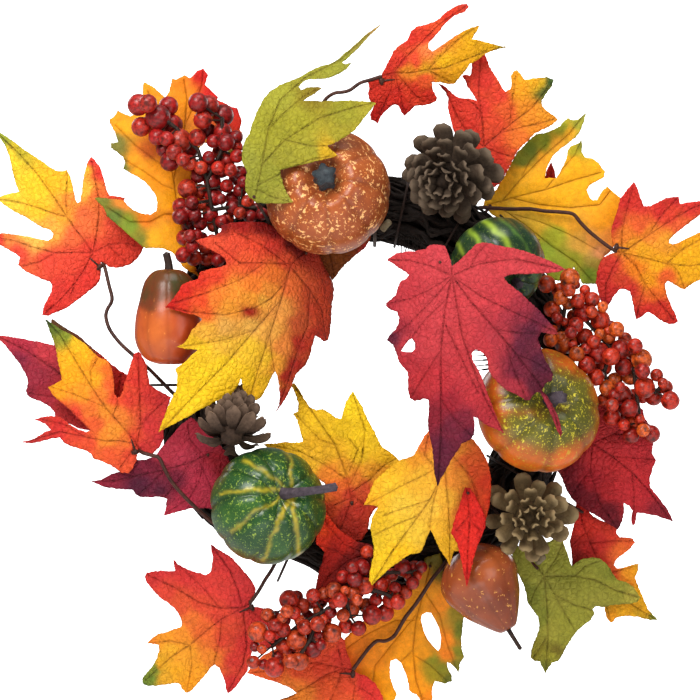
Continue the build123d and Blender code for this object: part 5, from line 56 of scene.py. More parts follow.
    "leaf_09": {'anchor': (76.9, -127.9, -111.0), 'slope': (-0.1, 0.0), 'axis_deg': 80, 'bend_r': 170, 'outline': [(42.0, -61.0), (45.5, -58.2), (50.4, -57.9), (56.0, -59.0), (58.8, -65.4), (60.9, -73.1), (66.4, -68.9), (72.0, -63.3), (78.3, -57.3), (83.9, -56.7), (87.4, -57.0), (94.4, -59.1), (102.9, -60.5), (112.0, -62.6), (121.1, -66.1), (129.6, -69.6), (136.7, -73.1), (140.9, -75.5), (135.3, -77.3), (128.2, -78.0), (119.0, -78.4), (109.9, -78.8), (101.5, -79.1), (97.3, -80.9), (98.7, -83.7), (104.3, -88.6), (109.9, -92.8), (115.5, -98.4), (121.2, -103.3), (126.1, -108.9), (131.1, -114.5), (136.1, -120.9), (131.1, -120.9), (126.2, -120.2), (123.3, -119.8), (121.2, -123.7), (122.6, -128.6), (124.1, -133.5), (126.2, -139.1), (129.8, -144.7), (131.9, -149.0), (131.2, -153.2), (126.2, -156.0), (124.1, -160.2), (127.0, -163.7), (130.5, -168.7), (134.1, -175.7), (137.0, -182.8), (138.4, -189.8), (137.7, -193.7), (134.8, -188.4), (132.0, -181.3), (128.4, -172.9), (124.8, -165.8), (122.7, -161.6), (119.2, -162.3), (117.0, -164.4), (115.6, -167.2), (112.8, -167.6), (109.3, -165.1), (105.0, -163.0), (100.1, -160.9), (96.6, -158.1), (93.1, -155.3), (88.2, -149.6), (86.1, -144.7), (85.4, -139.1), (83.2, -134.9), (80.4, -132.5), (76.2, -132.1), (74.8, -134.9), (75.5, -139.8), (78.3, -144.7), (80.4, -148.2), (82.6, -153.2), (85.4, -161.6), (88.9, -170.7), (92.4, -179.8), (97.3, -190.4), (93.1, -188.3), (87.5, -186.2), (81.9, -182.6), (78.4, -179.8), (76.2, -179.1), (76.9, -184.7), (76.3, -191.8), (73.4, -195.3), (67.8, -197.4), (65.0, -202.3), (59.4, -210.7), (55.9, -217.8), (52.4, -223.4), (51.0, -228.0), (49.6, -223.4), (48.2, -216.4), (47.5, -205.9), (46.1, -195.3), (44.0, -186.9), (44.0, -181.3), (44.7, -170.8), (44.0, -167.2), (41.2, -166.2), (38.4, -167.3), (34.2, -168.0), (31.4, -165.9), (30.0, -160.2), (30.0, -153.2), (30.0, -147.6), (27.2, -144.8), (23.7, -140.5), (21.6, -133.5), (19.5, -128.6), (15.3, -125.1), (16.7, -122.2), (20.9, -118.0), (23.0, -114.5), (23.7, -109.6), (22.3, -105.3), (18.1, -103.9), (14.6, -101.1), (14.6, -98.9), (17.4, -96.8), (21.6, -93.3), (23.0, -87.7), (25.1, -83.5), (29.3, -81.7), (30.7, -79.3), (28.6, -77.2), (24.4, -75.0), (19.5, -71.4), (15.3, -68.6), (18.8, -65.8), (22.3, -63.7), (28.0, -63.0), (35.0, -62.4)], 'holes': [[(25.1, -132.8), (27.9, -128.6), (30.7, -125.1), (32.8, -124.0), (34.9, -127.2), (34.9, -131.4), (32.8, -133.5), (28.6, -133.5)]], 'hub': (60.9, -78.7), 'veins': [[(60.9, -74.5), (60.8, -80.1), (80.4, -71.7), (105.0, -68.3), (138.8, -75.6)], [(60.8, -80.1), (81.8, -94.9), (105.0, -106.1), (119.8, -112.4), (133.9, -119.5)], [(60.8, -80.1), (74.8, -99.1), (91.7, -118.1), (106.4, -135.6), (121.3, -154.6), (131.2, -170.8), (137.7, -191.9)], [(60.8, -80.1), (64.3, -100.5), (67.8, -121.6), (74.8, -142.6), (84.0, -165.8), (95.9, -188.3)], [(60.8, -80.1), (55.9, -104.0), (53.1, -132.1), (53.1, -163.7), (53.1, -195.3), (51.0, -226.2)], [(60.8, -80.1), (45.5, -89.9), (31.4, -96.2), (16.0, -99.7)], [(60.8, -80.1), (45.5, -73.0), (31.5, -69.4), (16.7, -68.6)], [(60.8, -81.5), (44.0, -100.5), (30.0, -114.5), (17.4, -123.6)], [(55.2, -112.4), (62.9, -128.6), (72.0, -147.5), (79.0, -161.6)], [(53.1, -132.1), (41.9, -149.7), (32.8, -164.5)], [(91.7, -118.1), (108.5, -120.2), (126.2, -120.9)], [(106.4, -135.6), (119.1, -140.5), (129.8, -147.6)], [(98.0, -125.1), (102.9, -142.6), (112.8, -165.8)], [(53.1, -167.2), (62.9, -181.3), (74.8, -192.5)], [(73.4, -74.5), (79.0, -64.7), (85.3, -57.7)], [(56.6, -97.0), (41.9, -111.0), (27.9, -130.0)]], 'colours': [(18.8, -70.0, 190, 55, 60), (31.5, -65.9, 196, 58, 64), (52.5, -61.8, 200, 62, 70), (83.9, -59.1, 190, 55, 62), (108.5, -70.4, 200, 62, 68), (136.7, -75.2, 205, 66, 72), (122.6, -74.5, 198, 60, 66), (94.4, -70.4, 195, 58, 64), (73.4, -75.9, 196, 60, 66), (52.5, -82.9, 192, 58, 64), (27.9, -89.8, 186, 52, 60), (17.4, -98.3, 165, 42, 52), (31.4, -103.9, 190, 56, 62), (52.4, -104.0, 196, 60, 66), (73.4, -97.0, 196, 58, 64), (94.5, -97.0, 192, 54, 62), (108.5, -107.5, 140, 38, 55), (126.1, -111.0, 110, 30, 52), (133.9, -118.7, 170, 52, 58), (115.6, -118.1, 90, 24, 46), (105.0, -104.0, 165, 45, 58), (94.5, -125.1, 170, 48, 58), (108.5, -128.6, 95, 26, 48), (122.7, -142.6, 80, 22, 45), (119.2, -156.7, 90, 22, 42), (108.6, -146.1, 110, 28, 48), (131.2, -170.8, 150, 42, 55), (137.7, -191.2, 165, 45, 55), (105.0, -160.2, 160, 42, 55), (20.9, -114.5, 150, 36, 48), (18.8, -123.6, 95, 28, 48), (31.4, -128.6, 180, 50, 58), (45.4, -128.6, 190, 56, 62), (66.4, -121.6, 190, 55, 60), (80.4, -128.6, 180, 48, 56), (27.9, -142.7, 170, 40, 48), (38.4, -153.2, 175, 40, 46), (34.9, -165.2, 150, 28, 36), (52.4, -153.2, 180, 42, 50), (69.9, -142.6, 185, 50, 56), (59.4, -167.2, 150, 28, 42), (73.4, -163.7, 180, 44, 52), (87.5, -170.7, 175, 42, 50), (94.5, -186.9, 178, 46, 54), (84.0, -181.2, 165, 38, 48), (48.9, -177.8, 130, 24, 40), (59.4, -184.8, 105, 24, 45), (52.4, -202.3, 90, 22, 45), (50.3, -224.8, 70, 18, 38), (69.9, -181.2, 120, 26, 45), (73.4, -191.8, 95, 22, 45), (80.4, -146.1, 190, 56, 60)], 'puff': 1.1},
    # leaf_10: the dark red notes along the upper edge and the dark line across the middle of the blade are painted
    # shadow
    "leaf_10": {'anchor': (-116.7, -103.4, -118.0), 'slope': (0.2, 0.0), 'axis_deg': 90, 'bend_r': 165, 'outline': [(-141.4, -101.8), (-136.4, -96.8), (-132.2, -91.2), (-129.4, -86.2), (-123.8, -83.4), (-118.2, -82.0), (-116.7, -77.0), (-109.7, -74.9), (-102.7, -73.4), (-98.1, -71.6), (-98.5, -68.5), (-102.7, -64.6), (-108.3, -61.4), (-113.2, -59.3), (-116.7, -56.9), (-120.3, -54.8), (-113.2, -53.0), (-106.2, -51.5), (-102.0, -48.0), (-102.0, -43.7), (-94.3, -41.9), (-83.7, -41.1), (-73.2, -41.3), (-64.0, -44.8), (-53.5, -51.7), (-42.9, -56.6), (-33.7, -60.7), (-30.8, -69.2), (-27.3, -76.3), (-23.7, -82.0), (-22.3, -89.1), (-23.7, -99.9), (-24.4, -110.6), (-25.1, -119.9), (-26.5, -124.9), (-29.4, -126.0), (-32.9, -123.2), (-35.8, -122.1), (-37.2, -127.1), (-39.3, -135.7), (-42.2, -142.8), (-46.4, -146.3), (-49.2, -149.2), (-50.7, -153.4), (-52.8, -159.1), (-55.6, -164.8), (-59.1, -170.5), (-63.7, -176.5), (-61.2, -171.2), (-60.5, -164.1), (-61.2, -157.0), (-62.6, -149.9), (-64.0, -147.0), (-66.2, -150.6), (-69.0, -156.9), (-71.8, -162.6), (-74.6, -166.8), (-78.8, -168.2), (-83.0, -167.9), (-85.1, -164.0), (-86.9, -156.9), (-88.0, -152.3), (-90.1, -156.9), (-93.6, -162.5), (-98.5, -167.5), (-102.7, -168.9), (-104.8, -167.8), (-109.7, -171.0), (-114.6, -173.1), (-119.6, -175.9), (-123.8, -178.7), (-128.7, -180.8), (-133.6, -183.6), (-137.8, -185.7), (-142.1, -187.9), (-146.0, -190.0), (-144.2, -185.0), (-141.4, -178.0), (-139.3, -172.3), (-137.1, -167.4), (-134.3, -161.7), (-132.9, -156.8), (-132.9, -149.7), (-134.3, -145.5), (-130.8, -142.7), (-126.6, -139.9), (-122.4, -135.6), (-118.5, -132.1), (-125.2, -131.4), (-134.0, -130.0), (-128.0, -127.2), (-124.5, -122.9), (-122.4, -118.0), (-118.2, -113.7), (-115.3, -110.9), (-116.7, -108.8), (-120.3, -107.4), (-127.3, -106.0), (-134.3, -103.9)], 'holes': [], 'hub': (-49.2, -69.5), 'veins': [[(-43.6, -62.3), (-52.1, -70.9), (-71.1, -70.4), (-88.7, -70.5), (-106.2, -56.5)], [(-52.1, -70.9), (-57.0, -84.5), (-66.2, -95.2), (-78.1, -102.3), (-99.2, -107.4), (-123.8, -105.3), (-139.3, -101.8)], [(-53.5, -75.2), (-59.8, -96.6), (-67.6, -121.5), (-76.0, -146.3), (-81.6, -166.1)], [(-52.1, -73.8), (-39.3, -89.3), (-40.7, -114.3), (-47.8, -132.1), (-55.6, -157.0), (-62.6, -174.7)], [(-59.8, -96.6), (-78.1, -117.9), (-99.2, -142.7), (-120.3, -163.9), (-143.5, -188.6)], [(-39.3, -89.3), (-30.8, -103.5), (-28.0, -123.5)], [(-78.1, -117.9), (-99.2, -125.0), (-130.8, -130.0)], [(-67.6, -121.5), (-66.2, -135.6), (-64.0, -147.7)], [(-71.1, -70.4), (-88.7, -82.6), (-109.7, -91.1), (-134.3, -98.9)], [(-57.0, -69.5), (-73.2, -57.6), (-92.2, -48.6)]], 'colours': [(-118.2, -55.8, 222, 70, 48), (-106.2, -57.9, 228, 80, 50), (-92.2, -54.3, 226, 75, 48), (-78.1, -57.7, 226, 72, 45), (-99.2, -65.6, 224, 72, 45), (-81.6, -69.8, 230, 85, 45), (-64.0, -57.6, 205, 55, 40), (-101.3, -44.4, 120, 14, 12), (-88.7, -42.9, 150, 20, 15), (-73.2, -42.8, 120, 15, 12), (-64.0, -46.9, 110, 14, 12), (-53.5, -53.9, 90, 12, 10), (-46.4, -60.9, 110, 18, 12), (-39.3, -64.3, 165, 45, 30), (-30.8, -71.3, 170, 50, 30), (-57.0, -69.5, 205, 70, 40), (-136.4, -99.6, 195, 28, 20), (-127.3, -89.7, 205, 38, 25), (-116.7, -82.7, 215, 50, 30), (-106.2, -79.1, 222, 62, 35), (-116.7, -96.8, 222, 70, 30), (-106.2, -96.8, 235, 120, 40), (-92.2, -89.6, 240, 140, 45), (-78.1, -86.0, 235, 120, 40), (-81.6, -96.7, 240, 150, 45), (-95.7, -102.4, 238, 150, 45), (-113.2, -105.3, 225, 90, 35), (-130.8, -102.5, 205, 45, 25), (-64.0, -78.9, 225, 110, 40), (-67.6, -89.5, 235, 140, 50), (-53.5, -85.9, 220, 100, 45), (-39.3, -89.3, 200, 75, 40), (-26.5, -89.2, 190, 60, 35), (-35.8, -103.5, 190, 62, 35), (-25.1, -114.2, 185, 60, 35), (-46.4, -110.7, 200, 85, 45), (-33.7, -121.4, 180, 50, 32), (-46.4, -128.5, 175, 45, 30), (-49.9, -142.8, 165, 38, 28), (-58.4, -164.1, 165, 42, 30), (-62.6, -174.7, 160, 40, 30), (-57.0, -149.9, 165, 38, 26), (-73.2, -96.6, 236, 165, 60), (-60.5, -103.7, 232, 150, 65), (-67.6, -117.9, 230, 160, 65), (-81.6, -114.4, 225, 165, 70), (-99.2, -114.4, 218, 158, 70), (-113.2, -118.0, 222, 160, 50), (-123.8, -128.6, 232, 180, 30), (-116.7, -132.1, 238, 190, 30), (-99.2, -128.6, 230, 175, 50), (-81.6, -132.1, 234, 185, 40), (-71.1, -139.2, 232, 180, 40), (-99.2, -142.7, 240, 195, 30), (-85.1, -149.8, 240, 190, 25), (-78.1, -164.0, 225, 170, 20), (-69.0, -156.9, 215, 165, 20), (-64.0, -142.7, 228, 150, 45), (-57.0, -128.5, 228, 130, 55), (-116.7, -149.8, 242, 198, 28), (-127.3, -149.8, 238, 190, 25), (-106.2, -163.9, 240, 190, 22), (-123.8, -167.4, 242, 198, 25), (-137.8, -178.0, 238, 188, 22), (-144.9, -188.6, 225, 175, 20), (-81.6, -105.2, 150, 30, 15)], 'puff': 1.1},
    # leaf_11: its dark orange is painted shade; the leaf lies in shadow behind leaf_10
    "leaf_11": {'anchor': (-16.5, -48.9, -64.8), 'slope': (-0.05, 0.0), 'axis_deg': 90.0, 'bend_r': 200, 'outline': [(-35.2, -55.4), (-26.6, -58.3), (-14.4, -57.6), (-5.1, -54.0), (0.7, -49.7), (3.5, -46.9), (4.2, -51.9), (0.7, -58.3), (-7.2, -64.8), (-14.4, -71.2), (-19.4, -77.0), (-23.0, -82.3), (-27.3, -76.9), (-31.6, -67.6)], 'holes': [], 'hub': (-32.3, -56.9), 'veins': [[(-33.7, -56.9), (-25.1, -64.1), (-22.3, -78.4)], [(-32.3, -57.6), (-14.4, -60.5), (2.1, -51.9)]], 'colours': [(-32.3, -56.9, 120, 60, 15), (-18.0, -64.1, 125, 62, 15), (-21.5, -74.8, 118, 58, 18), (-10.8, -58.3, 128, 58, 18), (-0.1, -53.3, 135, 60, 22), (2.1, -56.9, 170, 35, 40)]},
    "leaf_12": {'anchor': (-186.0, -55.4, -175.0), 'slope': (-0.08, 0.0), 'axis_deg': 45, 'bend_r': 320, 'outline': [(-229.6, -109.9), (-224.5, -112.7), (-218.6, -117.1), (-211.3, -120.6), (-204.1, -124.9), (-199.7, -128.5), (-195.4, -132.8), (-191.8, -136.4), (-187.5, -138.5), (-183.9, -140.0), (-181.7, -143.5), (-180.2, -150.0), (-179.5, -157.1), (-179.5, -162.8), (-177.4, -166.4), (-175.2, -165.7), (-173.1, -160.7), (-171.6, -155.0), (-169.5, -148.5), (-167.3, -140.7), (-165.2, -135.0), (-161.6, -132.8), (-158.7, -137.8), (-155.8, -143.5), (-155.1, -150.0), (-153.7, -157.1), (-149.4, -160.0), (-144.4, -162.8), (-138.7, -165.7), (-140.9, -172.8), (-143.0, -179.3), (-144.5, -186.4), (-143.8, -194.3), (-146.7, -201.5), (-152.4, -206.5), (-156.0, -205.8), (-160.2, -205.0), (-163.1, -206.5), (-163.1, -210.8), (-166.0, -216.5), (-168.9, -220.1), (-173.9, -220.1), (-176.7, -218.3), (-182.4, -214.3), (-189.6, -211.1), (-194.6, -209.7), (-195.3, -207.2), (-198.9, -204.3), (-203.9, -202.9), (-211.1, -200.8), (-216.1, -197.9), (-218.3, -194.7), (-225.5, -195.8), (-232.7, -197.9), (-239.9, -199.0), (-247.1, -198.0), (-242.0, -196.9), (-237.7, -195.8), (-234.1, -193.7), (-229.1, -190.8), (-224.8, -189.3), (-229.1, -185.1), (-237.0, -181.5), (-229.8, -179.7), (-224.1, -179.2), (-218.3, -180.0), (-215.4, -182.2), (-209.7, -186.5), (-205.3, -189.0), (-199.6, -190.7), (-196.0, -189.3), (-199.6, -186.5), (-203.9, -182.2), (-209.7, -176.5), (-214.0, -172.2), (-219.8, -167.9), (-224.1, -163.2), (-227.0, -158.6), (-222.0, -156.4), (-217.0, -153.6), (-218.4, -146.4), (-219.9, -139.3), (-222.2, -128.5), (-225.9, -119.2)], 'holes': [], 'hub': (-163.1, -199.3), 'veins': [[(-161.0, -203.6), (-165.2, -196.4), (-175.2, -185.0), (-186.0, -172.9), (-195.3, -159.3), (-207.6, -139.3), (-218.6, -121.4), (-228.8, -111.3)], [(-163.1, -199.3), (-175.2, -197.2), (-186.0, -197.2), (-200.3, -194.3), (-218.3, -190.8), (-239.9, -197.2)], [(-163.1, -199.3), (-160.2, -185.7), (-160.9, -167.8), (-161.6, -150.0), (-162.3, -135.0)], [(-163.1, -200.0), (-169.5, -208.6), (-175.3, -216.5)], [(-186.0, -172.9), (-198.2, -167.9), (-211.1, -162.9), (-224.9, -158.6)], [(-162.3, -189.3), (-153.7, -178.6), (-142.3, -167.8)], [(-195.3, -159.3), (-196.8, -147.8), (-191.8, -138.5)], [(-180.9, -178.6), (-176.6, -171.4), (-177.4, -167.1)], [(-200.3, -194.3), (-214.7, -185.8), (-232.7, -181.5)]], 'colours': [(-228.8, -111.3, 70, 90, 35), (-222.2, -117.8, 95, 110, 35), (-214.2, -123.5, 130, 140, 40), (-207.7, -128.5, 235, 180, 30), (-211.3, -135.7, 246, 170, 22), (-200.4, -135.7, 246, 168, 20), (-189.6, -140.7, 242, 140, 30), (-183.8, -145.0, 236, 110, 35), (-193.2, -153.6, 244, 160, 28), (-211.2, -150.0, 248, 165, 20), (-222.0, -156.4, 246, 160, 20), (-218.4, -164.3, 244, 155, 22), (-203.9, -164.3, 242, 150, 32), (-189.6, -164.3, 236, 125, 40), (-180.9, -157.1, 232, 95, 42), (-177.4, -166.4, 226, 75, 42), (-186.0, -175.0, 240, 140, 40), (-196.7, -175.0, 232, 110, 40), (-176.6, -178.6, 235, 125, 45), (-178.8, -189.3, 238, 140, 42), (-171.7, -196.4, 235, 115, 42), (-186.0, -196.5, 238, 135, 40), (-193.1, -185.7, 228, 90, 42), (-207.5, -176.5, 218, 62, 42), (-218.3, -169.3, 222, 70, 42), (-203.9, -189.3, 216, 58, 42), (-218.3, -185.8, 205, 45, 40), (-232.7, -180.8, 200, 48, 44), (-221.9, -193.6, 200, 46, 42), (-239.9, -197.2, 180, 42, 40), (-196.7, -200.0, 222, 75, 42), (-182.4, -207.2, 226, 85, 42), (-173.9, -216.5, 222, 80, 42), (-168.1, -207.2, 222, 72, 44), (-164.5, -196.4, 220, 66, 44), (-169.5, -167.8, 220, 62, 44), (-164.4, -153.5, 212, 54, 44), (-161.6, -136.4, 208, 50, 42), (-168.0, -150.0, 216, 60, 42), (-153.7, -164.3, 208, 52, 46), (-143.0, -167.8, 200, 48, 48), (-153.8, -185.7, 206, 52, 50), (-146.6, -196.4, 196, 45, 50), (-157.4, -202.2, 205, 52, 50)]},
    "leaf_13": {'anchor': (-135.9, -56.1, -217.9), 'slope': (-0.12, 0.0), 'axis_deg': 70, 'bend_r': 220, 'outline': [(-163.3, -210.8), (-156.8, -210.4), (-150.3, -207.9), (-144.5, -200.7), (-138.1, -192.9), (-130.9, -185.0), (-124.4, -180.0), (-118.0, -185.0), (-108.0, -195.0), (-99.4, -205.0), (-95.8, -215.0), (-98.7, -225.0), (-101.6, -232.2), (-102.3, -239.3), (-105.2, -246.1), (-114.4, -245.0), (-125.2, -245.4), (-133.8, -247.9), (-143.8, -250.4), (-142.4, -243.6), (-141.6, -238.6), (-146.7, -237.2), (-161.1, -237.5), (-164.7, -235.2), (-166.1, -232.3), (-177.0, -231.7), (-187.1, -230.3), (-196.6, -226.4), (-189.3, -225.3), (-182.8, -221.3), (-174.1, -218.4), (-167.6, -215.1)], 'holes': [], 'hub': (-114.4, -209.3), 'veins': [[(-109.4, -205.0), (-125.1, -212.9), (-143.1, -217.9), (-161.1, -221.5), (-179.2, -225.9), (-194.4, -226.4)], [(-114.4, -207.8), (-118.0, -225.0), (-125.2, -237.9), (-141.6, -248.6)], [(-114.4, -207.8), (-125.1, -196.4), (-126.6, -185.7)], [(-125.1, -212.9), (-132.3, -225.0), (-143.1, -237.2)], [(-143.1, -217.9), (-153.9, -228.7), (-162.5, -235.9)], [(-118.0, -212.1), (-110.8, -228.6), (-105.9, -242.9)]], 'colours': [(-195.9, -226.1, 150, 35, 55), (-182.8, -223.8, 130, 30, 50), (-168.3, -218.0, 110, 26, 48), (-161.1, -228.7, 80, 20, 45), (-146.7, -233.6, 85, 22, 45), (-135.9, -225.0, 120, 30, 52), (-153.9, -214.4, 120, 28, 50), (-146.7, -239.4, 130, 34, 52), (-140.9, -247.9, 175, 42, 62), (-128.7, -239.3, 180, 45, 68), (-114.4, -239.3, 170, 42, 62), (-105.1, -242.9, 150, 36, 52), (-118.0, -225.0, 185, 48, 70), (-128.7, -210.7, 180, 50, 70), (-143.1, -207.2, 170, 45, 62), (-132.3, -192.9, 160, 38, 55), (-121.6, -185.7, 150, 32, 48), (-114.4, -200.0, 175, 44, 64), (-103.7, -210.7, 160, 30, 42), (-100.1, -217.8, 150, 28, 38)]},
    "leaf_14": {'anchor': (-110.0, -33.4, -322.6), 'slope': (-0.03, 0.0), 'axis_deg': 45, 'bend_r': 260, 'outline': [(-110.8, -271.7), (-107.2, -274.5), (-102.1, -277.4), (-97.1, -280.2), (-92.8, -284.5), (-87.7, -290.2), (-83.4, -295.3), (-80.5, -298.9), (-78.4, -304.6), (-80.5, -309.6), (-82.3, -313.2), (-80.5, -316.5), (-74.1, -317.6), (-69.8, -317.9), (-64.7, -321.2), (-59.7, -324.8), (-58.3, -333.5), (-59.7, -342.9), (-66.9, -346.9), (-75.5, -346.8), (-80.6, -347.9), (-82.7, -355.1), (-84.6, -363.1), (-88.5, -368.1), (-91.4, -372.5), (-95.7, -377.5), (-98.6, -379.3), (-100.0, -376.8), (-100.7, -371.0), (-102.9, -365.2), (-105.0, -360.8), (-107.9, -358.6), (-110.8, -360.1), (-113.6, -364.4), (-118.7, -370.2), (-122.3, -374.5), (-125.9, -378.1), (-128.8, -378.8), (-131.6, -375.9), (-133.1, -372.3), (-136.7, -371.6), (-143.8, -373.0), (-151.0, -373.7), (-156.1, -373.7), (-159.7, -372.3), (-160.4, -368.7), (-157.5, -364.4), (-153.2, -360.1), (-149.6, -353.6), (-148.2, -347.8), (-148.5, -344.3), (-152.5, -343.6), (-156.8, -343.2), (-153.2, -339.3), (-148.9, -336.4), (-143.1, -334.9), (-137.4, -332.7), (-132.3, -331.3), (-131.6, -327.7), (-133.1, -323.4), (-136.7, -318.4), (-141.7, -314.1), (-147.5, -310.5), (-153.3, -304.1), (-157.0, -299.9), (-158.4, -295.6), (-157.0, -292.3), (-152.7, -291.6), (-146.1, -290.8), (-140.4, -291.2), (-136.7, -291.1), (-137.5, -286.9), (-138.2, -282.2), (-134.6, -286.1), (-129.5, -289.0), (-124.5, -291.1), (-118.7, -292.5), (-114.4, -293.9), (-110.8, -291.7), (-110.0, -286.7), (-109.3, -281.0), (-110.8, -276.0)], 'holes': [], 'hub': (-87.7, -317.6), 'veins': [[(-83.4, -314.7), (-87.7, -317.6), (-91.3, -304.6), (-97.1, -290.3), (-109.3, -273.8)], [(-87.7, -317.6), (-104.3, -317.6), (-120.1, -313.3), (-136.7, -303.3), (-156.3, -294.1)], [(-87.7, -317.6), (-102.8, -325.5), (-115.0, -334.8), (-125.8, -344.2), (-140.2, -353.6), (-157.5, -369.4)], [(-87.7, -317.6), (-86.3, -329.8), (-84.9, -344.3), (-87.8, -358.7), (-97.9, -376.8)], [(-87.7, -317.6), (-76.9, -322.6), (-64.7, -326.3)], [(-104.3, -317.6), (-115.1, -304.7), (-125.9, -294.0), (-136.8, -284.7)], [(-125.8, -344.2), (-124.4, -358.6), (-128.0, -376.6)], [(-102.8, -325.5), (-104.3, -340.6), (-108.6, -357.9)], [(-125.8, -344.2), (-140.2, -341.4), (-154.7, -342.8)]], 'colours': [(-109.3, -274.5, 190, 40, 45), (-100.7, -283.1, 210, 52, 52), (-86.3, -297.4, 212, 55, 55), (-89.9, -311.8, 210, 52, 52), (-100.7, -304.6, 214, 58, 50), (-115.1, -301.1, 214, 58, 50), (-125.9, -294.0, 208, 50, 48), (-136.8, -284.7, 195, 42, 45), (-147.6, -291.9, 205, 50, 50), (-154.8, -296.3, 205, 52, 48), (-143.9, -304.8, 216, 66, 48), (-133.1, -315.5, 220, 80, 45), (-118.7, -315.4, 220, 72, 46), (-104.3, -322.6, 216, 66, 46), (-125.8, -326.2, 228, 110, 42), (-115.0, -333.4, 228, 100, 42), (-133.0, -334.9, 238, 140, 38), (-143.8, -337.8, 236, 145, 35), (-154.7, -342.1, 232, 130, 38), (-140.2, -347.8, 238, 165, 38), (-129.4, -351.4, 238, 155, 38), (-147.4, -358.6, 236, 165, 30), (-136.6, -363.7, 238, 162, 28), (-125.9, -373.0, 240, 150, 25), (-118.7, -362.2, 238, 150, 30), (-154.6, -368.0, 110, 130, 40), (-158.2, -371.6, 95, 115, 40), (-150.3, -360.8, 120, 135, 40), (-143.8, -368.0, 225, 160, 35), (-107.9, -347.8, 222, 95, 42), (-100.7, -340.6, 214, 66, 44), (-93.5, -355.1, 212, 56, 46), (-97.2, -375.3, 205, 44, 44), (-86.3, -344.2, 208, 50, 46), (-75.5, -329.8, 208, 48, 45), (-62.6, -333.5, 204, 46, 42), (-74.1, -320.5, 208, 50, 46), (-111.5, -351.4, 232, 130, 38)]},
    "leaf_15": {'anchor': (-32.3, -38.4, -369.0), 'slope': (-0.03, 0.0), 'axis_deg': 10, 'bend_r': 240, 'outline': [(-84.8, -364.1), (-74.0, -367.7), (-62.5, -371.3), (-53.9, -374.8), (-49.2, -378.4), (-57.5, -382.0), (-69.7, -385.6), (-74.0, -390.0), (-57.5, -392.1), (-43.1, -399.3), (-33.8, -395.0), (-21.6, -399.3), (-10.8, -402.9), (-2.2, -392.8), (14.3, -387.7), (12.2, -379.8), (7.1, -371.1), (0.7, -366.1), (-6.5, -363.6), (-9.4, -360.4), (-10.8, -354.7), (-13.7, -347.5), (-14.4, -340.4), (-21.6, -334.7), (-33.8, -336.1), (-48.2, -340.5), (-62.5, -345.5), (-74.0, -351.9), (-81.2, -358.4)], 'holes': [], 'hub': (-15.8, -360.4), 'veins': [[(-9.4, -361.5), (-15.8, -360.4), (-28.8, -365.5), (-43.1, -374.8), (-71.1, -388.5)], [(-15.8, -360.4), (-21.6, -376.2), (-28.8, -392.1)], [(-15.8, -360.4), (-35.9, -356.1), (-57.5, -360.5), (-81.2, -364.1)], [(-15.8, -360.4), (-7.2, -372.6), (-10.8, -399.3)], [(-7.2, -372.6), (5.0, -379.8)], [(-15.8, -360.4), (-19.4, -346.1)]], 'colours': [(-82.6, -364.1, 230, 95, 40), (-64.7, -367.7, 232, 90, 40), (-46.7, -363.3, 230, 80, 42), (-53.9, -374.8, 236, 120, 42), (-46.7, -379.1, 238, 130, 42), (-61.1, -376.3, 234, 140, 50), (-32.3, -358.3, 226, 70, 42), (-18.0, -351.1, 222, 62, 46), (-14.4, -341.8, 215, 66, 44), (-25.2, -340.4, 224, 80, 42), (-7.2, -360.4, 215, 58, 42), (-10.8, -372.6, 226, 75, 42), (-25.2, -376.2, 230, 85, 40), (7.1, -379.8, 215, 50, 42), (-0.0, -370.4, 214, 48, 42), (-39.5, -347.6, 226, 80, 42), (-10.8, -383.4, 228, 85, 42)]},
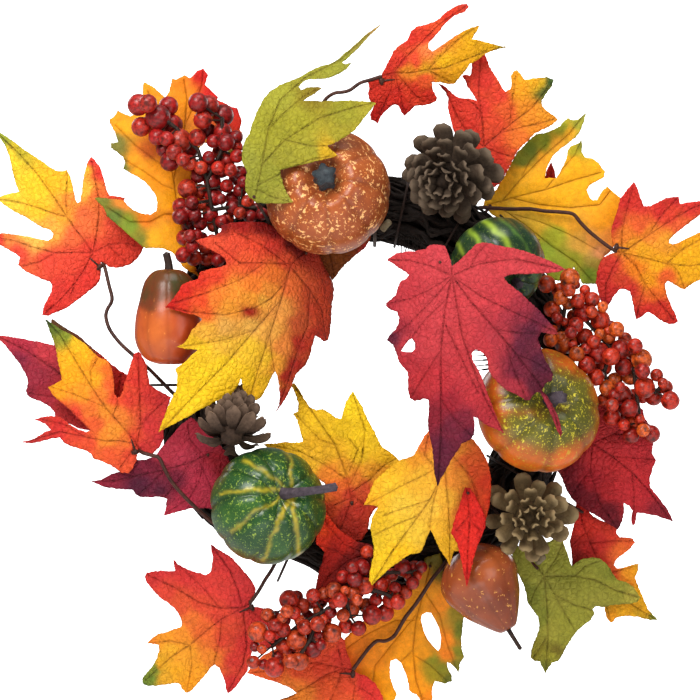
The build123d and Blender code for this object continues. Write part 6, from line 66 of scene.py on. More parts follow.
    # leaf_16: the dark olive notes at its top, under the ring, are painted shade
    "leaf_16": {'anchor': (39.4, -45.4, -325.6), 'slope': (-0.02, -0.24), 'axis_deg': 90, 'bend_r': 260, 'outline': [(42.8, -280.8), (53.5, -277.2), (55.7, -285.8), (56.1, -296.7), (58.7, -306.8), (64.4, -315.5), (70.9, -322.1), (70.2, -329.3), (68.9, -340.2), (69.6, -347.5), (71.1, -352.6), (68.2, -356.9), (67.5, -363.8), (64.6, -360.6), (61.0, -356.9), (58.9, -356.2), (59.6, -360.5), (62.5, -366.4), (62.5, -370.0), (57.5, -371.8), (53.9, -370.7), (50.3, -370.0), (48.9, -372.9), (48.2, -378.7), (48.9, -386.8), (44.6, -389.7), (39.5, -383.8), (37.4, -380.2), (33.8, -378.7), (31.6, -376.6), (30.9, -370.7), (28.7, -363.4), (25.8, -356.9), (22.2, -354.0), (18.6, -355.5), (17.9, -360.6), (18.0, -367.1), (20.1, -373.7), (23.0, -379.5), (21.6, -383.2), (16.6, -388.3), (7.9, -391.3), (-5.0, -378.3), (-14.4, -363.8), (-17.3, -351.5), (-14.4, -339.1), (-7.2, -331.7), (3.5, -322.2), (14.3, -312.7), (25.0, -305.4), (34.3, -298.1), (40.0, -289.4)], 'holes': [[(40.1, -325.6), (40.8, -322.0), (43.7, -320.2), (47.2, -320.5), (50.1, -325.6), (53.0, -331.4), (54.5, -338.7), (53.8, -346.0), (52.4, -348.1), (48.8, -344.5), (45.2, -340.1), (42.3, -334.3)]], 'hub': (46.4, -289.4), 'veins': [[(47.1, -284.4), (42.2, -303.9), (36.5, -325.6), (34.4, -347.4), (36.6, -369.3), (42.4, -386.8)], [(42.2, -303.9), (53.7, -322.0), (58.1, -340.2), (65.4, -360.6)], [(37.9, -319.8), (21.5, -340.2), (7.2, -358.5), (3.6, -384.1)], [(34.4, -347.4), (25.1, -356.2), (22.3, -376.6)], [(35.1, -351.1), (46.7, -358.3), (58.2, -369.3)], [(36.5, -325.6), (21.5, -325.7), (-0.0, -336.7), (-13.0, -346.3)]], 'colours': [(47.8, -280.8, 110, 100, 30), (53.6, -289.4, 120, 105, 30), (42.9, -293.1, 200, 130, 25), (46.5, -303.9, 238, 150, 25), (35.7, -311.1, 240, 150, 20), (53.7, -311.1, 238, 140, 25), (25.0, -322.0, 242, 150, 20), (10.7, -336.6, 240, 140, 25), (-3.6, -344.0, 236, 125, 25), (-10.8, -355.0, 236, 120, 28), (5.0, -354.9, 238, 135, 20), (10.8, -369.4, 240, 150, 15), (14.4, -384.0, 240, 160, 12), (3.6, -380.4, 238, 140, 18), (28.7, -340.2, 240, 145, 18), (32.3, -354.7, 242, 150, 12), (34.5, -365.6, 240, 145, 15), (39.5, -376.5, 240, 145, 15), (46.7, -383.8, 236, 130, 15), (57.3, -314.8, 240, 140, 30), (64.4, -319.9, 150, 130, 35), (68.1, -332.9, 110, 115, 30), (66.7, -347.5, 120, 118, 28), (67.5, -360.6, 110, 105, 28), (59.5, -340.2, 236, 130, 25), (57.4, -351.1, 225, 120, 25), (48.1, -354.7, 130, 125, 25), (53.9, -362.0, 120, 115, 25), (61.1, -369.3, 100, 100, 25), (43.0, -351.0, 225, 140, 15), (50.3, -365.6, 150, 130, 20), (39.4, -329.3, 240, 150, 18)], 'crackle': 0.25},
    "leaf_17": {'anchor': (-14.4, -67.4, -210.5), 'slope': (-0.04, 0.06), 'axis_deg': 20, 'bend_r': 200, 'outline': [(-50.9, -155.4), (-46.6, -161.4), (-43.0, -167.8), (-39.4, -172.8), (-35.1, -174.9), (-30.1, -174.2), (-25.1, -177.1), (-20.8, -180.6), (-17.2, -181.3), (-15.8, -176.3), (-13.7, -169.2), (-10.8, -164.2), (-8.7, -161.7), (-5.8, -166.4), (-1.5, -173.5), (2.0, -182.0), (7.0, -190.6), (9.9, -197.0), (12.0, -201.2), (17.7, -204.8), (24.1, -210.5), (28.4, -217.6), (23.4, -229.0), (16.3, -236.2), (11.3, -242.3), (6.3, -246.2), (3.5, -251.9), (2.0, -260.5), (-2.2, -267.7), (-14.4, -271.3), (-26.5, -271.2), (-32.9, -267.6), (-35.0, -253.3), (-30.8, -239.0), (-28.6, -227.6), (-34.3, -223.3), (-42.9, -217.7), (-50.0, -213.4), (-58.6, -208.4), (-67.9, -203.5), (-72.9, -199.2), (-64.3, -198.8), (-57.2, -197.7), (-50.0, -198.1), (-44.3, -197.4), (-46.5, -189.2), (-48.6, -182.1), (-51.5, -177.8), (-47.9, -175.7), (-48.0, -170.0), (-50.1, -162.8), (-53.0, -157.1)], 'holes': [], 'hub': (-9.4, -233.3), 'veins': [[(-9.4, -239.0), (-14.4, -217.6), (-21.5, -199.8), (-33.6, -182.1), (-50.1, -158.6)], [(-10.8, -228.3), (-2.2, -210.5), (-0.1, -189.1), (-7.9, -164.9)], [(-12.2, -224.8), (-28.6, -214.1), (-46.5, -204.8), (-67.9, -199.9)], [(-9.4, -233.3), (3.5, -224.7), (14.1, -214.1), (22.0, -209.8)], [(-9.4, -235.5), (-0.1, -242.6), (9.9, -242.6)], [(-9.4, -237.6), (-14.4, -253.3), (-21.5, -267.7)], [(-9.4, -237.6), (-21.5, -242.6), (-30.8, -249.7)], [(-21.5, -199.8), (-32.2, -196.3), (-48.7, -179.2)], [(-10.8, -217.6), (-5.1, -203.4), (-10.8, -196.3)]], 'colours': [(-51.6, -156.4, 225, 170, 25), (-46.5, -167.8, 232, 180, 25), (-39.4, -176.4, 236, 185, 28), (-46.5, -189.2, 236, 185, 30), (-28.6, -185.6, 228, 180, 25), (-35.8, -199.9, 228, 170, 28), (-64.3, -199.9, 232, 175, 25), (-50.0, -207.0, 238, 185, 35), (-39.3, -210.5, 240, 180, 40), (-25.1, -203.4, 222, 165, 28), (-8.7, -163.5, 245, 205, 30), (-10.8, -174.9, 246, 205, 28), (-14.4, -185.6, 225, 180, 20), (-3.7, -189.1, 240, 195, 25), (7.0, -196.3, 225, 180, 22), (-3.7, -206.9, 222, 175, 25), (14.1, -206.9, 235, 180, 28), (23.4, -211.9, 238, 180, 30), (-14.4, -217.6, 226, 150, 35), (-25.1, -221.2, 232, 130, 38), (-14.4, -226.2, 222, 100, 35), (-7.2, -223.3, 222, 120, 38), (3.5, -221.2, 225, 150, 35), (14.1, -221.2, 230, 150, 35), (-21.5, -231.9, 215, 85, 35), (-10.8, -235.5, 195, 60, 35), (-0.1, -231.9, 205, 75, 38), (7.0, -239.0, 190, 55, 32), (-3.7, -246.2, 180, 45, 30), (-14.4, -249.7, 165, 38, 25), (-25.1, -246.2, 190, 60, 25), (-28.6, -231.9, 225, 110, 30), (-7.2, -260.5, 160, 35, 22), (-21.5, -264.1, 150, 32, 20)]},
    "leaf_18": {'anchor': (45.8, -95.4, -241.8), 'slope': (-0.02, 0.02), 'axis_deg': 70, 'bend_r': 200, 'outline': [(23.9, -210.0), (29.6, -208.6), (34.5, -206.5), (37.4, -200.8), (40.9, -194.4), (44.4, -189.5), (56.5, -187.3), (68.5, -189.4), (77.0, -195.8), (82.7, -203.6), (86.9, -212.1), (89.1, -222.0), (89.1, -232.7), (87.7, -243.3), (85.5, -252.5), (81.3, -263.1), (77.0, -272.3), (71.3, -278.0), (65.7, -274.4), (62.8, -274.4), (60.0, -284.7), (57.2, -279.3), (52.9, -273.7), (49.4, -265.9), (46.2, -259.1), (43.7, -265.1), (40.9, -272.2), (38.7, -275.8), (31.7, -276.5), (24.6, -281.4), (17.5, -286.4), (10.4, -292.8), (4.8, -298.8), (2.7, -294.9), (3.4, -287.9), (5.5, -279.4), (6.2, -272.3), (4.8, -265.3), (3.4, -258.2), (4.8, -250.4), (9.0, -243.3), (3.4, -241.6), (-1.2, -242.3), (2.0, -235.6), (4.1, -229.9), (6.9, -224.2), (13.3, -218.6), (19.0, -214.3)], 'holes': [], 'hub': (61.4, -204.3), 'veins': [[(63.5, -197.9), (56.4, -217.0), (45.8, -238.3), (33.1, -256.0), (18.9, -275.1), (5.5, -297.0)], [(58.6, -211.4), (42.3, -220.6), (24.6, -229.1), (2.0, -241.2)], [(56.4, -217.0), (58.6, -238.3), (60.0, -259.5), (60.0, -282.2)], [(61.4, -206.4), (74.1, -220.6), (79.8, -238.3), (81.3, -259.6)], [(45.8, -238.3), (28.1, -244.0), (14.0, -249.0)], [(50.8, -229.8), (47.2, -245.3), (45.8, -257.4)], [(52.9, -220.6), (42.3, -206.4), (44.4, -193.7)], [(38.7, -248.9), (21.1, -256.0), (6.9, -263.1)]], 'colours': [(38.8, -199.4, 230, 120, 45), (33.1, -208.6, 232, 150, 35), (44.4, -192.3, 232, 110, 45), (24.6, -213.6, 238, 175, 35), (14.0, -220.7, 240, 180, 35), (3.4, -238.4, 240, 170, 28), (6.9, -231.3, 242, 180, 35), (17.5, -231.3, 240, 185, 40), (24.6, -241.8, 238, 190, 55), (38.8, -224.1, 236, 175, 45), (52.9, -210.0, 234, 160, 45), (63.5, -202.9, 232, 135, 45), (45.8, -245.3, 235, 180, 55), (35.2, -259.5, 232, 185, 50), (21.1, -259.5, 230, 185, 40), (10.4, -252.5, 222, 175, 30), (4.8, -270.2, 220, 180, 30), (14.0, -280.8, 232, 185, 25), (4.8, -297.0, 235, 190, 20), (24.6, -277.2, 235, 180, 20), (56.4, -238.3, 236, 170, 48), (52.9, -256.0, 232, 170, 40), (60.0, -270.1, 228, 170, 30), (60.0, -282.2, 215, 155, 20), (67.1, -224.1, 236, 140, 45), (74.1, -210.0, 228, 95, 40), (77.7, -217.1, 222, 80, 35), (84.8, -224.2, 205, 55, 25), (86.9, -238.3, 195, 45, 20), (81.3, -238.3, 215, 70, 30), (81.3, -256.0, 190, 40, 20), (74.2, -270.2, 180, 38, 22), (70.6, -248.9, 225, 110, 40)]},
    # leaf_19: its dark red notes are painted shade; the leaf lies in shadow behind leaf_17
    "leaf_19": {'anchor': (-14.4, -73.4, -285.1), 'slope': (0.0, 0.05), 'axis_deg': 90, 'bend_r': 180, 'outline': [(-33.6, -237.2), (-27.2, -248.9), (-19.3, -259.5), (-6.5, -268.1), (4.9, -270.9), (9.1, -281.6), (7.0, -295.8), (-3.7, -310.0), (-21.5, -313.5), (-36.8, -307.9), (-35.0, -299.4), (-32.9, -288.7), (-30.0, -281.6), (-29.0, -275.9), (-35.0, -269.9), (-34.3, -253.2)], 'holes': [], 'hub': (2.0, -278.0), 'veins': [[(4.9, -276.6), (-10.8, -281.6), (-25.0, -292.2), (-35.0, -305.8)], [(2.0, -278.0), (-14.4, -270.9), (-27.2, -256.7), (-32.9, -239.7)], [(-10.8, -281.6), (-21.5, -274.5), (-33.6, -270.9)]], 'colours': [(-32.2, -238.9, 235, 70, 25), (-30.7, -249.6, 236, 66, 25), (-32.2, -260.3, 238, 70, 25), (-25.0, -256.7, 225, 50, 22), (-14.4, -267.4, 190, 35, 20), (-32.2, -270.9, 225, 50, 25), (-21.5, -274.5, 170, 28, 18), (-28.6, -281.6, 160, 26, 18), (-14.4, -281.6, 120, 18, 14), (-0.1, -273.1, 110, 18, 15), (3.4, -285.2, 100, 15, 12), (-10.8, -295.8, 95, 14, 12), (-28.6, -299.3, 150, 25, 16), (-35.0, -306.5, 170, 32, 20)]},
    "leaf_20": {'anchor': (177.0, -45.9, -214.5), 'slope': (0.04, 0.0), 'axis_deg': 120, 'bend_r': 220, 'outline': [(136.9, -217.4), (141.2, -223.9), (144.1, -231.8), (147.7, -238.2), (154.1, -244.0), (161.3, -248.2), (168.4, -252.5), (175.6, -257.6), (181.3, -260.8), (184.2, -255.4), (185.6, -248.2), (185.6, -241.8), (189.2, -243.9), (192.0, -247.5), (190.6, -253.2), (191.7, -258.6), (193.8, -256.8), (194.9, -248.9), (200.7, -249.3), (209.3, -251.1), (215.1, -253.3), (220.8, -255.1), (219.4, -250.4), (215.1, -244.0), (210.0, -237.5), (204.3, -230.0), (204.3, -223.2), (206.5, -216.7), (208.7, -211.0), (205.8, -206.0), (206.5, -201.0), (208.0, -193.8), (204.4, -185.9), (200.8, -180.9), (199.4, -175.1), (195.8, -170.8), (190.0, -170.1), (179.2, -167.2), (170.5, -166.5), (162.6, -175.1), (152.6, -190.9), (141.9, -205.2)], 'holes': [], 'hub': (162.6, -198.7), 'veins': [[(156.9, -195.2), (162.6, -198.7), (177.0, -208.1), (191.3, -219.6), (204.3, -233.9), (218.7, -253.3)], [(162.6, -198.7), (161.2, -218.1), (167.0, -239.6), (179.9, -259.0)], [(162.6, -198.7), (179.1, -191.6), (193.6, -180.9), (196.5, -173.0)], [(177.0, -208.1), (193.5, -209.5), (208.0, -210.3)], [(162.6, -198.7), (152.6, -209.5), (141.2, -219.6)], [(191.3, -219.6), (192.8, -236.0), (192.1, -256.1)], [(161.2, -218.1), (152.6, -228.9), (147.7, -237.5)], [(179.1, -191.6), (193.6, -193.8), (205.8, -196.7)]], 'colours': [(197.3, -173.7, 175, 40, 50), (190.0, -182.3, 185, 45, 52), (208.0, -196.7, 185, 40, 48), (197.1, -203.8, 192, 44, 50), (175.5, -189.4, 188, 48, 50), (161.2, -196.6, 185, 40, 45), (168.4, -210.9, 196, 46, 50), (182.7, -218.1, 198, 45, 48), (197.1, -225.3, 188, 40, 45), (204.3, -232.5, 175, 34, 42), (220.1, -254.0, 125, 25, 38), (211.5, -245.4, 130, 26, 38), (175.5, -232.4, 188, 40, 45), (161.2, -225.3, 170, 32, 42), (146.9, -221.7, 120, 24, 35), (150.5, -232.5, 110, 20, 34), (161.2, -239.6, 120, 22, 34), (175.6, -250.4, 110, 20, 32), (180.6, -259.0, 90, 18, 28), (192.1, -254.0, 165, 34, 42), (191.3, -239.6, 188, 40, 46), (139.7, -218.1, 130, 30, 35), (150.4, -203.8, 165, 38, 40)]},
    "leaf_21": {'anchor': (172.4, -35.4, -283.0), 'slope': (0.02, 0.0), 'axis_deg': 60, 'bend_r': 240, 'outline': [(151.7, -241.4), (151.0, -247.9), (151.0, -254.3), (149.5, -260.1), (148.1, -265.1), (147.3, -270.1), (148.0, -275.8), (148.7, -283.0), (148.0, -291.6), (150.9, -301.0), (157.3, -308.9), (164.5, -313.2), (171.7, -316.1), (172.5, -320.4), (173.9, -324.7), (176.1, -328.0), (178.3, -327.6), (180.4, -324.8), (184.8, -323.6), (190.6, -323.4), (197.8, -324.5), (205.1, -326.4), (210.9, -326.5), (208.0, -323.5), (203.6, -318.4), (200.7, -311.9), (197.7, -304.7), (195.5, -299.6), (194.1, -296.0), (196.2, -290.3), (196.9, -285.9), (194.1, -285.9), (189.0, -287.3), (184.7, -288.8), (181.1, -288.8), (178.9, -286.6), (180.3, -283.0), (184.7, -279.4), (190.4, -275.1), (194.0, -270.8), (192.6, -267.9), (188.3, -266.8), (183.2, -266.5), (180.7, -264.3), (181.1, -260.0), (176.0, -256.4), (168.9, -254.3), (163.1, -250.7), (158.9, -245.7), (156.0, -242.1)], 'holes': [], 'hub': (163.1, -272.2), 'veins': [[(153.8, -244.3), (156.7, -257.9), (163.1, -274.4), (172.4, -293.8), (186.9, -311.8), (208.7, -325.7)], [(161.7, -270.8), (177.5, -269.3), (192.6, -269.4)], [(172.4, -293.8), (184.7, -290.2), (195.5, -287.4)], [(172.4, -293.8), (172.5, -311.8), (176.1, -326.2)], [(158.8, -262.9), (152.3, -268.7), (148.8, -272.3)]], 'colours': [(153.1, -243.5, 205, 45, 35), (151.7, -254.3, 205, 42, 34), (149.5, -272.2, 170, 35, 32), (161.7, -261.5, 212, 50, 38), (168.8, -268.6, 200, 45, 38), (177.5, -265.0, 212, 55, 38), (190.4, -268.6, 228, 90, 40), (183.2, -275.8, 232, 105, 42), (161.7, -275.8, 190, 40, 36), (150.9, -279.4, 150, 30, 28), (168.8, -283.0, 205, 55, 38), (177.5, -293.8, 225, 80, 38), (190.5, -290.2, 238, 150, 30), (196.2, -287.4, 236, 165, 25), (186.9, -301.0, 232, 130, 30), (194.1, -308.3, 235, 165, 22), (201.4, -317.7, 225, 160, 22), (208.7, -325.7, 120, 120, 30), (197.8, -322.7, 200, 150, 25), (186.9, -320.5, 235, 165, 25), (177.5, -324.7, 235, 150, 25), (172.5, -315.4, 225, 160, 25), (167.4, -304.6, 225, 80, 35)]},
    "leaf_22": {'anchor': (139.7, -45.4, -311.3), 'slope': (0.03, 0.0), 'axis_deg': 60, 'bend_r': 220, 'outline': [(141.9, -269.0), (144.0, -274.8), (146.2, -281.2), (148.3, -287.6), (151.9, -284.1), (156.9, -281.6), (162.7, -280.9), (168.4, -281.9), (172.8, -284.8), (175.6, -288.4), (177.8, -292.8), (181.4, -297.1), (187.2, -298.6), (192.3, -301.8), (195.2, -305.8), (197.4, -309.5), (195.3, -313.1), (188.8, -314.4), (179.3, -314.7), (170.7, -316.4), (165.6, -316.0), (163.1, -317.8), (164.6, -321.4), (162.0, -325.4), (157.0, -329.3), (152.0, -333.6), (148.4, -338.6), (144.8, -344.3), (141.2, -350.8), (138.3, -355.1), (134.0, -356.5), (131.9, -359.3), (129.3, -364.0), (127.5, -360.8), (125.4, -355.4), (121.1, -355.0), (118.6, -352.8), (118.9, -347.8), (120.3, -342.8), (123.2, -336.4), (125.0, -329.9), (123.9, -323.5), (119.6, -317.7), (116.4, -312.7), (115.4, -307.0), (113.9, -301.3), (109.7, -292.7), (106.1, -282.7), (104.7, -274.2), (112.6, -272.0), (124.0, -271.2), (132.6, -269.1), (137.6, -266.2)], 'holes': [], 'hub': (128.3, -294.1), 'veins': [[(123.3, -287.7), (128.3, -294.1), (150.5, -294.1), (164.9, -297.0), (179.3, -304.3), (195.3, -309.4)], [(128.3, -294.1), (136.1, -307.7), (144.0, -322.1), (150.5, -332.9)], [(128.3, -294.1), (130.4, -314.9), (131.1, -336.4), (129.7, -361.5)], [(128.3, -294.1), (136.9, -281.2), (141.2, -271.2)], [(150.5, -294.1), (157.7, -286.9), (168.4, -283.4)], [(128.3, -294.1), (121.8, -304.1), (118.2, -313.4)], [(136.1, -307.7), (150.5, -314.9), (162.7, -318.5)], [(131.1, -336.4), (125.4, -345.7), (120.3, -352.8)]], 'colours': [(141.2, -270.5, 160, 153, 64), (136.2, -279.1, 150, 148, 55), (125.4, -276.9, 145, 145, 50), (111.1, -275.6, 145, 144, 55), (118.3, -289.8, 145, 144, 53), (129.0, -297.0, 150, 148, 57), (146.9, -286.2, 145, 144, 50), (168.4, -284.1, 135, 136, 47), (175.7, -293.5, 126, 127, 41), (161.3, -300.6, 145, 142, 50), (179.3, -305.7, 140, 135, 46), (193.8, -309.4, 160, 148, 55), (168.5, -311.4, 145, 139, 50), (139.7, -311.3, 150, 145, 53), (132.5, -332.8, 155, 149, 53), (150.5, -325.7, 145, 142, 47), (143.3, -340.0, 140, 136, 44), (132.6, -350.7, 145, 139, 41), (129.0, -361.5, 116, 117, 36), (121.8, -350.7, 140, 130, 38), (125.4, -325.6, 130, 133, 44), (118.2, -307.7, 126, 130, 44), (136.2, -347.1, 116, 103, 32)]},
    "leaf_23": {'anchor': (134.6, -7.4, -12.7), 'slope': (0.0, 0.0), 'axis_deg': 90.0, 'bend_r': 300, 'outline': [(126.7, -27.2), (128.9, -16.3), (131.0, -3.3), (134.6, 4.3), (137.5, -2.6), (139.7, -16.3), (142.6, -27.2), (134.6, -33.7)], 'holes': [], 'hub': (134.6, -27.2), 'veins': [[(134.6, -30.8), (134.6, 1.8)]], 'colours': [(134.6, 3.2, 170, 35, 25), (134.6, -5.5, 175, 32, 25), (134.6, -27.2, 170, 30, 25)]},
    "leaf_24": {'anchor': (74.0, -103.4, -259.2), 'slope': (0.0, 0.12), 'axis_deg': 90, 'bend_r': 60, 'outline': [(70.5, -229.0), (74.0, -229.7), (77.6, -234.6), (81.8, -243.1), (85.3, -250.8), (84.6, -257.9), (81.0, -266.3), (78.2, -273.3), (76.0, -281.7), (73.9, -290.9), (71.7, -299.3), (69.6, -290.9), (67.6, -280.3), (64.8, -268.4), (60.6, -261.4), (62.7, -252.2), (66.2, -243.8), (68.4, -234.6)], 'holes': [], 'hub': (72.6, -232.5), 'veins': [[(71.9, -231.1), (74.0, -252.2), (72.5, -273.3), (71.7, -297.2)], [(74.0, -252.2), (81.0, -259.3)], [(74.0, -248.7), (64.8, -259.3)]], 'colours': [(71.2, -230.4, 190, 30, 22), (74.0, -238.1, 212, 36, 26), (79.6, -248.7, 205, 32, 25), (66.9, -248.7, 215, 40, 28), (62.0, -259.3, 195, 32, 25), (72.5, -259.2, 218, 38, 28), (82.4, -259.3, 205, 32, 25), (73.9, -276.8, 215, 36, 26), (71.0, -294.4, 195, 28, 22)]},
}
WIRES = {
    "leaf_01": {'route': [(-189.1, -24.1, -69.8), (-187.4, -23.6, -73.0), (-184.3, -28.4, -85.3), (-182.0, -31.4, -94.0), (-182.6, -33.4, -98.3), (-185.4, -35.4, -103.4), (-186.0, -37.4, -109.1), (-183.0, -40.4, -117.7), (-175.7, -44.4, -127.1), (-166.3, -45.9, -135.7), (-156.3, -45.4, -144.3), (-147.1, -41.4, -153.6), (-138.0, -36.4, -163.0), (-130.2, -32.4, -168.8)], 'pin_dir': (-0.6593, -0.0635, -0.7492), 'blade_dir': (-0.747, -0.0579, 0.6623), 'normal': (0.0854, -0.9963, 0.0093)},
    "leaf_05": {'route': [(11.4, -48.2, 63.8), (3.5, -48.4, 61.3), (-3.6, -48.4, 59.1), (-10.8, -48.4, 54.1), (-15.8, -47.4, 52.7), (-21.5, -47.4, 52.0), (-26.6, -46.4, 49.2), (-30.2, -45.4, 44.2), (-30.9, -44.4, 34.2), (-28.0, -43.4, 18.5), (-24.4, -42.4, 4.2), (-21.6, -39.4, -8.6), (-18.7, -35.4, -21.4)], 'pin_dir': (0.0995, 0.0277, -0.9947), 'blade_dir': (0.9947, 0.0219, 0.1001), 'normal': (0.0245, -0.9994, -0.0254)},
    "leaf_08": {'route': [(180.7, -27.6, -61.2), (172.8, -26.4, -55.8), (162.1, -24.4, -47.1), (155.0, -23.4, -39.8), (149.9, -22.9, -34.1), (140.6, -22.4, -32.6), (129.8, -21.9, -31.9), (119.0, -21.4, -30.4), (104.6, -20.9, -30.4), (90.2, -21.4, -29.7), (81.5, -23.4, -29.8), (72.0, -28.4, -34.9), (62.6, -31.4, -41.5)], 'pin_dir': (0.1191, 0.0124, 0.9928), 'blade_dir': (0.9923, -0.0359, -0.1186), 'normal': (-0.0342, -0.9993, 0.0166)},
    "leaf_12": {'route': [(-161.3, -55.1, -204.0), (-158.6, -60.4, -205.6), (-153.5, -62.4, -207.0), (-147.0, -64.9, -209.1), (-142.7, -66.9, -217.6), (-137.7, -67.9, -226.2), (-130.5, -68.4, -234.7), (-122.7, -68.4, -242.6), (-114.2, -65.4, -250.5), (-107.9, -59.4, -255.7), (-101.7, -52.4, -259.5), (-95.4, -44.4, -261.9), (-89.8, -38.4, -262.8)], 'pin_dir': (-0.9534, 0.0214, -0.3011), 'blade_dir': (-0.3018, -0.0811, 0.9499), 'normal': (0.004, -0.9965, -0.0838)},
    "leaf_14": {'route': [(-82.7, -33.9, -314.0), (-76.9, -34.4, -306.0), (-71.9, -35.4, -297.4), (-67.6, -35.4, -290.9), (-63.3, -34.4, -283.0), (-59.0, -32.4, -275.2)], 'pin_dir': (0.39, 0.0354, -0.9201), 'blade_dir': (-0.9208, 0.0085, -0.39), 'normal': (0.0059, -0.9993, -0.0359)},
    "leaf_15": {'route': [(-8.6, -39.1, -361.5), (-2.2, -41.4, -352.4), (3.5, -44.4, -345.0), (8.6, -45.9, -340.7), (14.3, -46.9, -340.6), (20.0, -48.4, -337.7), (23.6, -49.9, -332.6), (28.5, -53.4, -323.8), (35.7, -56.9, -314.3), (42.8, -60.4, -303.5), (48.4, -62.4, -294.8), (54.9, -62.4, -287.0), (60.0, -56.4, -280.8), (64.4, -47.4, -274.7), (67.4, -39.4, -269.2)], 'pin_dir': (-0.0499, -0.0121, -0.9987), 'blade_dir': (-0.9982, 0.033, 0.0495), 'normal': (-0.0324, -0.9994, 0.0137)},
}
RING = (-27.4, -157.3)
SHORT_STEMS = [((-120.0, -51.1, -75.3), (-112.3, -33.4, -80.6)), ((-181.4, -31.9, -180.4), (-138.9, -35.4, -175.0)), ((-78.3, -126.5, -24.4), (-66.0, -37.4, -45.3)), ((80.2, -31.5, -1.1), (64.0, -33.4, -32.8)), ((90.8, -13.5, -27.4), (78.5, -19.4, -45.0)), ((135.3, -7.3, -25.1), (95.8, -13.4, -63.6)), ((52.4, -123.4, -70.4), (59.6, -35.4, -59.5)), ((-31.4, -48.3, -58.1), (-34.4, -33.4, -48.6)), ((-42.0, -68.1, -63.2), (-46.5, -35.4, -53.2)), ((-112.3, -59.0, -207.1), (-111.5, -35.4, -206.8)), ((46.5, -55.7, -286.8), (44.6, -35.4, -281.5)), ((-9.3, -67.7, -240.5), (-12.7, -39.4, -270.6)), ((3.4, -73.0, -276.5), (3.6, -37.4, -281.2)), ((63.1, -95.7, -199.1), (93.4, -37.4, -219.1)), ((72.6, -101.2, -233.2), (72.6, -86.3, -233.2)), ((159.9, -46.8, -196.1), (136.1, -39.4, -190.3)), ((156.8, -33.6, -249.0), (120.8, -35.4, -228.0)), ((123.9, -44.5, -289.0), (95.9, -37.4, -259.3))]
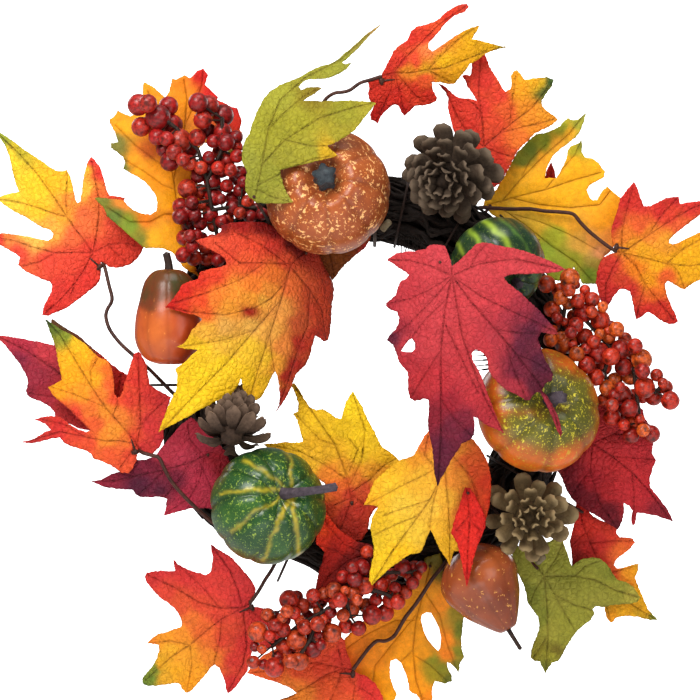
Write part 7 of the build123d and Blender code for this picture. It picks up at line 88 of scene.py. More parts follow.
BERRIES = [[(-147.9, -59.9, 34.3, 7.86), (-132.2, -59.9, 17.2, 7.5), (-112.2, -58.4, 42.2, 6.79), (-101.7, -50.9, 36.1, 6.8), (-139.0, -47.9, 28.4, 7.16), (-162.2, -59.9, 42.9, 6.78), (-139.4, -59.1, 2.2, 6.07), (-127.2, -59.9, -17.1, 6.07), (-115.6, -66.7, 31.9, 5.7), (-141.1, -49.4, 42.6, 6.09), (-102.2, -58.4, 23.6, 5.72), (-154.7, -70.4, 43.8, 5.7), (-160.2, -55.4, 27.3, 6.08), (-108.0, -56.9, -22.8, 5.72), (-154.2, -44.9, 29.9, 5.73), (-148.6, -59.9, 20.0, 5.36), (-126.1, -47.9, 11.2, 5.73), (-131.5, -58.4, -29.2, 5.36), (-94.4, -59.1, -30.0, 5.0), (-112.4, -53.9, 24.5, 5.01), (-109.4, -59.1, -11.4, 5.36), (-119.1, -70.4, 43.8, 6.05), (-143.8, -53.9, 11.7, 5.01), (-119.9, -64.4, 19.8, 5.35), (-132.0, -65.9, -37.3, 4.99), (-110.8, -59.1, -35.0, 5.0), (-141.9, -68.2, 18.3, 4.63), (-122.2, -61.4, -66.4, 5.0), (-136.2, -69.7, 9.0, 4.99), (-98.7, -59.1, 3.6, 5.0), (-113.1, -54.6, -66.3, 5.01), (-99.2, -67.4, 16.2, 5.35), (-129.8, -68.9, -64.4, 4.99), (-118.1, -53.1, -18.4, 4.65), (-127.5, -50.9, -34.8, 4.29), (-112.2, -59.1, -0.7, 5.0), (-115.3, -50.9, -28.3, 4.29), (-103.9, -50.1, 9.6, 5.01), (-89.4, -58.4, -5.6, 4.64), (-104.9, -67.4, -2.4, 4.28), (-129.4, -57.6, -52.1, 5.0), (-108.5, -63.6, 17.0, 4.28), (-102.3, -53.9, -4.1, 4.29), (-125.8, -58.4, 1.5, 5.0), (-126.7, -53.1, -43.4, 4.29), (-92.2, -60.6, 20.0, 4.28), (-98.6, -59.9, -15.0, 4.28), (-106.1, -48.6, -16.1, 3.94), (-111.3, -67.4, 5.5, 3.92), (-93.1, -50.1, -9.7, 3.94), (-117.0, -67.4, -2.4, 4.28), (-84.4, -59.1, -26.4, 4.64), (-120.7, -62.1, -50.7, 4.28), (-123.3, -47.9, 0.4, 4.3), (-91.4, -65.2, 6.3, 4.28), (-114.3, -60.6, -58.6, 4.28), (-89.4, -57.6, -17.8, 4.29), (-119.4, -58.4, -7.8, 4.64), (-98.0, -54.6, -37.7, 3.93), (-123.3, -73.4, -58.1, 4.27), (-89.2, -65.9, -34.4, 3.92), (-117.9, -59.1, -42.1, 4.29), (-105.1, -59.9, -67.8, 4.28), (-121.3, -65.2, -35.8, 4.28), (-78.0, -53.9, -32.0, 4.29), (-102.1, -62.9, -40.8, 4.28), (-95.2, -51.6, -23.3, 4.29), (-82.2, -61.4, -37.2, 4.28), (-95.6, -66.7, -3.8, 4.28), (-129.6, -75.7, 3.0, 4.27), (-123.4, -68.2, -27.3, 4.28), (-124.5, -78.7, -51.1, 3.91), (-108.8, -54.6, -43.4, 3.93), (-87.1, -63.6, -12.2, 3.57), (-73.6, -60.6, -35.0, 3.93), (-116.7, -53.9, -52.0, 3.93), (-109.2, -65.2, -53.6, 3.57), (-102.8, -65.2, -24.4, 3.57)], [(142.6, -63.6, -126.4, 7.49), (166.1, -64.4, -134.2, 7.13), (182.6, -62.1, -131.4, 6.42), (167.6, -62.9, -110.7, 6.42), (158.1, -52.4, -134.2, 6.44), (155.5, -62.1, -105.7, 6.07), (146.2, -63.6, -80.7, 6.42), (197.6, -62.9, -138.5, 6.78), (170.1, -54.6, -144.3, 6.08), (199.7, -62.9, -159.2, 6.78), (189.7, -62.9, -193.5, 5.35), (206.7, -52.4, -165.7, 5.72), (184.0, -62.9, -144.2, 5.71), (189.4, -54.6, -150.7, 5.72), (176.2, -61.4, -179.9, 5.71), (129.8, -63.6, -85.0, 5.71), (158.0, -71.2, -142.8, 5.7), (184.1, -61.4, -163.5, 5.71), (139.2, -59.1, -90.0, 5.36), (172.6, -62.9, -159.2, 5.35), (217.5, -64.4, -167.8, 6.06), (188.1, -67.4, -173.4, 5.7), (197.8, -71.9, -147.1, 4.98), (161.8, -64.4, -96.4, 4.99), (204.0, -62.9, -192.0, 5.71), (133.3, -62.9, -102.8, 5.35), (174.9, -74.2, -137.1, 5.69), (178.7, -53.9, -153.6, 5.01), (164.6, -65.9, -151.4, 5.7), (150.2, -69.7, -114.3, 4.99), (142.2, -56.1, -115.7, 5.0), (131.7, -69.7, -125.0, 4.63), (191.4, -58.4, -183.5, 5.0), (174.1, -60.6, -122.8, 4.64), (192.2, -70.4, -129.3, 4.99), (191.6, -53.1, -165.0, 4.65), (156.9, -62.9, -122.1, 5.35), (139.5, -68.9, -95.0, 4.63), (185.9, -53.1, -124.2, 4.65), (151.7, -68.9, -97.2, 4.63), (150.7, -74.2, -134.9, 4.98), (150.8, -54.6, -124.9, 4.29), (190.2, -53.9, -133.5, 4.29), (179.4, -68.9, -117.1, 4.99), (208.4, -60.6, -150.0, 4.28), (170.7, -56.9, -167.8, 4.29), (215.0, -56.9, -158.5, 4.65), (162.9, -72.7, -126.4, 4.27), (148.8, -52.4, -107.8, 4.29), (177.9, -70.4, -164.2, 4.27), (146.4, -76.4, -120.0, 3.91), (144.8, -62.1, -99.3, 3.93), (145.0, -74.2, -89.4, 4.27), (175.5, -76.4, -171.2, 4.27), (197.8, -71.9, -189.1, 4.27), (161.5, -71.2, -105.0, 3.92), (175.2, -53.9, -115.6, 4.29), (181.6, -54.6, -175.0, 3.58), (167.4, -67.4, -120.7, 3.56), (181.2, -76.4, -158.4, 3.56), (192.6, -47.9, -143.6, 3.94), (136.7, -69.7, -109.3, 3.56), (184.5, -68.2, -185.5, 3.92), (176.6, -53.1, -128.5, 3.93), (212.4, -65.2, -155.6, 3.57), (157.0, -61.4, -89.3, 3.57), (162.6, -45.6, -143.6, 3.58), (169.5, -67.4, -101.4, 3.56), (196.0, -65.9, -181.3, 3.21)], [(-64.9, -71.2, -357.8, 6.41), (-48.6, -69.7, -338.0, 6.77), (-76.4, -68.2, -333.1, 6.77), (4.9, -71.9, -320.8, 6.41), (-46.4, -68.9, -353.7, 6.06), (-54.3, -69.7, -310.2, 6.41), (-0.1, -80.9, -299.7, 5.68), (27.0, -69.7, -287.4, 5.7), (10.6, -68.2, -300.3, 5.7), (-23.6, -70.4, -333.7, 6.41), (-10.1, -69.7, -317.3, 5.7), (35.6, -59.9, -289.2, 5.71), (-2.3, -80.2, -287.0, 5.33), (-42.8, -75.7, -329.1, 4.98), (-58.6, -65.2, -343.2, 4.99), (-4.4, -70.4, -330.1, 4.99), (17.7, -68.9, -310.2, 4.99), (-37.2, -68.2, -345.2, 5.7), (14.2, -62.9, -319.8, 5.71), (-58.5, -72.7, -331.4, 4.98), (-52.7, -79.4, -353.1, 4.62), (-44.3, -65.2, -314.7, 4.99), (0.6, -62.1, -314.8, 5.0), (-22.2, -80.9, -302.6, 5.33), (-69.2, -71.9, -320.8, 4.63), (28.4, -68.9, -304.5, 4.63), (-28.6, -65.2, -324.7, 4.28), (-13.7, -65.9, -328.9, 4.99), (-57.9, -64.4, -324.7, 4.28), (19.2, -64.4, -292.6, 4.28), (-50.6, -75.7, -319.2, 4.27), (-7.3, -89.2, -295.1, 4.96), (-17.9, -89.9, -309.3, 4.96), (-79.9, -69.7, -354.4, 4.27), (-31.5, -63.6, -311.9, 4.28), (-33.5, -80.2, -326.8, 4.97), (-37.1, -79.4, -306.2, 4.62), (23.3, -77.9, -311.2, 4.98), (7.7, -68.9, -310.2, 4.28), (-48.7, -58.4, -308.6, 4.29), (-15.8, -81.7, -293.3, 4.26), (1.3, -78.7, -275.7, 4.26), (-64.1, -79.4, -327.5, 4.26), (-55.5, -83.9, -317.4, 4.26), (-15.8, -79.4, -320.4, 4.26), (34.0, -73.4, -297.9, 4.27), (-8.7, -84.7, -304.6, 4.26), (-25.0, -72.7, -318.6, 4.27), (-9.4, -91.4, -286.5, 3.82), (-39.4, -61.4, -336.3, 4.28), (21.2, -74.2, -301.5, 3.91), (-14.3, -91.4, -302.1, 2.81), (-31.4, -75.7, -341.9, 3.56), (-53.7, -58.4, -347.1, 3.57), (39.8, -71.2, -286.6, 3.92), (-67.7, -75.7, -335.5, 3.91), (-41.5, -58.4, -322.1, 3.93), (-33.6, -70.4, -317.3, 3.56), (-22.2, -80.2, -311.9, 3.55), (-5.8, -91.4, -309.2, 3.54)]]
TREES = [[[((-99.8, -41.4, -69.0), (-105.1, -58.4, -53.5)), ((-105.1, -58.4, -53.5), (-109.3, -63.4, -32.2)), ((-109.3, -63.4, -32.2), (-112.8, -64.4, -10.8)), ((-112.8, -64.4, -10.8), (-119.2, -64.4, 10.6)), ((-119.2, -64.4, 10.6), (-135.0, -63.4, 26.3)), ((-135.0, -63.4, 26.3), (-153.5, -63.4, 40.6)), ((-112.8, -64.4, -10.8), (-102.1, -64.4, 10.6)), ((-102.1, -64.4, 10.6), (-102.1, -63.4, 33.4)), ((-109.3, -63.4, -32.2), (-90.7, -62.4, -29.3)), ((-90.7, -62.4, -29.3), (-77.9, -61.4, -30.7)), ((-105.1, -58.4, -53.5), (-120.8, -60.4, -53.6)), ((-120.8, -60.4, -53.6), (-126.5, -60.4, -63.6))], [((-147.0, -63.4, 35.5), (-147.9, -59.9, 34.3)), ((-129.1, -63.8, 20.5), (-132.2, -59.9, 17.2)), ((-102.1, -63.4, 33.0), (-112.2, -58.4, 42.2)), ((-102.1, -63.4, 33.0), (-101.7, -50.9, 36.1)), ((-138.5, -63.4, 29.0), (-139.0, -47.9, 28.4)), ((-153.1, -63.4, 40.3), (-162.2, -59.9, 42.9)), ((-125.3, -64.0, 16.6), (-139.4, -59.1, 2.2)), ((-112.1, -64.2, -14.8), (-127.2, -59.9, -17.1)), ((-102.1, -63.5, 31.7), (-115.6, -66.7, 31.9)), ((-146.7, -63.4, 35.3), (-141.1, -49.4, 42.6)), ((-102.1, -63.8, 23.9), (-102.2, -58.4, 23.6)), ((-153.1, -63.4, 40.3), (-154.7, -70.4, 43.8)), ((-151.3, -63.4, 38.9), (-160.2, -55.4, 27.3)), ((-110.7, -63.8, -23.5), (-108.0, -56.9, -22.8)), ((-148.8, -63.4, 36.9), (-154.2, -44.9, 29.9)), ((-140.5, -63.4, 30.6), (-148.6, -59.9, 20.0)), ((-123.5, -64.1, 14.8), (-126.1, -47.9, 11.2)), ((-110.3, -63.7, -26.0), (-131.5, -58.4, -29.2)), ((-94.2, -62.6, -29.9), (-94.4, -59.1, -30.0)), ((-102.1, -63.8, 25.0), (-112.4, -53.9, 24.5)), ((-112.6, -64.3, -12.2), (-109.4, -59.1, -11.4)), ((-102.1, -63.4, 33.0), (-119.1, -70.4, 43.8)), ((-132.4, -63.6, 23.7), (-143.8, -53.9, 11.7)), ((-124.2, -64.1, 15.6), (-119.9, -64.4, 19.8)), ((-120.9, -60.4, -53.8), (-132.0, -65.9, -37.3)), ((-108.6, -62.7, -35.4), (-110.8, -59.1, -35.0)), ((-134.3, -63.4, 25.6), (-141.9, -68.2, 18.3)), ((-126.4, -60.4, -63.4), (-122.2, -61.4, -66.4)), ((-126.7, -63.9, 18.1), (-136.2, -69.7, 9.0)), ((-104.2, -64.4, 6.4), (-98.7, -59.1, 3.6)), ((-103.0, -51.7, -59.6), (-113.1, -54.6, -66.3)), ((-102.1, -64.2, 16.0), (-99.2, -67.4, 16.2)), ((-126.4, -60.4, -63.4), (-129.8, -68.9, -64.4)), ((-111.7, -64.1, -17.8), (-118.1, -53.1, -18.4)), ((-108.9, -63.0, -34.0), (-127.5, -50.9, -34.8)), ((-115.6, -64.4, -1.7), (-112.2, -59.1, -0.7)), ((-110.0, -63.6, -28.0), (-115.3, -50.9, -28.3)), ((-102.8, -64.4, 9.1), (-103.9, -50.1, 9.6)), ((-106.0, -64.4, 2.7), (-89.4, -58.4, -5.6)), ((-107.8, -64.4, -0.9), (-104.9, -67.4, -2.4)), ((-122.3, -60.4, -56.2), (-129.4, -57.6, -52.1)), ((-102.1, -64.1, 17.0), (-108.5, -63.6, 17.0)), ((-108.0, -64.4, -1.2), (-102.3, -53.9, -4.1)), ((-117.3, -64.4, 4.1), (-125.8, -58.4, 1.5)), ((-120.9, -60.4, -53.8), (-126.7, -53.1, -43.4)), ((-102.1, -64.0, 20.1), (-92.2, -60.6, 20.0)), ((-111.7, -64.1, -17.3), (-98.6, -59.9, -15.0)), ((-111.7, -64.1, -17.7), (-106.1, -48.6, -16.1)), ((-106.0, -64.4, 2.8), (-111.3, -67.4, 5.5)), ((-108.4, -64.4, -2.0), (-93.1, -50.1, -9.7)), ((-115.5, -64.4, -1.9), (-117.0, -67.4, -2.4)), ((-84.6, -61.9, -30.0), (-84.4, -59.1, -26.4)), ((-120.5, -60.4, -53.6), (-120.7, -62.1, -50.7)), ((-116.8, -64.4, 2.4), (-123.3, -47.9, 0.4)), ((-102.3, -64.4, 10.1), (-91.4, -65.2, 6.3)), ((-114.5, -59.6, -53.5), (-114.3, -60.6, -58.6)), ((-90.3, -62.4, -29.4), (-89.4, -57.6, -17.8)), ((-114.2, -64.4, -6.2), (-119.4, -58.4, -7.8)), ((-98.7, -62.8, -30.6), (-98.0, -54.6, -37.7)), ((-123.3, -60.4, -58.0), (-123.3, -73.4, -58.1)), ((-89.0, -62.3, -29.5), (-89.2, -65.9, -34.4)), ((-107.6, -61.4, -40.6), (-117.9, -59.1, -42.1)), ((-103.2, -52.4, -59.0), (-105.1, -59.9, -67.8)), ((-109.1, -63.2, -33.0), (-121.3, -65.2, -35.8)), ((-78.2, -61.4, -30.7), (-78.0, -53.9, -32.0)), ((-107.5, -61.2, -41.4), (-102.1, -62.9, -40.8)), ((-93.7, -62.6, -29.8), (-95.2, -51.6, -23.3)), ((-81.4, -61.7, -30.3), (-82.2, -61.4, -37.2)), ((-106.5, -64.4, 1.7), (-95.6, -66.7, -3.8)), ((-118.0, -64.4, 6.5), (-129.6, -75.7, 3.0)), ((-110.5, -63.7, -25.0), (-123.4, -68.2, -27.3)), ((-120.9, -60.4, -53.8), (-124.5, -78.7, -51.1)), ((-106.9, -60.5, -44.4), (-108.8, -54.6, -43.4)), ((-89.1, -62.3, -29.5), (-87.1, -63.6, -12.2)), ((-78.2, -61.4, -30.7), (-73.6, -60.6, -35.0)), ((-115.9, -59.8, -53.5), (-116.7, -53.9, -52.0)), ((-110.0, -59.0, -53.5), (-109.2, -65.2, -53.6)), ((-101.9, -63.0, -31.1), (-102.8, -65.2, -24.4))]], [[((119.8, -41.4, -69.0), (130.8, -55.4, -82.1)), ((130.8, -55.4, -82.1), (143.4, -61.4, -96.4)), ((143.4, -61.4, -96.4), (160.5, -61.4, -114.3)), ((160.5, -61.4, -114.3), (176.2, -61.4, -132.1)), ((176.2, -61.4, -132.1), (191.9, -61.4, -147.8)), ((191.9, -61.4, -147.8), (207.6, -61.4, -162.1)), ((176.2, -61.4, -132.1), (170.5, -61.4, -147.8)), ((170.5, -61.4, -147.8), (176.2, -61.4, -166.4)), ((191.9, -61.4, -147.8), (194.8, -61.4, -171.4)), ((194.8, -61.4, -171.4), (196.3, -60.4, -189.2)), ((143.4, -61.4, -96.4), (140.5, -62.4, -116.4))], [((140.6, -62.4, -116.0), (142.6, -63.6, -126.4)), ((174.4, -61.4, -137.2), (166.1, -64.4, -134.2)), ((179.1, -61.4, -134.9), (182.6, -62.1, -131.4)), ((161.9, -61.4, -115.8), (167.6, -62.9, -110.7)), ((169.4, -61.4, -124.3), (158.1, -52.4, -134.2)), ((153.8, -61.4, -107.3), (155.5, -62.1, -105.7)), ((137.8, -58.8, -90.1), (146.2, -63.6, -80.7)), ((190.1, -61.4, -146.0), (197.6, -62.9, -138.5)), ((171.6, -61.4, -144.8), (170.1, -54.6, -144.3)), ((201.9, -61.4, -156.8), (199.7, -62.9, -159.2)), ((196.2, -60.4, -188.9), (189.7, -62.9, -193.5)), ((207.3, -61.4, -161.8), (206.7, -52.4, -165.7)), ((186.2, -61.4, -142.1), (184.0, -62.9, -144.2)), ((192.3, -61.4, -150.4), (189.4, -54.6, -150.7)), ((176.1, -61.4, -166.0), (176.2, -61.4, -179.9)), ((133.3, -56.6, -84.9), (129.8, -63.6, -85.0)), ((170.7, -61.4, -147.4), (158.0, -71.2, -142.8)), ((176.1, -61.4, -166.0), (184.1, -61.4, -163.5)), ((138.4, -59.0, -90.7), (139.2, -59.1, -90.0)), ((173.9, -61.4, -158.8), (172.6, -62.9, -159.2)), ((207.3, -61.4, -161.8), (217.5, -64.4, -167.8)), ((194.9, -61.3, -172.5), (188.1, -67.4, -173.4)), ((194.8, -61.4, -150.4), (197.8, -71.9, -147.1)), ((152.3, -61.4, -105.6), (161.8, -64.4, -96.4)), ((196.2, -60.4, -188.9), (204.0, -62.9, -192.0)), ((142.3, -61.8, -104.2), (133.3, -62.9, -102.8)), ((174.5, -61.4, -136.9), (174.9, -74.2, -137.1)), ((172.9, -61.4, -155.4), (178.7, -53.9, -153.6)), ((171.0, -61.4, -149.4), (164.6, -65.9, -151.4)), ((155.6, -61.4, -109.1), (150.2, -69.7, -114.3)), ((140.7, -62.3, -115.1), (142.2, -56.1, -115.7)), ((140.6, -62.4, -116.0), (131.7, -69.7, -125.0)), ((195.8, -60.7, -183.3), (191.4, -58.4, -183.5)), ((170.7, -61.4, -125.8), (174.1, -60.6, -122.8)), ((182.8, -61.4, -138.7), (192.2, -70.4, -129.3)), ((194.0, -61.4, -164.7), (191.6, -53.1, -165.0)), ((162.8, -61.4, -116.9), (156.9, -62.9, -122.1)), ((142.7, -61.1, -95.6), (139.5, -68.9, -95.0)), ((177.1, -61.4, -133.0), (185.9, -53.1, -124.2)), ((147.7, -61.4, -100.9), (151.7, -68.9, -97.2)), ((140.6, -62.4, -116.0), (150.7, -74.2, -134.9)), ((140.6, -62.4, -116.0), (150.8, -54.6, -124.9)), ((183.9, -61.4, -139.8), (190.2, -53.9, -133.5)), ((170.2, -61.4, -125.3), (179.4, -68.9, -117.1)), ((202.0, -61.4, -157.0), (208.4, -60.6, -150.0)), ((176.1, -61.4, -166.0), (170.7, -56.9, -167.8)), ((207.3, -61.4, -161.8), (215.0, -56.9, -158.5)), ((167.6, -61.4, -122.3), (162.9, -72.7, -126.4)), ((151.6, -61.4, -105.0), (148.8, -52.4, -107.8)), ((175.8, -61.4, -164.8), (177.9, -70.4, -164.2)), ((140.6, -62.4, -116.0), (146.4, -76.4, -120.0)), ((145.5, -61.4, -98.6), (144.8, -62.1, -99.3)), ((143.1, -61.3, -96.1), (145.0, -74.2, -89.4)), ((176.1, -61.4, -166.0), (175.5, -76.4, -171.2)), ((196.2, -60.4, -188.5), (197.8, -71.9, -189.1)), ((156.4, -61.4, -110.0), (161.5, -71.2, -105.0)), ((167.6, -61.4, -122.3), (175.2, -53.9, -115.6)), ((176.1, -61.4, -166.0), (181.6, -54.6, -175.0)), ((166.7, -61.4, -121.3), (167.4, -67.4, -120.7)), ((174.4, -61.4, -160.5), (181.2, -76.4, -158.4)), ((190.2, -61.4, -146.0), (192.6, -47.9, -143.6)), ((141.4, -62.1, -110.4), (136.7, -69.7, -109.3)), ((195.9, -60.7, -184.2), (184.5, -68.2, -185.5)), ((174.6, -61.4, -130.3), (176.6, -53.1, -128.5)), ((207.1, -61.4, -161.5), (212.4, -65.2, -155.6)), ((146.3, -61.4, -99.5), (157.0, -61.4, -89.3)), ((171.0, -61.4, -146.6), (162.6, -45.6, -143.6)), ((158.5, -61.4, -112.1), (169.5, -67.4, -101.4)), ((195.6, -60.9, -181.1), (196.0, -65.9, -181.3))]], [[((13.6, -47.4, -279.7), (13.4, -69.4, -291.0)), ((13.4, -69.4, -291.0), (0.6, -77.4, -301.3)), ((0.6, -77.4, -301.3), (-13.6, -76.4, -309.9)), ((-13.6, -76.4, -309.9), (-30.7, -74.4, -318.5)), ((-30.7, -74.4, -318.5), (-47.8, -71.4, -328.6)), ((-47.8, -71.4, -328.6), (-66.4, -67.4, -343.1)), ((-13.6, -76.4, -309.9), (-10.8, -75.4, -321.3)), ((-30.7, -74.4, -318.5), (-39.3, -72.4, -338.6)), ((-39.3, -72.4, -338.6), (-47.8, -70.4, -351.5)), ((13.4, -69.4, -291.0), (24.8, -73.4, -290.1)), ((24.8, -73.4, -290.1), (33.3, -73.4, -290.1)), ((-47.8, -71.4, -328.6), (-53.5, -73.4, -312.9)), ((0.6, -77.4, -301.3), (14.8, -77.4, -305.6)), ((14.8, -77.4, -305.6), (23.3, -77.4, -309.9))], [((-66.0, -67.5, -342.8), (-64.9, -71.2, -357.8)), ((-52.9, -70.3, -332.6), (-48.6, -69.7, -338.0)), ((-66.0, -67.5, -342.8), (-76.4, -68.2, -333.1)), ((-10.9, -75.4, -321.1), (4.9, -71.9, -320.8)), ((-47.7, -70.4, -351.2), (-46.4, -68.9, -353.7)), ((-53.4, -73.4, -313.2), (-54.3, -69.7, -310.2)), ((0.3, -77.4, -301.5), (-0.1, -80.9, -299.7)), ((27.0, -73.4, -290.1), (27.0, -69.7, -287.4)), ((8.7, -72.3, -294.8), (10.6, -68.2, -300.3)), ((-35.2, -73.4, -329.0), (-23.6, -70.4, -333.7)), ((-11.6, -75.7, -318.2), (-10.1, -69.7, -317.3)), ((33.2, -73.4, -290.1), (35.6, -59.9, -289.2)), ((4.0, -75.3, -298.6), (-2.3, -80.2, -287.0)), ((-43.9, -72.1, -326.3), (-42.8, -75.7, -329.1)), ((-62.0, -68.3, -339.7), (-58.6, -65.2, -343.2)), ((-10.9, -75.4, -321.1), (-4.4, -70.4, -330.1)), ((19.0, -77.4, -307.7), (17.7, -68.9, -310.2)), ((-41.9, -71.8, -342.6), (-37.2, -68.2, -345.2)), ((20.0, -77.4, -308.2), (14.2, -62.9, -319.8)), ((-55.4, -69.8, -334.6), (-58.5, -72.7, -331.4)), ((-47.7, -70.4, -351.2), (-52.7, -79.4, -353.1)), ((-51.6, -72.7, -318.3), (-44.3, -65.2, -314.7)), ((-11.4, -75.6, -319.0), (0.6, -62.1, -314.8)), ((-17.0, -76.0, -311.6), (-22.2, -80.9, -302.6)), ((-52.7, -73.1, -315.0), (-69.2, -71.9, -320.8)), ((23.2, -77.4, -309.8), (28.4, -68.9, -304.5)), ((-32.9, -73.9, -323.7), (-28.6, -65.2, -324.7)), ((-10.9, -75.4, -321.1), (-13.7, -65.9, -328.9)), ((-53.0, -70.3, -332.6), (-57.9, -64.4, -324.7)), ((13.4, -66.1, -289.3), (19.2, -64.4, -292.6)), ((-51.3, -72.6, -319.0), (-50.6, -75.7, -319.2)), ((-1.8, -77.2, -302.8), (-7.3, -89.2, -295.1)), ((-15.5, -76.2, -310.8), (-17.9, -89.9, -309.3)), ((-66.0, -67.5, -342.8), (-79.9, -69.7, -354.4)), ((-29.7, -74.5, -318.0), (-31.5, -63.6, -311.9)), ((-33.9, -73.7, -326.0), (-33.5, -80.2, -326.8)), ((-30.4, -74.4, -318.3), (-37.1, -79.4, -306.2)), ((23.2, -77.4, -309.8), (23.3, -77.9, -311.2)), ((9.6, -77.4, -304.0), (7.7, -68.9, -310.2)), ((-53.4, -73.4, -313.2), (-48.7, -58.4, -308.6)), ((-7.6, -76.8, -306.3), (-15.8, -81.7, -293.3)), ((10.7, -71.1, -293.2), (1.3, -78.7, -275.7)), ((-56.1, -69.6, -335.1), (-64.1, -79.4, -327.5)), ((-52.7, -73.1, -315.0), (-55.5, -83.9, -317.4)), ((-11.4, -75.6, -319.0), (-15.8, -79.4, -320.4)), ((33.2, -73.4, -290.1), (34.0, -73.4, -297.9)), ((-7.2, -76.9, -306.0), (-8.7, -84.7, -304.6)), ((-26.4, -74.9, -316.4), (-25.0, -72.7, -318.6)), ((0.3, -77.4, -301.5), (-9.4, -91.4, -286.5)), ((-38.9, -72.5, -337.6), (-39.4, -61.4, -336.3)), ((18.3, -77.4, -307.3), (21.2, -74.2, -301.5)), ((-10.0, -76.7, -307.7), (-14.3, -91.4, -302.1)), ((-39.1, -72.4, -338.2), (-31.4, -75.7, -341.9)), ((-47.7, -70.4, -351.2), (-53.7, -58.4, -347.1)), ((33.2, -73.4, -290.1), (39.8, -71.2, -286.6)), ((-62.6, -68.2, -340.1), (-67.7, -75.7, -335.5)), ((-42.1, -72.4, -325.3), (-41.5, -58.4, -322.1)), ((-32.8, -74.0, -319.7), (-33.6, -70.4, -317.3)), ((-20.8, -75.6, -313.5), (-22.2, -80.2, -311.9)), ((-6.9, -76.9, -305.8), (-5.8, -91.4, -309.2))]]]
GOURDS = {'pumpkin_copper': {'centre': (-27.1, -92.9, -20.2), 'axis': (-0.04, -0.9648, 0.2599), 'r': 44.3, 'h': 33, 'dip': 7, 'stem': [(-28.0, -114.1, -14.5), (-28.4, -124.7, -11.6), (-28.7, -131.5, -8.8)], 'stem_r': [6.5, 5.0]}, 'gourd_green_cap': {'centre': (-138.8, -76.9, -116.5), 'axis': (-0.02, -0.0499, 0.9986), 'r': 25.2, 'h': 25.2, 'dip': 4, 'stem': [(-139.5, -78.7, -80.5), (-139.7, -79.1, -71.5), (-141.4, -79.5, -63.5)], 'stem_r': [3.2, 2.4], 'neck': (15, 42)}, 'pumpkin_mottled': {'centre': (122.6, -86.6, -174.7), 'axis': (0.3632, -0.8878, 0.2825), 'r': 44.6, 'h': 26.6, 'dip': 6, 'stem': [(128.7, -101.7, -169.9), (133.1, -112.3, -166.5), (139.0, -119.5, -165.2)], 'stem_r': [5.0, 4.0]}, 'gourd_brown': {'centre': (82.5, -72.4, -297.3), 'axis': (0.499, -0.1198, -0.8583), 'r': 28.2, 'h': 26, 'dip': 4, 'stem': [(98.9, -76.4, -325.6), (103.4, -77.4, -333.3), (110.4, -78.9, -344.6)], 'stem_r': [1.8, 1.3], 'neck': (8.5, 39)}, 'gourd_striped': {'centre': (-68.9, -91.6, -242.6), 'axis': (0.3314, -0.9037, 0.2711), 'r': 40.8, 'h': 31, 'dip': 6, 'stem': [(-62.3, -109.7, -237.2), (-56.6, -119.6, -234.2), (-44.0, -125.4, -237.7), (-27.0, -127.4, -241.7)], 'stem_r': [5.2, 4.4, 3.4]}, 'gourd_dark_green': {'centre': (93.4, -87.9, -71.1), 'axis': (0.5025, -0.7035, -0.5025), 'r': 33.6, 'h': 28, 'dip': 4, 'stem': [(103.5, -102.0, -81.2), (109.0, -109.7, -86.7)], 'stem_r': [3.2]}}
CONES = {'pinecone_top': {'centre': (58.2, -77.4, -8.4), 'axis': (-0.2057, -0.9567, -0.2057), 'r': 32.0, 'h': 25.0}, 'pinecone_left': {'centre': (-92.2, -96.0, -178.8), 'axis': (0.1201, 0.6005, 0.7906), 'r': 23.0, 'h': 25.0}, 'pinecone_right': {'centre': (116.2, -85.4, -250.6), 'axis': (0.02, -0.9986, 0.0499), 'r': 28.5, 'h': 21.0}}
BRISTLES = [(25.0, -50.4, -45.4, 23.7, -65.1, -47.4, 0.45), (26.8, -50.4, -45.4, 25.9, -65.7, -47.4, 0.45), (28.5, -50.4, -45.4, 28.6, -61.0, -47.4, 0.45), (30.2, -50.4, -45.4, 28.1, -67.7, -47.4, 0.45), (31.9, -50.4, -45.4, 30.7, -62.5, -47.4, 0.45), (33.6, -50.4, -45.4, 35.0, -64.5, -47.4, 0.45), (35.4, -50.4, -45.4, 36.2, -64.6, -47.4, 0.45), (37.1, -50.4, -45.4, 37.2, -61.8, -47.4, 0.45), (38.8, -50.4, -45.4, 38.9, -67.9, -47.4, 0.45), (40.1, -262.6, -43.4, 40.2, -280.9, -45.4, 0.45), (41.9, -262.6, -43.4, 42.6, -274.6, -45.4, 0.45), (43.7, -262.6, -43.4, 44.8, -279.5, -45.4, 0.45), (45.5, -262.6, -43.4, 44.6, -274.3, -45.4, 0.45), (47.3, -262.6, -43.4, 48.8, -278.4, -45.4, 0.45), (49.1, -262.6, -43.4, 50.0, -282.2, -45.4, 0.45), (50.9, -262.6, -43.4, 51.8, -282.6, -45.4, 0.45), (52.7, -262.6, -43.4, 52.2, -281.5, -45.4, 0.45), (96.4, -35.6, -57.4, 110.6, -50.7, -61.4, 0.8), (110.6, -50.7, -61.4, 122.1, -62.8, -57.4, 0.7), (110.6, -50.7, -61.4, 124.9, -53.5, -59.4, 0.5), (11.4, -51.9, -51.4, 19.3, -43.4, -51.4, 1.3), (106.5, -132.1, -53.4, 76.8, -132.8, -71.4, 0.85), (106.5, -135.0, -53.4, 78.9, -136.4, -71.4, 0.85), (106.5, -137.8, -53.4, 76.8, -139.9, -71.4, 0.85), (106.5, -140.7, -53.4, 78.9, -143.5, -71.4, 0.85), (106.5, -143.5, -53.4, 76.8, -147.1, -71.4, 0.85)]
NUBS = [([(12.8, -54.4, -45.6), (14.9, -57.4, -42.8), (17.0, -60.4, -40.7)], 2.6), ([(123.9, -47.4, -284.0), (125.9, -52.4, -281.6), (127.2, -56.4, -280.1)], 2.4)]
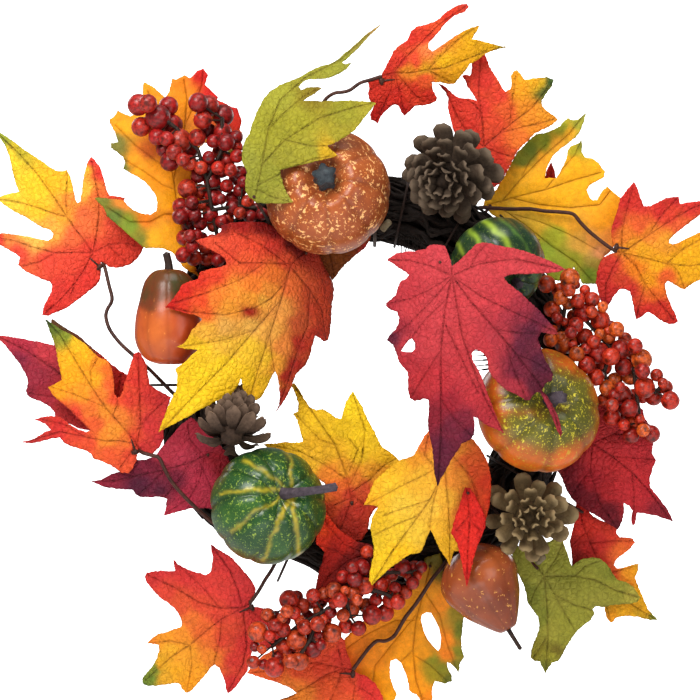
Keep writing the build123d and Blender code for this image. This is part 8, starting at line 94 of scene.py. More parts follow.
KEY, FILL, TOP, LOW, AMBIENT, BACK = 35.5, 11.0, 10.0, 4.0, 0.26, 1.8

# ------------------------------------------------------------------ helpers
def lin(c):
    c = np.asarray(c, float) / 255.0
    return np.where(c <= 0.04045, c / 12.92, ((c + 0.055) / 1.055) ** 2.4)


def col(r, g, b):
    return tuple(float(v) for v in lin((r, g, b))) + (1.0,)


def unit(v):
    v = np.asarray(v, float)
    return v / np.linalg.norm(v)


def make(name, verts, faces, body, mat, smooth=True, cols=None, extra=None, node=None):
    me = bpy.data.meshes.new(name)
    me.from_pydata([tuple(v) for v in verts], [], [tuple(f) for f in faces])
    me.validate()
    me.update()
    if smooth:
        me.polygons.foreach_set("use_smooth", [True] * len(me.polygons))
    if cols is not None:
        a = me.color_attributes.new("Col", "FLOAT_COLOR", "POINT")
        buf = np.ones((len(me.vertices), 4), np.float32)
        buf[:, :3] = cols
        a.data.foreach_set("color", buf.ravel())
    for k, v in (extra or {}).items():
        a = me.attributes.new(k, "FLOAT", "POINT")
        a.data.foreach_set("value", np.asarray(v, np.float32))
    ob = bpy.data.objects.new(name, me)
    scn.collection.objects.link(ob)
    me.materials.append(mat)
    if node:
        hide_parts(*([node] if isinstance(node, str) else node))
    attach(ob, body)
    return ob


class Tree:
    def __init__(self, name):
        self.m = bpy.data.materials.new(name)
        self.m.use_nodes = True
        self.t = self.m.node_tree
        self.b = self.t.nodes["Principled BSDF"]
        self.tc = self.t.nodes.new("ShaderNodeTexCoord")

    def n(self, kind, **kw):
        nd = self.t.nodes.new(kind)
        for k, v in kw.items():
            setattr(nd, k, v)
        return nd

    def l(self, a, b):
        self.t.links.new(a, b)

    def noise(self, scale, detail=3.0, rough=0.5, vec=None):
        nd = self.n("ShaderNodeTexNoise")
        nd.inputs["Scale"].default_value = scale
        nd.inputs["Detail"].default_value = detail
        nd.inputs["Roughness"].default_value = rough
        self.l(vec or self.tc.outputs["Object"], nd.inputs["Vector"])
        return nd

    def voro(self, scale, feature="F1", vec=None):
        nd = self.n("ShaderNodeTexVoronoi", feature=feature)
        nd.inputs["Scale"].default_value = scale
        self.l(vec or self.tc.outputs["Object"], nd.inputs["Vector"])
        return nd

    def ramp(self, src, stops, interp="LINEAR"):
        nd = self.n("ShaderNodeValToRGB")
        nd.color_ramp.interpolation = interp
        el = nd.color_ramp.elements
        while len(el) < len(stops):
            el.new(0.5)
        for e, (p, c) in zip(el, stops):
            e.position = p
            e.color = c if len(c) == 4 else tuple(c) + (1.0,)
        self.l(src, nd.inputs["Fac"])
        return nd

    def mix(self, fac, a, b, mode="MIX"):
        nd = self.n("ShaderNodeMix", data_type="RGBA", blend_type=mode)
        if isinstance(fac, float):
            nd.inputs[0].default_value = fac
        else:
            self.l(fac, nd.inputs[0])
        for s, v in ((nd.inputs[6], a), (nd.inputs[7], b)):
            if isinstance(v, tuple):
                s.default_value = v
            else:
                self.l(v, s)
        return nd.outputs[2]

    def math(self, op, a, b=0.0, clamp=False):
        nd = self.n("ShaderNodeMath", operation=op, use_clamp=clamp)
        for s, v in ((nd.inputs[0], a), (nd.inputs[1], b)):
            if isinstance(v, (int, float)):
                s.default_value = v
            else:
                self.l(v, s)
        return nd.outputs[0]

    def attr(self, name):
        nd = self.n("ShaderNodeAttribute", attribute_name=name)
        return nd

    def bump(self, height, strength, distance, prev=None):
        nd = self.n("ShaderNodeBump")
        nd.inputs["Strength"].default_value = strength
        nd.inputs["Distance"].default_value = distance
        self.l(height, nd.inputs["Height"])
        if prev is not None:
            self.l(prev, nd.inputs["Normal"])
        self.l(nd.outputs["Normal"], self.b.inputs["Normal"])
        return nd.outputs["Normal"]

    def base(self, c):
        if isinstance(c, tuple):
            self.b.inputs["Base Color"].default_value = c
        else:
            self.l(c, self.b.inputs["Base Color"])

    def gloss(self, rough, spec=0.5, coat=0.0, coat_rough=0.1):
        self.b.inputs["Roughness"].default_value = rough
        self.b.inputs["Specular IOR Level"].default_value = spec
        self.b.inputs["Coat Weight"].default_value = coat
        self.b.inputs["Coat Roughness"].default_value = coat_rough


# ------------------------------------------------------------------ materials
def leaf_material():
    t = Tree("leaf_fabric")
    c = t.attr("Col").outputs["Color"]
    vein = t.attr("vein").outputs["Fac"]
    crisp = t.attr("crackle").outputs["Fac"]
    mott = t.noise(220.0, 4.0, 0.6)
    fine = t.noise(1500.0, 2.0, 0.6)
    warp = t.noise(260.0, 2.0, 0.5)
    vec = t.mix(0.0022, t.tc.outputs["Object"], warp.outputs["Color"], "ADD")
    cell = t.voro(235.0, "DISTANCE_TO_EDGE", vec)
    cell2 = t.voro(520.0, "DISTANCE_TO_EDGE", vec)
    net = t.ramp(cell.outputs["Distance"], [(0.0, (0.0, 0.0, 0.0)), (0.20, (0.66, 0.66, 0.66)), (0.48, (1.0, 1.0, 1.0))])
    net2 = t.ramp(cell2.outputs["Distance"], [(0.0, (0.0, 0.0, 0.0)), (0.25, (1.0, 1.0, 1.0))])
    # printed mottling
    v = t.ramp(mott.outputs["Fac"], [(0.25, (0.78, 0.78, 0.78)), (0.75, (1.14, 1.14, 1.14))])
    c1 = t.mix(1.0, c, v.outputs["Color"], "MULTIPLY")
    w = t.ramp(fine.outputs["Fac"], [(0.3, (0.88, 0.88, 0.88)), (0.7, (1.08, 1.08, 1.08))])
    c2 = t.mix(1.0, c1, w.outputs["Color"], "MULTIPLY")
    # sunk net of small veins between raised cells; its darker colour is painted shade in the valleys
    n2 = t.ramp(cell.outputs["Distance"], [(0.0, (0.78, 0.71, 0.67)), (0.09, (0.96, 0.95, 0.94)), (0.30, (1.05, 1.05, 1.04))])
    c3 = t.mix(t.math("MULTIPLY", crisp, 0.42, True), c2, t.mix(1.0, c2, n2.outputs["Color"], "MULTIPLY"))
    dark = t.mix(1.0, c3, (0.42, 0.30, 0.27, 1.0), "MULTIPLY")
    vf = t.math("MULTIPLY", vein, 0.62, True)
    c4 = t.mix(vf, c3, dark)
    t.base(c4)
    t.gloss(0.58, 0.16)
    h = t.math("MULTIPLY", net.outputs["Color"], crisp)
    n = t.bump(h, 0.62, 0.0013)
    n = t.bump(t.math("MULTIPLY", net2.outputs["Color"], crisp), 0.35, 0.0006, n)
    n = t.bump(vein, 0.7, -0.0014, n)
    t.bump(fine.outputs["Fac"], 0.3, 0.0003, n)
    return t.m


def speckled(name, base, dark, fleck, rough=0.38, fleck_scale=330.0, cut=0.60, coat=0.25, grain=90.0, use_col=False, second=None):
    t = Tree(name)
    big = t.noise(grain, 4.0, 0.6)
    c0 = t.attr("Col").outputs["Color"] if use_col else base
    c1 = t.mix(t.ramp(big.outputs["Fac"], [(0.35, (0.0, 0.0, 0.0)), (0.7, (1.0, 1.0, 1.0))]).outputs["Color"], c0,
               t.mix(0.55, c0, dark))
    warp = t.noise(fleck_scale * 0.5, 2.0, 0.6)
    vec = t.mix(0.006, t.tc.outputs["Object"], warp.outputs["Color"], "ADD")
    f = t.noise(fleck_scale, 2.0, 0.65, vec)
    m = t.ramp(f.outputs["Fac"], [(cut, (0.0, 0.0, 0.0)), (cut + 0.06, (1.0, 1.0, 1.0))])
    amount = m.outputs["Color"]
    if use_col:
        amount = t.math("MULTIPLY", m.outputs["Color"], t.attr("fleck").outputs["Fac"], True)
    c2 = t.mix(amount, c1, fleck)
    if second:
        f2 = t.noise(fleck_scale * 2.1, 2.0, 0.6)
        m2 = t.ramp(f2.outputs["Fac"], [(0.62, (0.0, 0.0, 0.0)), (0.68, (1.0, 1.0, 1.0))])
        a2 = m2.outputs["Color"]
        if use_col:
            a2 = t.math("MULTIPLY", a2, t.attr("fleck").outputs["Fac"], True)
        c2 = t.mix(a2, c2, second)
    t.base(c2)
    t.gloss(rough, 0.32, coat * 0.35, 0.2)
    n = t.bump(big.outputs["Fac"], 0.35, 0.0012)
    t.bump(f.outputs["Fac"], 0.25, 0.0005, n)
    return t.m


def berry_material():
    t = Tree("berry_lacquer")
    c = t.attr("Col").outputs["Color"]
    n1 = t.noise(420.0, 3.0, 0.6)
    c1 = t.mix(t.ramp(n1.outputs["Fac"], [(0.40, (0.0, 0.0, 0.0)), (0.68, (1.0, 1.0, 1.0))]).outputs["Color"], c,
               t.mix(1.0, c, (0.28, 0.16, 0.14, 1.0), "MULTIPLY"))
    t.base(c1)
    t.gloss(0.36, 0.35, 0.12, 0.2)
    t.bump(n1.outputs["Fac"], 0.25, 0.0006)
    return t.m


def bark(name, a, b, rough=0.75, scale=160.0, stretch=(1.0, 1.0, 1.0), strength=0.7):
    t = Tree(name)
    n1 = t.noise(scale, 5.0, 0.65)
    n2 = t.noise(scale * 5.0, 2.0, 0.5)
    c = t.mix(t.ramp(n1.outputs["Fac"], [(0.3, (0.0, 0.0, 0.0)), (0.7, (1.0, 1.0, 1.0))]).outputs["Color"], a, b)
    t.base(t.mix(t.ramp(n2.outputs["Fac"], [(0.4, (0.0, 0.0, 0.0)), (0.8, (0.5, 0.5, 0.5))]).outputs["Color"], c, b))
    t.gloss(rough, 0.2)
    n = t.bump(n1.outputs["Fac"], strength, 0.0012)
    t.bump(n2.outputs["Fac"], 0.4, 0.0004, n)
    return t.m


def cone_material(name, a, b, tip):
    t = Tree(name)
    n1 = t.noise(420.0, 4.0, 0.65)
    n2 = t.noise(1500.0, 2.0, 0.5)
    c = t.mix(t.ramp(n1.outputs["Fac"], [(0.3, (0.0, 0.0, 0.0)), (0.7, (1.0, 1.0, 1.0))]).outputs["Color"], a, b)
    c = t.mix(t.math("MULTIPLY", t.attr("tip").outputs["Fac"], 1.0, True), c, tip)
    dk = t.mix(1.0, c, (0.25, 0.22, 0.2, 1.0), "MULTIPLY")
    c = t.mix(t.math("MULTIPLY", t.attr("shade").outputs["Fac"], 1.0, True), c, dk)
    t.base(c)
    t.gloss(0.75, 0.15)
    n = t.bump(n1.outputs["Fac"], 0.6, 0.0010)
    t.bump(n2.outputs["Fac"], 0.4, 0.0004, n)
    return t.m


M_LEAF = leaf_material()
M_BERRY = berry_material()
M_TWIG = bark("vine_twigs", col(46, 36, 30), col(20, 15, 13), 0.8, 260.0)
M_WIRE = bark("stem_wire", col(88, 52, 40), col(48, 28, 24), 0.45, 220.0, strength=0.4)
M_WIRE_DARK = bark("florist_wire", col(60, 42, 34), col(34, 24, 20), 0.5, 240.0, strength=0.3)
M_LOOP = bark("hanger_enamel", col(78, 58, 46), col(52, 38, 30), 0.38, 300.0, strength=0.2)
M_STEM = bark("gourd_stem", col(92, 80, 88), col(52, 44, 52), 0.6, 260.0)
M_SLATE = bark("slate_stem", col(72, 80, 84), col(34, 38, 44), 0.45, 260.0)
M_NUB = bark("pale_nub", col(150, 135, 105), col(95, 82, 62), 0.6, 200.0)
M_COPPER = speckled("copper_gourd", col(182, 92, 44), col(110, 42, 22), col(246, 186, 118), 0.36, 300.0, 0.585, 0.3, 60.0, True, col(225, 140, 70))
M_ORANGE = speckled("orange_gourd", col(205, 100, 45), col(150, 45, 18), col(240, 150, 70), 0.34, 260.0, 0.66, 0.35, 45.0, True)
M_MOTTLED = speckled("mottled_gourd", col(222, 112, 30), col(60, 62, 20), col(205, 190, 50), 0.34, 330.0, 0.60, 0.35, 60.0, True, col(190, 175, 45))
M_BROWN = speckled("brown_gourd", col(160, 74, 34), col(92, 36, 18), col(215, 150, 70), 0.24, 300.0, 0.645, 0.5, 40.0, True)
M_GREEN = speckled("green_gourd", col(52, 92, 36), col(24, 52, 26), col(140, 165, 60), 0.30, 380.0, 0.60, 0.4, 60.0, True, col(120, 150, 60))
M_CONE1 = cone_material("cone_dark", col(86, 70, 57), col(50, 40, 32), col(106, 90, 74))
M_CONE2 = cone_material("cone_grey", col(106, 84, 69), col(66, 51, 42), col(134, 110, 92))
M_CONE3 = cone_material("cone_olive", col(120, 98, 64), col(76, 60, 40), col(150, 128, 92))

# ------------------------------------------------------------------ leaves
def surface(leaf):
    gx, gz = leaf["slope"]
    n = unit((gx, -1.0, gz))
    ph = math.radians(leaf["axis_deg"])
    a = unit((math.cos(ph), gx * math.cos(ph) + gz * math.sin(ph), math.sin(ph)))
    c = np.array(leaf["anchor"], float) - leaf["bend_r"] * n
    return n, a, c, leaf["bend_r"]


def depth(leaf, x, z):
    n, a, c, r = surface(leaf)
    dx, dz = x - c[0], z - c[2]
    ue = dx * a[0] + dz * a[2]
    qa = 1 - a[1] ** 2
    qb = -2 * ue * a[1]
    qc = dx * dx + dz * dz - ue * ue - r * r
    s = np.sqrt(np.clip(qb * qb - 4 * qa * qc, 0, None))
    return (-qb - s) / (2 * qa) + c[1]


def inside(poly, x, z):
    poly = np.asarray(poly, float)
    res = np.zeros(x.shape, bool)
    x1, z1 = poly[:, 0], poly[:, 1]
    x2, z2 = np.roll(x1, -1), np.roll(z1, -1)
    for i in range(len(poly)):
        if z1[i] == z2[i]:
            continue
        cross = (z1[i] > z) != (z2[i] > z)
        xi = (x2[i] - x1[i]) * (z - z1[i]) / (z2[i] - z1[i]) + x1[i]
        res ^= cross & (x < xi)
    return res


def seg_dist(px, pz, a, b):
    ab = b - a
    t = np.clip(((px - a[0]) * ab[0] + (pz - a[1]) * ab[1]) / max(ab.dot(ab), 1e-9), 0, 1)
    return np.hypot(px - a[0] - t * ab[0], pz - a[1] - t * ab[1])


def resample(pts, step, closed=True):
    out = []
    n = len(pts)
    for i in range(n if closed else n - 1):
        a, b = np.array(pts[i], float), np.array(pts[(i + 1) % n], float)
        k = max(1, int(math.ceil(np.linalg.norm(b - a) / step)))
        for j in range(k):
            out.append(a + (b - a) * j / k)
    if not closed:
        out.append(np.array(pts[-1], float))
    return out


def leaf_piece(name, leaf, body, node):
    r = np.random.RandomState(sum(ord(ch) for ch in name) * 7 + 3)
    ol = resample(leaf["outline"], 1.3)
    ol = np.array(ol)
    # small sawtooth of the cut edge
    nxt, prv = np.roll(ol, -1, 0), np.roll(ol, 1, 0)
    tan = nxt - prv
    nor = np.c_[tan[:, 1], -tan[:, 0]] / (np.linalg.norm(tan, axis=1)[:, None] + 1e-9)
    ol = ol + nor * (r.uniform(-0.28, 0.28, len(ol))[:, None])
    holes = [np.array(resample(h, 1.3)) for h in leaf["holes"]]
    pitch = 1.8
    lo, hi = ol.min(0), ol.max(0)
    gx, gz = np.meshgrid(np.arange(lo[0], hi[0], pitch), np.arange(lo[1], hi[1], pitch * 0.87))
    gx = gx + (np.arange(gx.shape[0]) % 2)[:, None] * pitch * 0.5
    gx = gx.ravel() + r.uniform(-0.35, 0.35, gx.size)
    gz = gz.ravel() + r.uniform(-0.35, 0.35, gz.size)
    keep = inside(ol, gx, gz)
    for h in holes:
        keep &= ~inside(h, gx, gz)
    gx, gz = gx[keep], gz[keep]
    loops = [ol] + holes
    de = np.full(gx.shape, 1e9)
    for lp in loops:
        for i in range(len(lp)):
            de = np.minimum(de, seg_dist(gx, gz, lp[i], lp[(i + 1) % len(lp)]))
    veins = []
    for k, v in enumerate(leaf["veins"]):
        p = np.array(resample(v, 1.3, closed=False))
        ok = inside(ol, p[:, 0], p[:, 1])
        for h in holes:
            ok &= ~inside(h, p[:, 0], p[:, 1])
        p = p[ok]
        if len(p) > 2:
            veins.append((p, 0.95 if len(v) > 4 else 0.75))
    dv = np.full(gx.shape, 1e9)
    for p, w in veins:
        for i in range(len(p) - 1):
            dv = np.minimum(dv, seg_dist(gx, gz, p[i], p[i + 1]))
    k = (de > 0.8) & (dv > 1.1)
    pts = [tuple(q) for q in np.c_[gx[k], gz[k]]]
    edges = []
    for lp in loops:
        o = len(pts)
        pts += [tuple(q) for q in lp]
        edges += [(o + i, o + (i + 1) % len(lp)) for i in range(len(lp))]
    extra = []
    for p, w in veins:
        pts += [tuple(q) for q in p]
        t = np.gradient(p, axis=0)
        t /= np.linalg.norm(t, axis=1)[:, None] + 1e-9
        for s in (-0.75, 0.75):
            q = p + np.c_[-t[:, 1], t[:, 0]] * s
            extra.append(q)
    if extra:
        q = np.vstack(extra)
        ok = inside(ol, q[:, 0], q[:, 1])
        for h in holes:
            ok &= ~inside(h, q[:, 0], q[:, 1])
        q = q[ok]
        de2 = np.full(len(q), 1e9)
        for lp in loops:
            for i in range(len(lp)):
                de2 = np.minimum(de2, seg_dist(q[:, 0], q[:, 1], lp[i], lp[(i + 1) % len(lp)]))
        pts += [tuple(v) for v in q[de2 > 0.5]]
    res = geometry.delaunay_2d_cdt([Vector(p) for p in pts], edges, [], 0, 1e-4, False)
    v2 = np.array([(v.x, v.y) for v in res[0]])
    tri = np.array([f for f in res[2] if len(f) == 3])
    cen = v2[tri].mean(1)
    ok = inside(ol, cen[:, 0], cen[:, 1])
    for h in holes:
        ok &= ~inside(h, cen[:, 0], cen[:, 1])
    tri = tri[ok]
    used = np.unique(tri)
    remap = -np.ones(len(v2), int)
    remap[used] = np.arange(len(used))
    v2, tri = v2[used], remap[tri]
    x, z = v2[:, 0], v2[:, 1]
    dv = np.full(len(x), 1e9)
    vein = np.zeros(len(x))
    for p, w in veins:
        d = np.full(len(x), 1e9)
        for i in range(len(p) - 1):
            d = np.minimum(d, seg_dist(x, z, p[i], p[i + 1]))
        dv = np.minimum(dv, d)
        vein = np.maximum(vein, np.exp(-(d / 0.62) ** 2) * w)
    de = np.full(len(x), 1e9)
    for lp in loops:
        for i in range(0, len(lp)):
            de = np.minimum(de, seg_dist(x, z, lp[i], lp[(i + 1) % len(lp)]))
    y = depth(leaf, x, z)
    puff = leaf.get("puff", 0.8)
    seed = leaf["anchor"][0] * 0.13
    nz = np.array([noise.noise(Vector((a * 0.05 + seed, b * 0.05, seed))) for a, b in zip(x, z)])
    nf = np.array([noise.noise(Vector((a * 0.16 + seed, b * 0.16, 3.7))) for a, b in zip(x, z)])
    hub = np.array(leaf["hub"])
    rad = np.hypot(x - hub[0], z - hub[1])
    y = y - puff * (1 - np.exp(-(dv / 4.5) ** 2)) + puff * 0.5
    y = y + nz * leaf.get("wave", 1.6) * np.clip(rad / 35.0, 0.2, 1.0) + nf * 0.55 * np.exp(-(de / 5.0))
    # colour: soft blend of the notes, warped by noise; the darkest notes on some leaves are painted shade
    wx = np.array([noise.noise(Vector((a * 0.11, b * 0.11, 9.1 + seed))) for a, b in zip(x, z)]) * 2.6
    wz = np.array([noise.noise(Vector((a * 0.11, b * 0.11, 5.3 + seed))) for a, b in zip(x, z)]) * 2.6
    wx += np.array([noise.noise(Vector((a * 0.4, b * 0.4, 1.1))) for a, b in zip(x, z)]) * 0.9
    an = np.array(leaf["colours"], float)
    d2 = (x[:, None] + wx[:, None] - an[None, :, 0]) ** 2 + (z[:, None] + wz[:, None] - an[None, :, 1]) ** 2
    w = 1.0 / (d2 + 2.0) ** 1.9
    c = (w[:, :, None] * lin(an[None, :, 2:5])).sum(1) / w.sum(1)[:, None]
    verts = np.c_[x, y, z] * MM
    # winding so the front faces -Y
    a, b, d = verts[tri[:, 0]], verts[tri[:, 1]], verts[tri[:, 2]]
    nrm = np.cross(b - a, d - a)
    flip = nrm[:, 1] > 0
    tri[flip] = tri[flip][:, ::-1]
    ob = make(name, verts, tri, body, M_LEAF, True, c, {"vein": vein, "crackle": np.full(len(x), leaf.get("crackle", 1.0))}, node)
    so = ob.modifiers.new("thickness", "SOLIDIFY")
    so.thickness = 0.00045
    so.offset = 0.0
    # size of the flat cut: the least rectangle round the blade, and its area
    n, ax, _, _ = surface(leaf)
    n, ax = np.array(n), np.array(ax)
    bx = np.cross(n, ax)
    u, v = verts @ ax, verts @ bx
    best = None
    for deg in range(0, 90, 3):
        q = math.radians(deg)
        s, e = u * math.cos(q) + v * math.sin(q), v * math.cos(q) - u * math.sin(q)
        wd, ln = float(np.ptp(s)), float(np.ptp(e))
        if best is None or wd * ln < best[0] * best[1]:
            best = (wd, ln)
    return ob


# ------------------------------------------------------------------ tubes
def smooth_path(pts, step=1.2):
    p = [np.array(q, float) for q in pts]
    p = [2 * p[0] - p[1]] + p + [2 * p[-1] - p[-2]]
    out = []
    for i in range(1, len(p) - 2):
        a, b, c, d = p[i - 1], p[i], p[i + 1], p[i + 2]
        k = max(2, int(np.linalg.norm(c - b) / step))
        for j in range(k):
            t = j / k
            out.append(0.5 * (2 * b + (c - a) * t + (2 * a - 5 * b + 4 * c - d) * t * t + (3 * b - a - 3 * c + d) * t ** 3))
    out.append(p[-2])
    return np.array(out)


def tube(path, radius, sides=10, cap=True, squash=None, phase=0.0):
    path = np.asarray(path, float)
    rad = np.broadcast_to(np.asarray(radius, float), (len(path),))
    t = np.gradient(path, axis=0)
    t /= np.linalg.norm(t, axis=1)[:, None] + 1e-12
    ref = np.array([0.0, 0.0, 1.0]) if abs(t[0][2]) < 0.9 else np.array([1.0, 0.0, 0.0])
    u = np.cross(t[0], ref)
    u /= np.linalg.norm(u)
    verts, faces = [], []
    ang = np.arange(sides) * 2 * math.pi / sides + phase
    for i in range(len(path)):
        u = u - t[i] * u.dot(t[i])
        u /= np.linalg.norm(u)
        v = np.cross(t[i], u)
        k = rad[i] if squash is None else rad[i] * (1 + squash * np.cos(ang * 3))
        ring = path[i] + (np.cos(ang) * k)[:, None] * u + (np.sin(ang) * k)[:, None] * v
        verts.append(ring)
    verts = np.vstack(verts)
    m = len(path)
    for i in range(m - 1):
        for j in range(sides):
            a, b = i * sides + j, i * sides + (j + 1) % sides
            faces.append((a, b, b + sides, a + sides))
    if cap:
        n = len(verts)
        verts = np.vstack([verts, path[0] - t[0] * rad[0] * 0.5, path[-1] + t[-1] * rad[-1] * 0.5])
        for j in range(sides):
            faces.append((n, (j + 1) % sides, j))
            e = (m - 1) * sides
            faces.append((n + 1, e + j, e + (j + 1) % sides))
    return verts, faces


def join(parts):
    V, F, o = [], [], 0
    for v, f in parts:
        V.append(np.asarray(v, float))
        F += [tuple(i + o for i in q) for q in f]
        o += len(v)
    return np.vstack(V), F


BENDS = {n: n + "_blade" for n in WIRES}
for name in LEAVES:
    leaf_piece(name + "_fabric", LEAVES[name], BENDS.get(name, "wreath"), name)

for name, w in WIRES.items():
    b = np.array(w["route"][0], float)
    u, dv, nn = (np.array(w[k], float) for k in ("pin_dir", "blade_dir", "normal"))
    path = smooth_path(w["route"])
    jit = np.array([noise.noise(Vector((i * 0.09, 3.3, len(name)))) for i in range(len(path))])
    parts = [tube(path * MM, (1.42 + 0.12 * jit) * MM, 10), tube(np.array([b - u * 0.6, b + u * 5.9]) * MM, 0.88 * MM, 12),
             tube(np.array([b + u * 5.15, b + u * 5.5, b + u * 5.85]) * MM, np.array([1.1, 1.5, 1.1]) * MM, 12)]
    v, f = join(parts)
    make(name.replace("leaf_", "stem_wire_"), v, f, "wreath", M_WIRE, node=name.replace("leaf_", "leaf_wire_"))
    # rolled knuckle and rib of the blade
    q = [b + u * 1.4, b + u * 2.0, b + u * 4.3, b + u * 4.9]
    v1 = tube(np.array(q) * MM, np.array([1.55, 1.85, 1.85, 1.55]) * MM, 16, cap=False)
    c = b + u * 3.1
    v2 = tube(np.array([c + dv * 1.2 - nn * 0.0, c + dv * 5.0, c + dv * 9.5]) * MM, np.array([0.9, 0.8, 0.35]) * MM, 8)
    v, f = join([v1, v2])
    make(name + "_knuckle", v, f, BENDS[name], M_WIRE)

# ------------------------------------------------------------------ ring of twigs
def twig(a0, span, rho0, phi0, dphi, r0, wob, n):
    t = np.linspace(0, 1, n)
    s1, s2, s3 = rng.uniform(0, 50, 3)
    w1 = np.array([noise.noise(Vector((s1 + q * 7, 0.2, 0))) for q in t * span])
    w2 = np.array([noise.noise(Vector((s2 + q * 9, 1.2, 0))) for q in t * span])
    ang = a0 + span * t
    rho = np.clip(rho0 + wob * w1, 2.0, 25.2 - r0)
    phi = phi0 + dphi * t + w2 * 0.5
    deg = np.degrees(ang) % 360
    tight = 0.66 * np.exp(-((deg - 175) / 13) ** 2) + 0.5 * np.exp(-((deg - 249) / 15) ** 2)
    rho = rho * (1 - tight)
    R = 128.0 - 9.0 * tight + rho * np.cos(phi)
    x, z, y = R * np.cos(ang), R * np.sin(ang), rho * np.sin(phi)
    path = np.c_[x, y + RING[0], z + RING[1]]
    return tube(path * MM, np.interp(t, [0, 0.1, 0.9, 1], [0.5, 1, 1, 0.5]) * r0 * MM, 7)


tw = []
for i in range(150):
    span = rng.uniform(0.8, 3.2)
    tw.append(twig(rng.uniform(0, 2 * math.pi), span, rng.uniform(19.0, 24.4), rng.uniform(0, 2 * math.pi), rng.uniform(-2.2, 2.2) * span / 2,
                   rng.uniform(0.8, 2.0), 5.0, int(24 + span * 26)))
for i in range(26):
    tw.append(twig(i * 0.7, 6.2, rng.uniform(10.0, 20.0), i * 2 * math.pi / 26, rng.uniform(-1.0, 1.0), rng.uniform(2.6, 3.6), 2.0, 120))
v, f = join(tw)
make("vine_twigs", v, f, "wreath", M_TWIG, node=["vine_core", "vine_strands"])

# thin ends of vine that stand off the ring
for_bits = []
for (x0, z0, y0, x1, z1, y1, r0) in BRISTLES:
    m = np.array([(x0 + x1) / 2 + rng.uniform(-1.2, 1.2), (y0 + y1) / 2 - 1.0, (z0 + z1) / 2])
    for_bits.append(tube(smooth_path([(x0, y0, z0), m, (x1, y1, z1)]) * MM, np.array([r0 * 1.1, r0, r0 * 0.9, r0 * 0.5])[np.minimum(3, (np.arange(len(smooth_path([(x0, y0, z0), m, (x1, y1, z1)]))) * 4 // len(smooth_path([(x0, y0, z0), m, (x1, y1, z1)]))))] * MM, 6))
v, f = join(for_bits)
make("vine_ends", v, f, "wreath", M_TWIG)
v, f = join([tube(smooth_path(p) * MM, r * MM, 10) for p, r in NUBS])
make("pale_twig_nubs", v, f, "wreath", M_NUB)

# ------------------------------------------------------------------ short stems and berry branches
v, f = join([tube(smooth_path([a, (np.array(a) * 0.5 + np.array(b) * 0.5), b]) * MM, 1.15 * MM, 9) for a, b in SHORT_STEMS])
make("leaf_stems_short", v, f, "wreath", M_WIRE, node="short_leaf_stems")


def sphere(sub):
    import bmesh
    bm = bmesh.new()
    bmesh.ops.create_icosphere(bm, subdivisions=sub, radius=1.0)
    v = np.array([q.co[:] for q in bm.verts])
    f = [tuple(q.index for q in p.verts) for p in bm.faces]
    bm.free()
    return v, f


SV, SF = sphere(3)
SF = np.array(SF)


def berries(name, rows, palette, node, grow=1.13):
    r = np.random.RandomState(len(rows) * 3 + 1)
    # small fruits that fill the gaps round the branch
    rows = [tuple(q) for q in rows]
    pos = np.array(rows)
    full = list(rows)
    for i in range(len(rows)):
        d = np.linalg.norm(pos[:, :3] - pos[i, :3], axis=1)
        for j in np.argsort(d)[1:4]:
            m = (pos[i, :3] + pos[j, :3]) / 2 + np.array([r.uniform(-1, 1), 3.0, r.uniform(-1, 1)])
            rr = 0.80 * min(pos[i, 3], pos[j, 3])
            if len(full) < 118 and d[j] < 24 and all(math.dist(m, q[:3]) > 0.80 * (rr + q[3]) for q in full):
                full.append((m[0], m[1], m[2], rr))
    rows = full
    V, F, C = [], [], []
    for i, (x, y, z, rad) in enumerate(rows):
        c = lin(palette[r.randint(len(palette))]) * r.uniform(0.82, 1.15)
        out = unit((r.uniform(-0.9, 0.9), -r.uniform(0.25, 1.0), r.uniform(-0.8, 0.9)))
        a = unit(r.normal(size=3))
        s = 1.0 + 0.05 * (SV @ a)[:, None] + 0.015 * np.array([noise.noise(Vector(q * 1.7) + Vector((i, 0, 0))) for q in SV])[:, None]
        k = SV @ out
        dim = np.clip((k - 0.93) / 0.05, 0, 1)
        s = s * (1 - 0.09 * dim[:, None])
        V.append(np.array([x, y, z]) + SV * s * rad * grow)
        lat = np.clip((SV @ a) * 0.5 + 0.5, 0, 1)[:, None]
        cc = c[None, :] * (0.8 + 0.35 * lat)
        cc = cc * (1 - 0.8 * dim[:, None]) + lin((50, 26, 20))[None, :] * 0.8 * dim[:, None]
        C.append(np.clip(cc, 0, 1))
        F.append(SF + i * len(SV))
    make(name + "_glossy", np.vstack(V) * MM, np.vstack(F).tolist(), "wreath", M_BERRY, True, np.vstack(C), node=node)


berries("berries_upper_left", BERRIES[0], [(176, 34, 28), (160, 26, 24), (190, 44, 30), (146, 22, 22), (200, 58, 34)], "berries_upper_left", 1.18)
berries("berries_right", BERRIES[1], [(206, 66, 26), (186, 42, 22), (220, 96, 34), (168, 34, 22), (196, 52, 26)], "berries_right")
berries("berries_lower", BERRIES[2], [(190, 44, 26), (172, 32, 22), (206, 76, 34), (152, 24, 20), (198, 58, 30)], "berries_lower")

for k, nm in ((0, "upper_left"), (1, "right"), (2, "lower")):
    parts = [tube(smooth_path([a, (np.array(a) + np.array(b)) / 2, b]) * MM, 1.45 * MM, 8) for a, b in TREES[k][0]]
    parts += [tube(np.array([a, b], float) * MM, 0.75 * MM, 6) for a, b in TREES[k][1]]
    v, f = join(parts)
    make("berry_branch_" + nm, v, f, "wreath", M_WIRE_DARK, node="berry_stem_" + nm)


# ------------------------------------------------------------------ gourds
def frame_of(axis):
    z = unit(axis)
    ref = np.array([0.0, 0.0, 1.0]) if abs(z[2]) < 0.9 else np.array([1.0, 0.0, 0.0])
    x = unit(np.cross(ref, z))
    return x, np.cross(z, x), z


